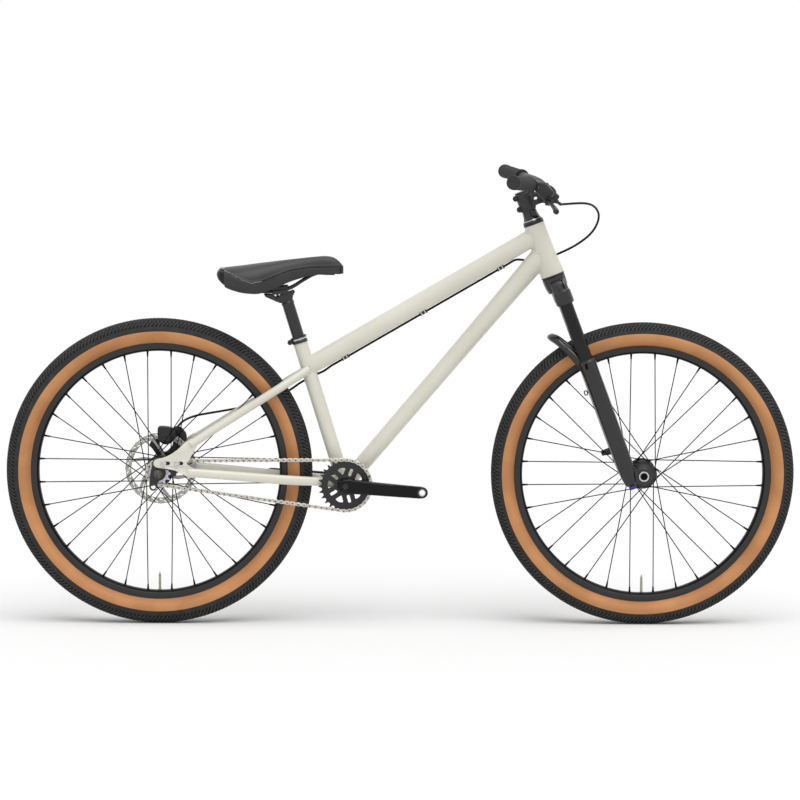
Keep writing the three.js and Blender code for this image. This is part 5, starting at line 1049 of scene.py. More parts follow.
# Half is the arm's half outline from the root's end. Out is (along, share of the way out, half thickness).
# The turned parts are (radius, distance from the bike's middle), about the spindle or the pedal's eye.
crank = {"length": 170, "tilt": -4.2, "root": 66, "tip": 79, "thick": 9, "eye": 7, "spindle": (12, 74),
         "half": [(-15.6, 0), (-13.8, 7.6), (-8.4, 13), (0, 15.4), (20, 15.4), (42, 14.9), (75, 14.4),
                  (110, 13.9), (138, 13.5), (156, 13.3), (169, 12.9), (177, 10.4), (181.2, 5.8),
                  (182.6, 0)],
         "out": [(-20, 0, 9), (0, 0, 9), (42.5, 0.25, 8.25), (110, 0.75, 6.9), (160, 1, 6), (190, 1, 6)],
         "boss": (12.3, 16.6, 43.8, 62), "liner": (5.6, 7.6, 72.8, 85.3), "band": (9.6, 11.4, 84.6, 85.25),
         "cap": [(0, 74.6), (11.6, 74.6), (12.6, 75.6), (12.6, 76.2), (11.4, 76.6), (10.6, 76.0),
                 (0, 76.0)], "boltPlace": 76.1, "bolt": (6.4, 1.9)}


# The arm is drawn flat, then each point takes its place out and its thickness from its distance along.
def crankArm(side):
    half = np.array(crank["half"], float)
    outline = smoothPath(np.concatenate([half, half[-2:0:-1] * [1, -1]]), 150, closed=True)
    eye = circle(crank["eye"], 40, crank["length"])
    flat = plate(outline, -crank["thick"], crank["thick"], (0, 0, 0), 3.4, [eye])
    stations, outs, halves = np.array(crank["out"]).T
    angle = math.radians(crank["tilt"]) + (math.pi if side > 0 else 0)
    along = np.array([math.cos(angle), 0, math.sin(angle)])
    rise = np.array([-math.sin(angle), 0, math.cos(angle)])

    def laid(p):
        out = crank["root"] + np.interp(p[:, 0], stations, outs) * (crank["tip"] - crank["root"])
        y = side * out + p[:, 1] * np.interp(p[:, 0], stations, halves) / crank["thick"]
        return bbCentre + p[:, :1] * along + p[:, 2:] * rise + y[:, None] * left

    return flat.moved(laid), along


def makeCrank(name, side):
    c, out = crank, side * left
    arm, along = crankArm(side)
    eye = bbCentre + c["length"] * along
    black = [arm, band(*c["boss"], bbCentre, out, 64, 0.6), turned(c["cap"], bbCentre, out, 64, 0.2)]
    satin = [band(*c["band"], eye, out, 48, 0.2),
             boltHead(bbCentre + c["boltPlace"] * out, out, *c["bolt"], 32)]
    piece(name, (crankBlack, black), (silver, band(*c["liner"], eye, out, 48, 0.4)), (satinBlack, satin))


# A cup's rows are (radius, distance out), with no radius where it is notched: r = R - d where cos 16a > 0.3.
bbCup = {"rows": [(12.5, 22.5), (17.2, 22.5), (17.2, 36.8), (None, 37.2), (None, 42.3), (17.2, 43.0),
                  (12.5, 43.0)], "radius": 19.4, "notch": 0.9, "notches": 16, "notchEdge": 0.3, "sides": 96}


def makeBottomBracket():
    radius, half = crank["spindle"]
    piece("spindle", (innerSteel, rod(bbCentre - half * left, bbCentre + half * left, radius, 48)))
    angle = roundAngles(bbCup["sides"])[:, None]
    around = np.cos(angle) * forward + np.sin(angle) * up
    notched = bbCup["radius"] - bbCup["notch"] * (np.cos(bbCup["notches"] * angle) > bbCup["notchEdge"])
    for name, side in (("bb_cup_left", 1), ("bb_cup_right", -1)):
        rows = [(notched if radius is None else radius, side * out) for radius, out in bbCup["rows"]]
        rings = [bbCentre + out * left + radius * around for radius, out in rows]
        piece(name, (satinBlack, gridSkin(np.stack(rings), loop=True)))


makeChainring()
makeCog()
makeChain()
makeCrank("crank_arm_left", 1)
makeCrank("crank_arm_right", -1)
makeBottomBracket()
print("drive built")

# Frame. The head tube's flare is (share of the radius, share of the length); its lips stand at (radius,
# height). The seat tube's mouth is (radius, height), from its edge over and down inside; the shell's half
# is (radius, place).
headTube = {"length": 119.4, "radius": 23, "bore": 19, "lips": ((26.4, 2.6), (23, 116.8)),
            "lip": [(-1.2, -1.6), (0.25, -1.2), (0.25, 1.2), (-1.2, 1.6)],
            "flare": [(1.148, 0), (1.157, 0.067), (1.096, 0.25), (1.009, 0.586), (1, 0.8), (1, 1)]}
seatTube = {"radius": 15.9, "edge": 338.4, "mouth": [(15.4, 339), (14.4, 339), (13.95, 338.5), (13.95, 70)],
            "sides": 64, "rings": 24, "footBetween": (14.0, 40.0)}
shell = {"radius": 21, "half": [(17.5, -36.5), (20.8, -36.5), (21.4, -34.5), (21, -30.5)]}
downTube = {"headHeight": 54, "radii": [(0, 17.4), (0.5, 18.6), (0.75, 20), (1, 23)]}
flareShares, flareHeights = np.array(headTube["flare"]).T
headShape = roundField(headBottom, steerUp, lambda height: headTube["radius"] * np.interp(
    height / headTube["length"], flareHeights, flareShares))
seatShape = roundField(seatFoot, seatUp, seatTube["radius"])
shellShape = roundField(bbCentre, left, shell["radius"])


def makeHeadTube():
    length, bore = headTube["length"], headTube["bore"]
    flare = smoothPath(np.array(headTube["flare"]) * [headTube["radius"], length], 26)
    section = np.concatenate([[(bore, 0)], flare, [(bore, length)]])
    lips = [turned(np.array(headTube["lip"]) + place, headBottom, steerUp, 64, 0.4)
            for place in headTube["lips"]]
    piece("head_tube", (creamPaint, [turned(section, headBottom, steerUp, 96, soft=0.4), *lips]))


# A coped tube with a weld bead round each end
def weldedTube(start, end, size, startField, endField):
    body, first, last = copedTube(start, end, size, startField, endField)
    return [body, *(weldBead(line, unit(end - start)) for line in (first, last))]


# The hose guides under the top tube are a plastic clip with a lip at each end, held by two bent wires.
def makeTopTube():
    side, high = topTube["seatHalfWidth"], topTube["radius"]
    size = lambda share: (side + (high - side) * np.minimum(1, share * topTube["widening"]),
                          np.full(np.shape(share), float(high)))
    parts = weldedTube(topTubeStart, topTubeEnd, size, seatShape, headShape)
    clips, edges = [], []
    reach = guides["clipHalf"] * topTubeAlong
    for distance in guides["distances"]:
        middle = underTopTube(distance)
        arch = np.array([middle + aside * left + rise * topTubeRise for aside, rise in guides["arch"]])
        for shift in guides["wires"]:
            line = softened(arch + shift * topTubeAlong, guides["corner"], 4, closed=False)
            parts.append(tube(line, guides["wire"], 8, topTubeAlong))
        clips.append(tube([middle - reach, middle + reach], guides["clip"], 20, soft=0.7))
        for low, high in guides["lips"]:
            edges.append(band(*guides["lip"], low, high, middle, topTubeAlong, 20, 0.3))
    piece("top_tube", (creamPaint, parts), (satinPlastic, [*clips, *edges]))


def makeDownTube():
    shares, radii = np.array(downTube["radii"]).T
    size = lambda share: (np.interp(share, shares, radii),) * 2
    end = forkPoint(0, 0, -downTube["headHeight"])
    piece("down_tube", (creamPaint, weldedTube(bbCentre, end, size, shellShape, headShape)))


# The seat tube is open at the top, where the post goes in; its wall is a loop out, over and back inside.
def makeSeatTube():
    radius, edge = seatTube["radius"], seatTube["edge"]
    angle = roundAngles(seatTube["sides"])[:, None]
    ring = np.cos(angle) * left + np.sin(angle) * seatForward
    at = lambda radius, height: seatFoot + height * seatUp + radius * ring
    within = lambda height: shellShape(at(radius, height))[:, None] < 0
    foot = leavingPlace(within, *(np.full(angle.shape, height) for height in seatTube["footBetween"]))
    outer = [at(radius, foot + (edge - foot) * share) for share in np.linspace(0, 1, seatTube["rings"])]
    inner = [at(*place) for place in seatTube["mouth"]]
    piece("seat_tube", (creamPaint, [gridSkin(np.array(outer + inner)), weldBead(at(radius, foot), seatUp)]))


def makeShell():
    piece("bb_shell", (creamPaint, turned(bothSides(shell["half"]), bbCentre, left, 96, soft=0.5)))


# A stay's middle line is its root and shares of its reach; the right chainstay is dented for the chainring.
seatstay = {"root": (-205, 12, 568), "reach": 314, "radii": (9.5, 9),
            "shares": [(0, 0, 0), (-0.054, 0.022, -0.035), (-0.127, 0.054, -0.08), (-0.191, 0.08, -0.121),
                       (-0.255, 0.096, -0.161), (-0.334, 0.105, -0.211), (-0.499, 0.121, -0.314),
                       (-0.755, 0.162, -0.475), (-0.826, 0.177, -0.522)]}
chainstay = {"root": (-127.6, 27, 312.5), "reach": 346, "halfWidth": 7.6, "high": (11, 9.5), "power": 0.92,
             "dent": (0.16, 0.09), "dentDepths": (0.16, 0.12),
             "shares": [(0, 0, 0), (-0.156, 0.023, 0.021), (-0.282, 0.046, 0.029), (-0.403, 0.066, 0.038),
                        (-0.672, 0.098, 0.062), (-0.964, 0.127, 0.087), (-0.99, 0.13, 0.089)]}


def mirroredFor(side, skins):
    return skins if side > 0 else [skin.mirrored() for skin in skins]


# The stays meet their tubes inside. The dent is e^-(((s - place) / width)^2) at a share s of the length.
def makeStays():
    upper, lower = (smoothPath(np.array(stay["root"], float) + np.array(stay["shares"]) * stay["reach"], 60)
                    for stay in (seatstay, chainstay))
    radii = np.linspace(*seatstay["radii"], len(upper))
    halves = chainstay["halfWidth"], np.linspace(*chainstay["high"], len(lower))
    place, width = chainstay["dent"]
    dent = np.exp(-((np.linspace(0, 1, len(lower)) - place) / width) ** 2)
    for name, side in (("left", 1), ("right", -1)):
        piece("seatstay_" + name, (creamPaint, mirroredFor(side, [tube(upper, radii, 40)])))
        sizes = [half * (1 - depth * dent * (side < 0))
                 for half, depth in zip(halves, chainstay["dentDepths"])]
        stay = tube(lower, np.stack(sizes, -1), 40, power=chainstay["power"])
        piece("chainstay_" + name, (creamPaint, mirroredFor(side, [stay])))


# Outlines are in hundreds of millimetres about the rear axle; low and high are places across.
dropout = {"low": 73.8, "high": 79.8, "slots": ((16.8, 23.5), (44, 52.5)), "slotHeight": 24,
           "slotHalf": 4.0, "sink": 9, "sinkCentre": (6, 12), "sinkFrom": 48, "sinkOver": 42,
           "outline": [(0.61, 0.7), (0.44, 0.54), (0.28, 0.43), (0.12, 0.36), (0, 0.34), (-0.07, 0.31),
                       (-0.1, 0.24), (-0.07, 0.17), (0, 0.14), (0.2, 0.12), (0.4, 0.08), (0.56, -0.01),
                       (0.72, -0.09), (0.84, -0.08), (0.84, 0.1), (0.72, 0.16), (0.67, 0.23), (0.72, 0.36),
                       (0.88, 0.64), (0.76, 0.8)]}
slider = {"low": 67.5, "high": 73.5, "hole": 5.3, "hanger": (-10, -29), "hangerHole": 5,
          "bolts": (12.8, 42.5), "pad": (5.3, 9.4, 66.9, 68), "boltEnds": (72, 80.4), "boltRadius": 3.3,
          "washer": (0, 6.6, 79.9, 80.6), "headPlace": 80.5, "head": (5.2, 3.4), "adjuster": (64, 76, 24),
          "adjusterEnds": (-8, 9), "adjusterRadius": 2.0, "nutPlace": 1.5, "nut": (0, 3.6, 0, 3.2),
          "outline": [(-0.1, 0.33), (0.66, 0.31), (0.66, 0.17), (0.42, 0.14), (0.41, -0.04), (0.3, -0.06),
                      (0.27, 0.08), (0.13, 0.1), (0.13, -0.04), (0.06, -0.13)],
          "left": [(-0.06, -0.13), (-0.16, -0.02), (-0.14, 0.12)],
          "right": [(-0.01, -0.2), (-0.01, -0.29), (-0.05, -0.36), (-0.11, -0.38), (-0.17, -0.35),
                    (-0.19, -0.28), (-0.18, -0.16), (-0.17, -0.02), (-0.14, 0.12)]}


# The dropout's arms lean inwards until they are lost in the stays: y - 9 s(d), s smooth from 48 to 90 away.
def sunkTowards(p):
    away = np.linalg.norm(p[:, [0, 2]] - rearCentre[[0, 2]] - dropout["sinkCentre"], axis=1)
    share = np.clip((away - dropout["sinkFrom"]) / dropout["sinkOver"], 0, 1)
    return p - (dropout["sink"] * share * share * (3 - 2 * share))[:, None] * left


def makeDropout(name, side):
    outline = smoothPath(softened(np.array(dropout["outline"]) * 100, 6, 4), 160, closed=True)
    slots = [stadium(low, high, dropout["slotHeight"], dropout["slotHalf"]) for low, high in dropout["slots"]]
    drop = plate(outline, dropout["low"], dropout["high"], rearCentre, 1.4, slots).moved(sunkTowards)
    piece("dropout_" + name, (creamPaint, mirroredFor(side, [drop])))


# The right slider has the hanger hole too. Two bolts go through the slots, and a screw sets its place.
def makeSlider(name, side):
    s = slider
    shape = softened(np.array(s["outline"] + s[name]) * 100, 2.6, 5)
    holes = [circle(s["hole"], 32)]
    if side < 0:
        holes.append(circle(s["hangerHole"], 28, *s["hanger"]))
    parts = [plate(shape, s["low"], s["high"], rearCentre, 0.7, holes),
             band(*s["pad"], rearCentre, left, 32, 0.3)]
    steel, heads = [], []
    for x in s["bolts"]:
        foot = rearCentre + [x, 0, dropout["slotHeight"]]
        steel.append(rod(*(foot + place * left for place in s["boltEnds"]), s["boltRadius"], 20))
        heads.append(band(*s["washer"], foot, left, 28, 0.2))
        heads.append(boltHead(foot + s["headPlace"] * left, left, *s["head"], 28))
    adjuster = rearCentre + s["adjuster"]
    steel.append(rod(*(adjuster + place * forward for place in s["adjusterEnds"]), s["adjusterRadius"], 14))
    steel.append(band(*s["nut"], adjuster + s["nutPlace"] * forward, forward, 6, 0.3))
    layers = (satinBlack, parts), (pinSteel, steel), (silver, heads)
    piece("slider_" + name, *((paint, mirroredFor(side, skins)) for paint, skins in layers))


rearAxle = {"half": 82, "radius": 4.7, "spacer": (4.6, 9, 60.3, 67.2), "washer": (4.6, 9.8, 73.9, 75.2),
            "nut": [(4.6, 75.0), (8.4, 75.0), (8.4, 81.2), (7.2, 82), (4.6, 82)]}


def makeRearAxle():
    reach = rearAxle["half"] * left
    parts = [rod(rearCentre - reach, rearCentre + reach, rearAxle["radius"], 28, 0.8)]
    for out in (-left, left):
        parts.append(band(*rearAxle["spacer"], rearCentre, out, 36, 0.5))
        parts.append(band(*rearAxle["washer"], rearCentre, out, 36, 0.3))
        parts.append(turned(rearAxle["nut"], rearCentre, out, 6, 0.35, start=math.pi / 6))
    piece("rear_axle", (pinSteel, parts))


# The clamp bolt crosses behind the collar's middle. Ear, head and nut are (places across, radius).
collar = {"middle": 334.9, "bolt": -21.3, "ear": (1.4, 9.5, 5.6), "web": (-16, 5), "webSizes": (3.6, 5.4),
          "head": (-9, 4.3, 2.6), "nut": (8, 11.4, 3.4),
          "section": [(16.2, 327.4), (17.9, 327.4), (17.9, 332.4), (17.1, 333.4), (17.1, 339.0),
                      (18.4, 339.8), (18.4, 342.4), (16.2, 342.4)],
          "shine": [(16.6, 334.6), (17.4, 334.8), (17.4, 337.8), (16.6, 338.0)]}


def makeCollar():
    at = lambda aside, ahead=collar["bolt"]: seatPoint(ahead, aside, collar["middle"])
    (near, far, radius), (behind, aside) = collar["ear"], collar["web"]
    ring = turned(collar["section"], seatFoot, seatUp, 72, 0.3)
    # The silver band round the collar's middle is a painted highlight.
    shine = turned(collar["shine"], seatFoot, seatUp, 72, 0.1)
    ears = []
    for side in (-1, 1):
        ears.append(rod(at(side * near), at(side * far), radius, 28, 1.0))
        ears.append(tube([at(side * aside, behind), at(side * aside)], collar["webSizes"], 20, seatUp))
    place, *sizes = collar["head"]
    start, end, radius = collar["nut"]
    bolt = [boltHead(at(place), -left, *sizes, 20), rod(at(start), at(end), radius, 6, 0.3)]
    piece("seat_collar", (glossBlack, [ring, *ears]), (silver, shine), (darkGrey, bolt))


makeHeadTube()
makeTopTube()
makeDownTube()
makeSeatTube()
makeShell()
makeStays()
for name, side in (("left", 1), ("right", -1)):
    makeDropout(name, side)
    makeSlider(name, side)
makeRearAxle()
makeCollar()
print("frame built")

# Fork. Turned parts are (radius, height) up the head tube, or (radius, distance down) from the crown.
headset = {"bore": 14.8,
           "cover": [(23, 124.0), (23, 126.6), (20.3, 130.5), (17.9, 136.5), (16.5, 144), (15.8, 152)],
           "headset_lower_cup": [(14.8, -4.3), (25.1, -4.3), (26.3, -3.1), (26.3, -0.3), (18.6, -0.3),
                                 (18.6, 12), (14.8, 12)],
           "headset_upper_cup": [(14.8, 108), (18.6, 108), (18.6, 119.7), (23.2, 119.7), (23.2, 122.5),
                                 (22.1, 123.7), (14.8, 123.7)],
           "ring": [(19.6, 129.4), (21.2, 129.8), (20.4, 131.2), (19.0, 131.4)],
           "seam": [(15.6, 147.4), (16.5, 147.8), (16.4, 148.6), (15.6, 149.0)]}


def makeHeadset():
    for cup in ("headset_lower_cup", "headset_upper_cup"):
        piece(cup, (satinBlack, turned(headset[cup], headBottom, steerUp, 96, 0.35)))
    cover, bore = headset["cover"], headset["bore"]
    section = np.concatenate([[(bore, cover[0][1])], smoothPath(cover, 22), [(bore, cover[-1][1])]])
    seam = turned(headset["seam"], headBottom, steerUp, 72, 0.2)
    ring = turned(headset["ring"], headBottom, steerUp, 96, 0.2)
    body = turned(section, headBottom, steerUp, 96, 0.25)
    piece("headset_cover", (glossBlack, [body, seam]), (silver, ring))


# The bridge's rows are shares of its span, and of its height for the upper and the lower line.
fork = {"leg": 58, "ahead": 4.5, "stanchion": (0, 15, 35.9, 330), "steerer": (11, 14.3, -33.7, 192.85),
        "bridge": [(-0.5, 0.6, 0.94), (-0.345, 0.375, 0.69), (-0.224, 0.19, 0.58), (0, 0.125, 0.53)],
        "bridgeSize": (116, 64, 64), "bridgeDeep": (17, 1.6), "bridgePower": 0.55, "bridgeSides": 40,
        "boss": [(14.5, 4.6), (25.8, 4.6), (26.2, 8), (26, 14), (25.2, 26), (22, 38), (14.5, 40)],
        "race": [(15, 4.4), (24.6, 4.4), (25.4, 5.2), (25.4, 6.4), (15, 6.4)],
        "clamp": [(14.2, 35.2), (17.5, 35.2), (19.6, 36.6), (20.4, 40), (20.5, 61), (19.8, 65.5),
                  (18.2, 67.2), (14.2, 67.2)],
        "cap": [(0, 33.6), (8.2, 33.6), (8.8, 34.4), (14.3, 34.6), (15.0, 35.4), (15.0, 38), (0, 38)],
        "capHead": [(0, 31.8), (5.4, 31.8), (5.9, 32.6), (5.9, 34), (0, 34)]}


# On a leg's middle line, or beside it
def legPoint(side, down=0, ahead=0, aside=0):
    return forkPoint(fork["ahead"] + ahead, side * (fork["leg"] + aside), down)


# The bridge is a row of squared sections from leg to leg, between its upper and lower lines; they deepen
# outwards as D + d (2 x)^2 over the share x of the span.
def crownBridge():
    table = smoothTable(bothSides(fork["bridge"], (-1, 1, 1), shared=True), 48)
    c, s = squared(roundAngles(fork["bridgeSides"]), fork["bridgePower"])
    side, top, under = (table * fork["bridgeSize"]).T[..., None]
    shallow, deeper = fork["bridgeDeep"]
    deep = shallow + deeper * (np.abs(table[:, :1]) * 2) ** 2
    return gridSkin(forkPoint(fork["ahead"] + deep * c, side, (top + under) / 2 + (under - top) / 2 * s))


def makeCrown():
    boss = turned(fork["boss"], headBottom, -steerUp, 96, 1.2)
    race = turned(fork["race"], headBottom, -steerUp, 96, 0.3)
    clamps, caps = [], []
    for side in (-1, 1):
        clamps.append(turned(fork["clamp"], legPoint(side), -steerUp, 72, 0.8))
        caps.append(turned(fork["cap"], legPoint(side), -steerUp, 64, 0.3))
        caps.append(turned(fork["capHead"], legPoint(side), -steerUp, 6, 0.3))
    piece("fork_crown", (glossBlack, [boss, crownBridge(), *clamps]), (satinBlack, [*caps, race]))
    piece("steerer_tube", (innerSteel, band(*fork["steerer"], headBottom, steerUp, 48, 0.4)))
    for name, side in (("left", 1), ("right", -1)):
        leg = band(*fork["stanchion"], legPoint(side), -steerUp, 96, 0.6)
        piece("stanchion_" + name, (stanchionBlack, leg))


# The arch is a half line of shares (ahead, aside, down) of its reach below archDown. The web's outline is
# (ahead, down), and its rows are (how much of the outline, distance aside). A notch's rows are (ahead, down).
lowers = {"leg": [(17.6, 199.6), (20.2, 200.4), (20.8, 203), (20.2, 206.5), (19.6, 212), (19.3, 300),
                  (19.0, 400), (18.4, 462), (17, 476), (14.6, 488), (13.6, 493.6), (11, 494.4)],
          "within": [(0.3, 246), (15.6, 246), (15.6, 199.8)], "foot": (0.3, 494.4),
          "seal": [(15.1, 198.2), (16.6, 198.2), (18.6, 199.4), (18.8, 201), (15.1, 201)],
          "eyeSide": 61.65, "eye": [(10.2, -6.35), (17.2, -6.35), (18, -5.2)],
          "web": [(0, 446), (6, 440), (16, 450), (28, 462), (44, 468), (50, 480), (46, 494), (30, 499),
                  (14, 494), (2, 492), (-4, 480), (-4, 455)],
          "webRows": ((0.93, 55.2), (1, 56.6), (1, 66.8), (0.93, 68.2)),
          "arch": [(-0.036, 0.19, 0.073), (-0.066, 0.19, -0.03), (-0.108, 0.15, -0.13),
                   (-0.155, 0.085, -0.208), (-0.182, 0.027, -0.24)],
          "archReach": 294, "archDown": 200, "archSize": (7.2, 8.6), "archPower": 0.7,
          "ribSize": (3.4, 9.3), "ribPower": 0.6, "ribEnds": 6, "clip": 4.4, "clipStretch": (0.8, 1.15),
          "clipPlace": (-19.6, 278), "clipWire": 1.3, "tab": ((-8, 4, 420), (-34, 6, 418)),
          "tabSizes": ((9, 4.4), (6, 4)), "tabRows": 8, "screw": (0, 2.6, -4.6, 4.6), "screwAhead": 3.2,
          "notch": ((-4, 204.5), (-5.5, 217)), "notchOut": 16.6, "notchSize": (3.2, 6.4),
          "cap": [(0, 494), (11.6, 494), (11.6, 496.6), (8.4, 497.4), (0, 497.4)]}


# The flat web that joins a leg to its axle end
def axleWeb(side):
    line = smoothPath(lowers["web"], 80, closed=True)
    middle = line.mean(0)
    rings = []
    for share, aside in lowers["webRows"]:
        ahead, down = (middle + (line - middle) * share).T
        rings.append(forkPoint(ahead, side * aside, down))
    return gridSkin(np.stack(rings))


# Both legs, the arch between them with its rib, the axle ends with their webs, and on the left leg an open
# hose clip and a tab with its screw
def makeLowers():
    s = lowers
    legs, seals, notches = [], [], []
    section = np.concatenate([s["within"], smoothPath(s["leg"], 60), [s["foot"]]])
    for side in (-1, 1):
        legs.append(turned(section, legPoint(side), -steerUp, 96, 0.0, loop=False))
        seals.append(turned(s["seal"], legPoint(side), -steerUp, 72, 0.3))
        eye = forkPoint(places["forkOffset"], side * s["eyeSide"], places["forkLength"])
        legs.append(turned(bothSides(s["eye"]), eye, left, 72, 0.5))
        legs.append(axleWeb(side))
        ends = [legPoint(side, down, ahead, s["notchOut"]) for ahead, down in s["notch"]]
        # Each notch is a near-black raised plug on the leg: painted shade.
        notches.append(tube(ends, [s["notchSize"]], 24, left, power=0.5, soft=0.8))
    half = np.array(s["arch"]) * s["archReach"] + [fork["ahead"], 0, s["archDown"]]
    line = smoothPath(forkPoint(*bothSides(half, (1, -1, 1)).T), 90)
    arch = tube(line, [s["archSize"]], 36, steerForward, power=s["archPower"])
    inner = line[s["ribEnds"]: -s["ribEnds"]] + steerUp
    rib = tube(inner, [s["ribSize"]], 20, steerForward, power=s["ribPower"])
    (ahead, down), wire = s["clipPlace"], circle(s["clip"], 40) * s["clipStretch"]
    around = forkPoint(ahead + wire[:, 0], fork["leg"], down + wire[:, 1])
    clip = tube(around, s["clipWire"], 12, left, loop=True)
    start, end = (forkPoint(ahead, fork["leg"] + aside, down) for ahead, aside, down in s["tab"])
    sizes = np.linspace(*s["tabSizes"], s["tabRows"])
    tab = tube(np.linspace(start, end, s["tabRows"]), sizes, 24, left, power=0.8, soft=1.5)
    screw = band(*s["screw"], end + s["screwAhead"] * steerForward, left, 16, 0.3)
    cap = turned(s["cap"], legPoint(1), -steerUp, 48, 0.3)
    piece("fork_lowers", (glossBlack, [*legs, arch, rib, clip, tab]), (satinPlastic, [*seals, screw, cap]),
          (paintedShade, notches))


# Rows are (radius, distance down from the leg's foot); beyond the plain radius they are scalloped.
knob = {"foot": 494, "sides": 96, "scallops": 12, "scallop": 0.06, "plain": 6,
        "rows": [(0.2, -4), (3, -4), (3, 0.6), (7.4, 0.7), (8.2, 1.6), (8.2, 8.2), (7.3, 9.6), (3.8, 10.0),
                 (3.2, 8.8), (0.2, 8.8)]}


# The knob's edge is r (1 + 0.06 cos 12a).
def makeKnob():
    foot = legPoint(-1, knob["foot"])
    angle = roundAngles(knob["sides"])[:, None]
    around = np.cos(angle) * steerForward + np.sin(angle) * left
    edge = 1 + knob["scallop"] * np.cos(knob["scallops"] * angle)
    rings = [foot - down * steerUp + radius * (edge if radius > knob["plain"] else 1) * around
             for radius, down in knob["rows"]]
    piece("rebound_knob", (violet, gridSkin(np.stack(rings))))


makeHeadset()
makeCrown()
makeLowers()
makeKnob()
print("fork built")

# Cockpit. The stem's steerer clamp, bar clamp and body are given by half; window is (from, to, height, half).
# Lug, lugHead and lugEnd are (places across, radius), the faceplate's screws stand at (aside, height).
stem = {"foot": 152.3, "height": 41, "barShare": 0.48, "reach": 50, "bodyHalf": 13.6,
        "clamp": [(14.6, -20.5), (16.9, -20.5), (17.9, -19.3), (18.1, -14.5)],
        "body": [(4, 15), (16, 14.4), (28, 13.6), (40, 15.6), (47, 17.6), (49.2, 17.4)],
        "window": (22.2, 23.6, 0.5, 3.2), "barClamp": [(15.6, -25), (19.6, -25), (20.5, -24)],
        "splits": (-0.4, 0.8), "lugs": (0.2, 0.83), "lugBehind": 19, "lug": (1.2, 11, 6.2), "lugRoot": 7,
        "lugSizes": (8.4, 5.2), "lugHead": (-10.4, 3.9, 2.2), "lugEnd": (10, 12.4, 2.4),
        "screws": (17.5, 19.2), "boss": (-0.6, 8.6), "bossSizes": (5.0, 4.6), "screw": (8.2, 3.6, 2.6),
        "capBolt": (195.2, 4.2, 1.9),
        "cap": [(3, 193.5), (16.6, 193.5), (17.4, 194.2), (17.4, 196), (16.2, 197), (8, 197.2),
                (5.2, 195.6), (0.3, 195.6), (0.3, 193.5)]}
barHeight = stem["foot"] + stem["barShare"] * stem["height"]
barCentre = forkPoint(stem["reach"], 0, -barHeight)


# The bar clamp is split: the stem's half ends at its split, and the faceplate's half starts at its own.
def barClampHalf(limit, split):
    whole = turned(bothSides(stem["barClamp"]), (0, 0, 0), left, 64, 0.4)
    return whole.moved(lambda p: barCentre + limit(p[:, :1], split) * steerForward + p[:, 1:2] * left
                       + p[:, 2:] * steerUp)


# A stem body with a window through it, and two pinch bolts behind the steerer
def makeStem():
    s = stem
    clamp = turned(bothSides(s["clamp"]) + [0, s["foot"] + s["height"] / 2], headBottom, steerUp, 80, 0.4)
    outline = smoothPath(bothSides(s["body"]), 120, closed=True)
    arm = plate(outline, -s["bodyHalf"], s["bodyHalf"], (0, 0, 0), 2.4, [stadium(*s["window"], 10)])
    arm = arm.moved(lambda p: forkPoint(p[:, 0], p[:, 1], -barHeight - p[:, 2]))
    parts, bolts = [clamp, arm, barClampHalf(np.minimum, s["splits"][0])], []
    (near, far, radius), (head, *headSize), (start, end, endRadius) = s["lug"], s["lugHead"], s["lugEnd"]
    for share in s["lugs"]:
        middle = forkPoint(-s["lugBehind"], 0, -s["foot"] - share * s["height"])
        for side in (-left, left):
            parts.append(rod(middle + near * side, middle + far * side, radius, 28, 0.9))
        parts.append(tube([middle + s["lugRoot"] * steerForward, middle], s["lugSizes"], 24, steerUp))
        bolts.append(boltHead(middle + head * left, -left, *headSize, 24))
        bolts.append(rod(middle + start * left, middle + end * left, endRadius, 16, 0.3))
    piece("stem", (darkGrey, parts), (satinBlack, bolts))


# The bar clamp's front half with four bolts, and the cap over the steerer
def makeStemCovers():
    cover, screws = [barClampHalf(np.maximum, stem["splits"][1])], []
    (aside, rise), (place, *size) = stem["screws"], stem["screw"]
    for side in (-aside, aside):
        for height in (-rise, rise):
            foot = barCentre + side * left + height * steerUp
            ends = [foot + ahead * steerForward for ahead in stem["boss"]]
            cover.append(tube(ends, stem["bossSizes"], 20, left, soft=0.8))
            screws.append(boltHead(foot + place * steerForward, steerForward, *size, 20))
    piece("stem_faceplate", (darkGrey, cover), (satinBlack, screws))
    height, *size = stem["capBolt"]
    cap = turned(stem["cap"], headBottom, steerUp, 72, 0.25)
    piece("top_cap", (darkGrey, cap), (pinSteel, boltHead(forkPoint(0, 0, -height), steerUp, *size, 24)))


# Shares of half the bar's width, from its middle out: it is straight from the knee on, and tapers in radius.
bar = {"half": 372, "radii": (15.9, 11.1), "taper": (0.09, 0.38), "knee": 5,
       "shares": [(0, 0, 0), (0, 0.08, 0), (0, 0.118, 0), (-0.013, 0.215, 0.022), (-0.04, 0.309, 0.051),
                  (-0.066, 0.403, 0.066), (-0.111, 0.575, 0.0767), (-0.2223, 1, 0.1022)]}
halfBar = np.array(bar["shares"]) * bar["half"]
kneePlace, endPlace = halfBar[bar["knee"]], halfBar[-1]
barKnee, barEnd = barCentre + kneePlace, barCentre + endPlace


# A point of the straight outer part at a place across, for one side
def alongBar(place, side=1):
    share = (place - kneePlace[1]) / (endPlace[1] - kneePlace[1])
    return (barKnee + share * (barEnd - barKnee)) * [1, side, 1]


def barAxis(side=1):
    return unit(barEnd - barKnee) * [1, side, 1]


def makeBar():
    bent = smoothPath(halfBar[: bar["knee"] + 1], 60)[:-1]
    half = np.concatenate([bent, np.linspace(kneePlace, endPlace, 30)])
    path = barCentre + np.concatenate([half[::-1] * [1, -1, 1], half[1:]])
    radii = np.interp(np.abs(path[:, 1]) / bar["half"], bar["taper"], bar["radii"])
    piece("handlebar", (satinBlack, tube(path, radii, 56, soft=0.8)))


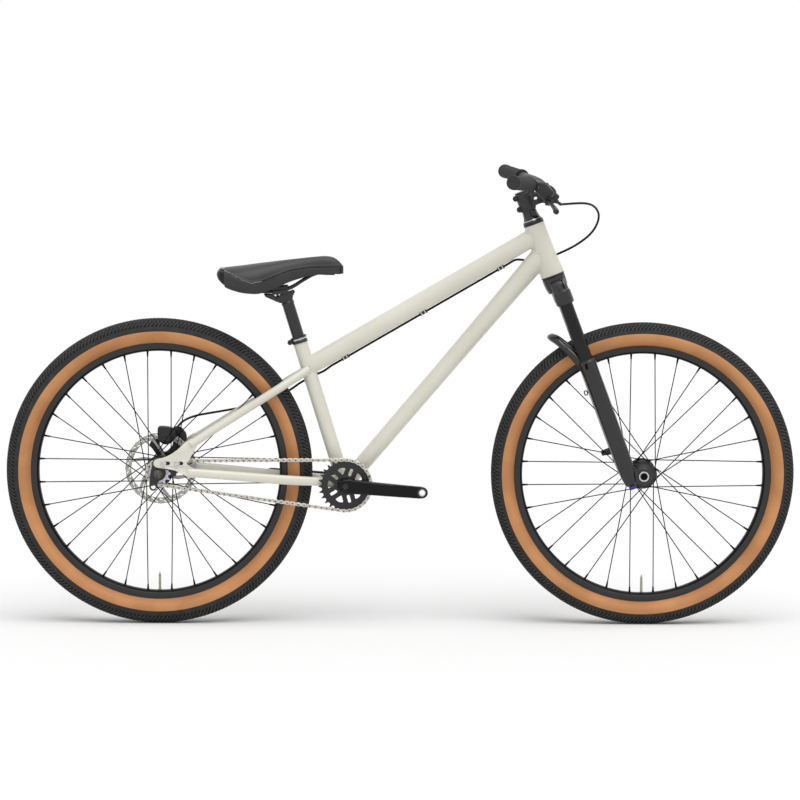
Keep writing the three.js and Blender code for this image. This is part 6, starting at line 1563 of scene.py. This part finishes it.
# A grip's outer end and its ring are (radius, distance from that end).
grip = {"start": 242, "length": 137.5, "radius": 15.2, "pitch": 5.0, "depth": 0.85, "cuff": 12,
        "rings": 220, "inner": [(11.4, 0), (16.2, 0), (17, 0.8), (17, 4.6), (16.4, 5.6), (15.2, 6.6),
                                (15.0, 11)],
        "outer": [(15.0, -10), (15.6, -8), (15.6, -1.2), (14.2, 0), (3, 0.2), (0.3, -0.6), (0.3, -4),
                  (11.4, -4)], "ring": [(14.9, -9.4), (15.9, -9.0), (15.9, -7.2), (14.9, -6.8)]}


# Rings along the grip: r(h) = R - d cos^4(pi h / pitch), between plain cuffs
def makeGrips():
    g = grip
    length = g["length"] / barAxis()[1]
    h = np.linspace(g["cuff"], length - g["cuff"], g["rings"])
    ribs = g["radius"] - g["depth"] * np.cos(math.pi * h / g["pitch"]) ** 4
    outer, ringed = (np.array(g[part]) + [0, length] for part in ("outer", "ring"))
    section = np.concatenate([g["inner"], np.stack([ribs, h], -1), outer])
    for name, side in (("left", 1), ("right", -1)):
        foot, axis = alongBar(g["start"], side), barAxis(side)
        skins = [turned(section, foot, axis, 56, 0.0, loop=True), turned(ringed, foot, axis, 48, 0.2)]
        piece("grip_" + name, (gripRubber, skins))


# Body and chamber are drawn in shares of the reach about the pivot; low and high are places across. Nipple
# is two places from the pivot, and lug is (places along its axis, radius). Collar is a half section. The
# blade is in shares of its own reach.
lever = {"pivot": (-4.7, -220, -7), "axis": (-0.585, 0, -0.811), "reach": 60, "low": -214, "high": -196,
         "body": [(-0.533, 0.567), (-0.433, 0.71), (-0.133, 0.692), (0.138, 0.4), (0.433, 0.18),
                  (0.283, -0.042), (0.1, -0.15), (-0.067, -0.078), (-0.5, 0.367)],
         "chamber": [(-0.36, 0.58), (-0.05, 0.34), (0.22, 0.1)], "chamberRadii": (8.6, 9.6, 8.2),
         "collarPlace": 217, "collar": [(11.6, -5.5), (14.4, -5.5), (14.8, -4.9)], "barrel": (3, 0, -15.5),
         "barrelHalf": (5, 4.4), "screw": (14.6, 0, -6), "screwAxis": (1, 0, -0.4), "screwSize": (3.2, 2.4),
         "lug": (4.3, 7.9, 7.6), "web": 6.1, "webReach": (10, 14, 10), "webSizes": ((3.4, 6.4), (3.0, 5.6)),
         "pin": (8.6, 2.4), "nipple": ((15, 8, 1.2), (27.3, 17.8, -7.32)), "nippleRadii": (3.4, 4.9, 3.0),
         "nut": (2, 7), "sleeve": (-5, 1.5), "bladeReach": (118, -118, 118),
         "bladeSizes": ((3.4, 3.3), (6.4, 5.9)),
         "blade": [(0, 0, 0), (0.06, 0.36, -0.065), (0.1, 0.72, -0.12), (0.105, 1, -0.15)], "eye": (4, 4.7),
         "holes": (34, 40, 46), "hole": (3.35, 1.7)}
pivot = barCentre + np.array(lever["pivot"])
pivotAxis = unit(lever["axis"])


# A rod centred on a point: (half its length, radius)
def crossRod(middle, axis, size, segments, soft):
    half, radius = size
    return rod(middle - half * axis, middle + half * axis, radius, segments, soft)


def makeLeverBody():
    s = lever
    outline = smoothPath(softened(np.array(s["body"]) * s["reach"], 6, 4), 120, closed=True)
    place = s["pivot"][1]
    body = plate(outline, s["low"], s["high"], pivot - place * left, 4.6)
    middle = (s["low"] + s["high"]) / 2
    swell = np.array([pivot + [x, middle - place, z] for x, z in np.array(s["chamber"]) * s["reach"]])
    foot = alongBar(s["collarPlace"], -1)
    parts = [body, tube(swell, s["chamberRadii"], 28, left, soft=3),
             turned(bothSides(s["collar"]), foot, barAxis(-1), 56, 0.3),
             crossRod(foot + s["barrel"], left, s["barrelHalf"], 20, 0.8)]
    near, far, radius = s["lug"]
    for out in (-pivotAxis, pivotAxis):
        parts.append(rod(pivot + near * out, pivot + far * out, radius, 28, 0.8))
        web = pivot + s["web"] * out
        parts.append(tube([web, web + s["webReach"]], s["webSizes"], 20, pivotAxis, power=0.7))
    screws = [boltHead(foot + s["screw"], unit(s["screwAxis"]), *s["screwSize"], 18),
              crossRod(pivot, pivotAxis, s["pin"], 16, 0.3)]
    start, end = pivot + s["nipple"]
    way = unit(end - start)
    wide, nut, thin = s["nippleRadii"]
    nipple = [rod(start, end, wide, 24, 0.5), rod(*(start + along * way for along in s["nut"]), nut, 6, 0.4),
              rod(*(end + along * way for along in s["sleeve"]), thin, 20, 0.5)]
    piece("lever_body", (satinBlack, parts), (darkGrey, nipple), (pinSteel, screws))


def makeLeverBlade():
    line = smoothPath(np.array(lever["blade"]) * lever["bladeReach"], 60) + pivot
    sizes = np.linspace(*lever["bladeSizes"], len(line))
    parts = [tube(line, sizes, 28, pivotAxis, power=0.8, soft=2.4),
             crossRod(pivot, pivotAxis, lever["eye"], 28, 0.6)]
    # The blade's holes are near-black rods through it: painted shade.
    holes = [crossRod(line[k], pivotAxis, lever["hole"], 16, 0.1) for k in lever["holes"]]
    piece("lever_blade", (satinBlack, parts), (paintedShade, holes))


makeStem()
makeStemCovers()
makeBar()
makeGrips()
makeLeverBody()
makeLeverBlade()
print("cockpit built")

# Brake. Outlines, bolts, caps and screws are in hundreds of millimetres about the rear axle; the first two
# numbers of a half or of the bracket's plate are places across, and the third is its bevel.
caliper = {"outline": [(-0.074, 0.94), (0.05, 0.95), (0.274, 0.92), (0.343, 0.806), (0.274, 0.58),
                       (0.096, 0.524), (-0.063, 0.625)],
           "halves": ((38, 50.4, 2.2), (53.6, 60, 1.6)), "bridge": (88, 52.0),
           "bridgeAngles": (1.32, 1.62, 14), "bridgeSize": (4.5, 9.0), "bolts": ((0.0, 0.86), (0.24, 0.84)),
           "bolt": (3.6, 2.6), "capPlace": (0.13, 0.7), "faces": (59.8, 38.2),
           "cap": [(0, 0), (8.6, 0), (8.6, 1.1), (7.4, 1.8), (6.6, 1.3), (0, 1.3)],
           "hosePlace": (32, 54, 89), "hoseNut": (0, 5.4, -6, 6)}
bracket = {"outline": [(-0.04, 0.15), (0.16, 0.15), (0.3, 0.34), (0.58, 0.64), (0.56, 0.78), (0.44, 0.93),
                       (0.3, 0.88), (0.28, 0.7), (0.25, 0.5), (0.14, 0.38), (0.05, 0.34), (-0.02, 0.42),
                       (-0.04, 0.7), (-0.18, 0.68), (-0.27, 0.52), (-0.14, 0.34), (-0.08, 0.24)],
           "plate": (60.3, 67.2, 1.2), "screws": ((-0.15, 0.58), (0.43, 0.78), (0.06, 0.25)), "face": 60.4,
           "screw": (4.6, 3.2)}


# Two halves either side of the disc, joined by a bridge beyond its edge, and the bracket that carries them
def makeCaliper():
    at = lambda place, across: rearCentre + [100 * place[0], across, 100 * place[1]]
    drawn = lambda outline, corner, steps, count: smoothPath(
        softened(np.array(outline) * 100, corner, steps), count, closed=True)
    shape = drawn(caliper["outline"], 10, 4, 120)
    parts = [plate(shape, low, high, rearCentre, bevel) for low, high, bevel in caliper["halves"]]
    radius, place = caliper["bridge"]
    x, z = polar(radius, np.linspace(*caliper["bridgeAngles"])).T
    bridge = rearCentre + np.stack([x, np.full(len(x), place), z], -1)
    parts.append(tube(bridge, [caliper["bridgeSize"]], 24, left, power=0.6, soft=1.5))
    outer, inner = caliper["faces"]
    bolts = [boltHead(at(bolt, outer), left, *caliper["bolt"], 20) for bolt in caliper["bolts"]]
    for face, axis in ((outer, left), (inner, -left)):
        bolts.append(turned(caliper["cap"], at(caliper["capPlace"], face), axis, 32, 0.2))
    bolts.append(band(*caliper["hoseNut"], rearCentre + caliper["hosePlace"], left, 6, 0.4))
    piece("caliper", (satinBlack, parts), (darkGrey, bolts))
    low, high, bevel = bracket["plate"]
    body = plate(drawn(bracket["outline"], 3.5, 3, 200), low, high, rearCentre, bevel)
    screws = [boltHead(at(screw, bracket["face"]), -left, *bracket["screw"], 24)
              for screw in bracket["screws"]]
    piece("caliper_bracket", (satinBlack, body), (darkGrey, screws))


makeCaliper()
print("brake built")

# Seat. Shaft and neck are (radius, height up the seat tube); the three outlines are in hundreds of
# millimetres about the post's head.
post = {"shaft": [(12.2, 151), (13.6, 151), (13.6, 424), (11, 428), (0.3, 428), (0.3, 404), (12.2, 404)],
        "neck": [(13.4, 416), (14.6, 418.5), (14.6, 421), (13.4, 423.5)], "head": 445, "headHalf": 13,
        "outline": [(-0.09, -0.24), (-0.42, -0.1), (-0.46, -0.03), (-0.27, -0.035), (-0.17, -0.11),
                    (-0.07, -0.03), (0.2, 0.06), (0.24, 0.02), (0.19, -0.08), (0.18, -0.22)],
        "cradleHalf": 28, "cradle": [(-0.27, -0.05), (0.08, -0.01), (0.08, 0.084), (-0.27, 0.037)],
        "clamp": [(-0.27, 0.043), (0.08, 0.09), (0.08, 0.16), (-0.27, 0.12)], "bolt": (-14, 0, 6),
        "boltAxis": (0.12, 0, 1), "boltEnds": (-22, 10), "boltRadius": 2.6, "boltHead": (4.6, 5.0),
        "washer": (2.6, 6, 0, 1.6)}
postHead = seatPoint(0, 0, post["head"])


def makePost():
    flat = lambda part, corner, half, bevel: plate(
        softened(np.array(post[part]) * 100, corner, 4), -half, half, postHead, bevel)
    shaft, neck = (turned(post[part], seatFoot, seatUp, 72, soft)
                   for part, soft in (("shaft", 0.8), ("neck", 0.6)))
    head, cradle = flat("outline", 2.4, post["headHalf"], 1.8), flat("cradle", 2.5, post["cradleHalf"], 1.0)
    piece("seatpost", (glossBlack, [shaft, neck, head, cradle]))
    axis = unit(post["boltAxis"])
    low, high = (postHead + post["bolt"] + place * axis for place in post["boltEnds"])
    screws = [rod(low, high, post["boltRadius"], 16, 0.3), boltHead(low, -axis, *post["boltHead"], 24),
              band(*post["washer"], low, axis, 28, 0.3)]
    piece("saddle_clamp", (satinBlack, flat("clamp", 2.2, post["cradleHalf"], 1.0)), (pinSteel, screws))


# A section is shares of the saddle's sizes: its place from the back, half width, top and edge. The seam is
# (share of the length, share of the top); rails are shares of the length.
saddle = {"sizes": (279, 70, 81.6, 81.6), "place": (-148.7, 0, -1.3), "power": 0.62, "rows": 150,
          "steps": 150,
          "sections": [(0, 0.45, 0.58, 0.5), (0.02, 0.62, 0.665, 0.38), (0.075, 0.82, 0.69, 0.23),
                       (0.14, 0.95, 0.715, 0.145), (0.215, 1, 0.745, 0.085), (0.32, 0.96, 0.795, 0.06),
                       (0.4, 0.82, 0.83, 0.13), (0.47, 0.68, 0.862, 0.21), (0.575, 0.5, 0.907, 0.365),
                       (0.66, 0.38, 0.94, 0.455), (0.775, 0.29, 0.982, 0.55), (0.865, 0.272, 1, 0.545),
                       (0.918, 0.258, 0.968, 0.54), (0.965, 0.222, 0.865, 0.535), (1, 0.15, 0.72, 0.55)],
          "seam": [(0, 0.66), (0.05, 0.62), (0.12, 0.53), (0.2, 0.38), (0.27, 0.3), (0.33, 0.315),
                   (0.383, 0.373), (0.48, 0.5), (0.577, 0.62), (0.66, 0.665), (0.754, 0.705),
                   (0.948, 0.718), (1, 0.7)],
          "thickness": 3.4, "lipDrop": 1.4, "groove": (1.2, 0, 1.1), "swell": (0.9, 0.035, 1.8),
          "bumper": 0.058, "bumperRise": 0.3, "seamHalf": 0.8, "highlightHalf": 0.8, "highlightEnd": 0.36,
          "noseSeam": (0.972, 0.978),
          "rails": [(0.913, 0.02, 0.17), (0.777, 0.029, 0.151), (0.687, 0.047, 0.105),
                    (0.569, 0.072, 0.037), (0.383, 0.079, 0.0118), (0.239, 0.09, 0.0405),
                    (0.117, 0.1, 0.123)], "railRadius": 3.5}
saddleOrigin = postHead + np.array(saddle["place"])


# Saddle sections: (w sgn(cos) |cos|^0.62, foot + rise |sin|^0.62), each an arch open below
def saddleArch(table, inset=0.0):
    place, half, top, foot = (table * saddle["sizes"]).T[..., None]
    c, s = squared(np.linspace(0, math.pi, saddle["steps"]), saddle["power"])
    height = foot + (top - inset - foot) * s
    return saddleOrigin + np.stack(np.broadcast_arrays(place, (half - inset) * c, height), -1)


# The cover is an outer and an inner arch with a lip at both edges. The seam is a groove, with a swelling
# above it: size e^-((h - seam - rise) / width)^2, laid outwards. Finishes: 0 skin, 1 seam, near black as
# painted shade in its groove, 2 bumper and ends, 3 a light grey band just above the seam, a painted
# highlight.
def makeCover():
    s = saddle
    table, scale = smoothTable(s["sections"], s["rows"]), s["sizes"][2]
    outer, inner = saddleArch(table), saddleArch(table, s["thickness"])
    seam = np.interp(table[:, :1], *np.array(s["seam"]).T)
    height = (outer[..., 2] - saddleOrigin[2]) / scale
    bell = lambda size, rise, width: size * np.exp(-((height - seam - rise) * scale / width) ** 2)
    centre = np.stack([outer[..., 0], 0 * height, saddleOrigin[2] + height * scale * 0.5], -1)
    outer = outer + unit(outer - centre) * (bell(*s["swell"]) - bell(*s["groove"]))[..., None]
    lip = 0.5 * (outer[:, [-1, 0]] + inner[:, [-1, 0]]) - [0, 0, s["lipDrop"]]
    ring = np.concatenate([outer, lip[:, :1], inner[:, ::-1], lip[:, 1:]], 1)
    along, above = table[:-1, :1], (ring[:-1, :, 2] - saddleOrigin[2]) / scale - seam[:-1]
    between = lambda low, high: (along > low) & (along < high)
    overSeam = np.abs(above * scale - s["seamHalf"] - s["highlightHalf"])
    finish = np.zeros(above.shape, int)
    finish[(along < s["bumper"]) & (above < s["bumperRise"])] = 2
    # Finish 1 paints the seam's groove near black: painted shade.
    finish[(np.abs(above) * scale < s["seamHalf"]) | (between(*s["noseSeam"]) & (above < 0))] = 1
    # Finish 3 is a light grey band just above the seam: a painted highlight.
    finish[(overSeam < s["highlightHalf"]) & between(s["bumper"], s["highlightEnd"])] = 3
    finish[:, s["steps"] - 1:] = 0
    skin = gridSkin(ring, finish=np.concatenate([finish.ravel(), np.full(2 * ring.shape[1], 2)]))
    return piece("saddle_cover", ((saddleSkin, paintedShade, bumperBlack, paintedHighlight), skin), sharp=60)


# Insets and drops are from the cover's half width and edge; socket, arm, nose and block are places from the
# rail's end.
base = {"rows": 90, "steps": 33, "inset": 3.6, "lift": 2.0, "camber": (0.34, 0.8), "thickness": 3.0,
        "edge": (1.6, -1.4), "edgeSize": (1.6, 2.6), "socket": (-8, 7, 5.6), "arm": (2, 12, 6),
        "armSizes": ((6.5, 5.5), (9, 6)), "nose": ((-9, -5.6, 1), (8, -5.6, 3)), "noseSize": (9.4, 5.4),
        "block": ((0, -5.6, 2), (2, -5.6, 16)), "blockSizes": ((9, 7), (11, 9))}


# The shell is cambered: c cos(pi t / 2)^0.8 of the height under the cover, over the share t of the half
# width. It has a rim along each edge, two sockets for the rails behind, and a block for them at the nose.
def makeSaddleBase():
    b = base
    place, half, top, foot = (smoothTable(saddle["sections"], b["rows"])[2:-2] * saddle["sizes"]).T[..., None]
    x, low = saddleOrigin[0] + place, saddleOrigin[2] + foot
    t, (share, power) = np.linspace(-1, 1, b["steps"]), b["camber"]
    camber = (top - foot) * share * np.cos(t * math.pi / 2) ** power
    roof = np.stack(np.broadcast_arrays(x, (half - b["inset"]) * t, low + b["lift"] + camber), -1)
    parts, rails = [gridSkin(np.concatenate([roof, roof[:, ::-1] - [0, 0, b["thickness"]]], 1))], []
    inset, rise = b["edge"]
    for side in (-1, 1):
        edge = np.concatenate([x, side * (half - inset), low + rise], 1)
        parts.append(tube(edge[4:-4], [b["edgeSize"]], 16, up, power=0.8, soft=1.0))
    row = np.array(saddle["rails"]) * saddle["sizes"][0]
    (back, front, radius), (start, end, rise) = b["socket"], b["arm"]
    for side in (-1, 1):
        line = saddleOrigin + smoothPath(row * [1, side, 1], 120)
        rails.append(tube(line, saddle["railRadius"], 24, soft=0.6))
        socket, way = line[-1], unit(line[-1] - line[-6])
        parts.append(rod(socket + back * way, socket + front * way, radius, 24, 0.8))
        arm = [socket + start * way, socket + end * way + rise * up]
        parts.append(tube(arm, b["armSizes"], 20, left, power=0.8))
    noseEnd = saddleOrigin + row[0]
    parts.append(tube(noseEnd + b["nose"], [b["noseSize"]], 24, up, power=0.7, soft=1.2))
    parts.append(tube(noseEnd + b["block"], b["blockSizes"], 24, forward, power=0.7))
    piece("saddle_rails", (satinBlack, rails))
    piece("saddle_shell", (glossBlack, parts))


makePost()
cover = makeCover()
makeSaddleBase()
print("seat built")

# Stage: a pale floor, a soft light from above and in front, and a white world
light = {"ambient": 0.45, "sun": 0.7, "softness": 60, "toward": (0.15, -0.35, 0.93), "height": 3,
         "floor": (246, 246, 246), "floorReach": 60, "roughness": 0.9, "shine": 0.1}


def makeFloor():
    half = light["floorReach"] / 2
    mesh = bpy.data.meshes.new("floor")
    corners = [(-half, -half, 0), (half, -half, 0), (half, half, 0), (-half, half, 0)]
    mesh.from_pydata(corners, [], [(0, 1, 2, 3)])
    floor = bpy.data.objects.new("floor", mesh)
    bpy.context.scene.collection.objects.link(floor)
    paper = bpy.data.materials.new("paper")
    paper.use_nodes = True
    shader = paper.node_tree.nodes["Principled BSDF"]
    shader.inputs["Base Color"].default_value = linear(light["floor"])
    shader.inputs["Roughness"].default_value = light["roughness"]
    shader.inputs["Specular IOR Level"].default_value = light["shine"]
    mesh.materials.append(paper)
    return floor


def makeSky():
    data = bpy.data.lights.new("sky", "SUN")
    data.energy = math.pi * light["sun"]
    data.angle = math.radians(light["softness"])
    lamp = bpy.data.objects.new("sky", data)
    bpy.context.scene.collection.objects.link(lamp)
    toward = unit(light["toward"])
    side = unit(np.cross(up, toward))
    turn = np.identity(4)
    turn[:3] = np.stack([side, np.cross(toward, side), toward, light["height"] * up], -1)
    lamp.matrix_world = turn.T.tolist()


# White to the camera, to reflections and through glass; its light on surfaces is the ambient share.
def makeWorld():
    world = bpy.data.worlds.new("studio")
    bpy.context.scene.world = world
    world.use_nodes = True
    nodes, links = world.node_tree.nodes, world.node_tree.links
    seen, around = nodes["Background"], nodes.new("ShaderNodeBackground")
    seen.inputs["Color"].default_value = around.inputs["Color"].default_value = (1, 1, 1, 1)
    around.inputs["Strength"].default_value = light["ambient"]
    ray, mix = nodes.new("ShaderNodeLightPath"), nodes.new("ShaderNodeMixShader")
    first, second = (nodes.new("ShaderNodeMath") for _ in range(2))
    first.operation = second.operation = "MAXIMUM"
    joins = [(ray.outputs["Is Camera Ray"], first.inputs[0]), (ray.outputs["Is Glossy Ray"], first.inputs[1]),
             (first.outputs[0], second.inputs[0]), (ray.outputs["Is Transmission Ray"], second.inputs[1]),
             (second.outputs[0], mix.inputs[0]), (around.outputs[0], mix.inputs[1]),
             (seen.outputs[0], mix.inputs[2]), (mix.outputs[0], nodes["World Output"].inputs["Surface"])]
    for output, socket in joins:
        links.new(output, socket)
    bpy.context.scene.view_settings.view_transform = "Standard"


floor = makeFloor()
makeSky()
makeWorld()
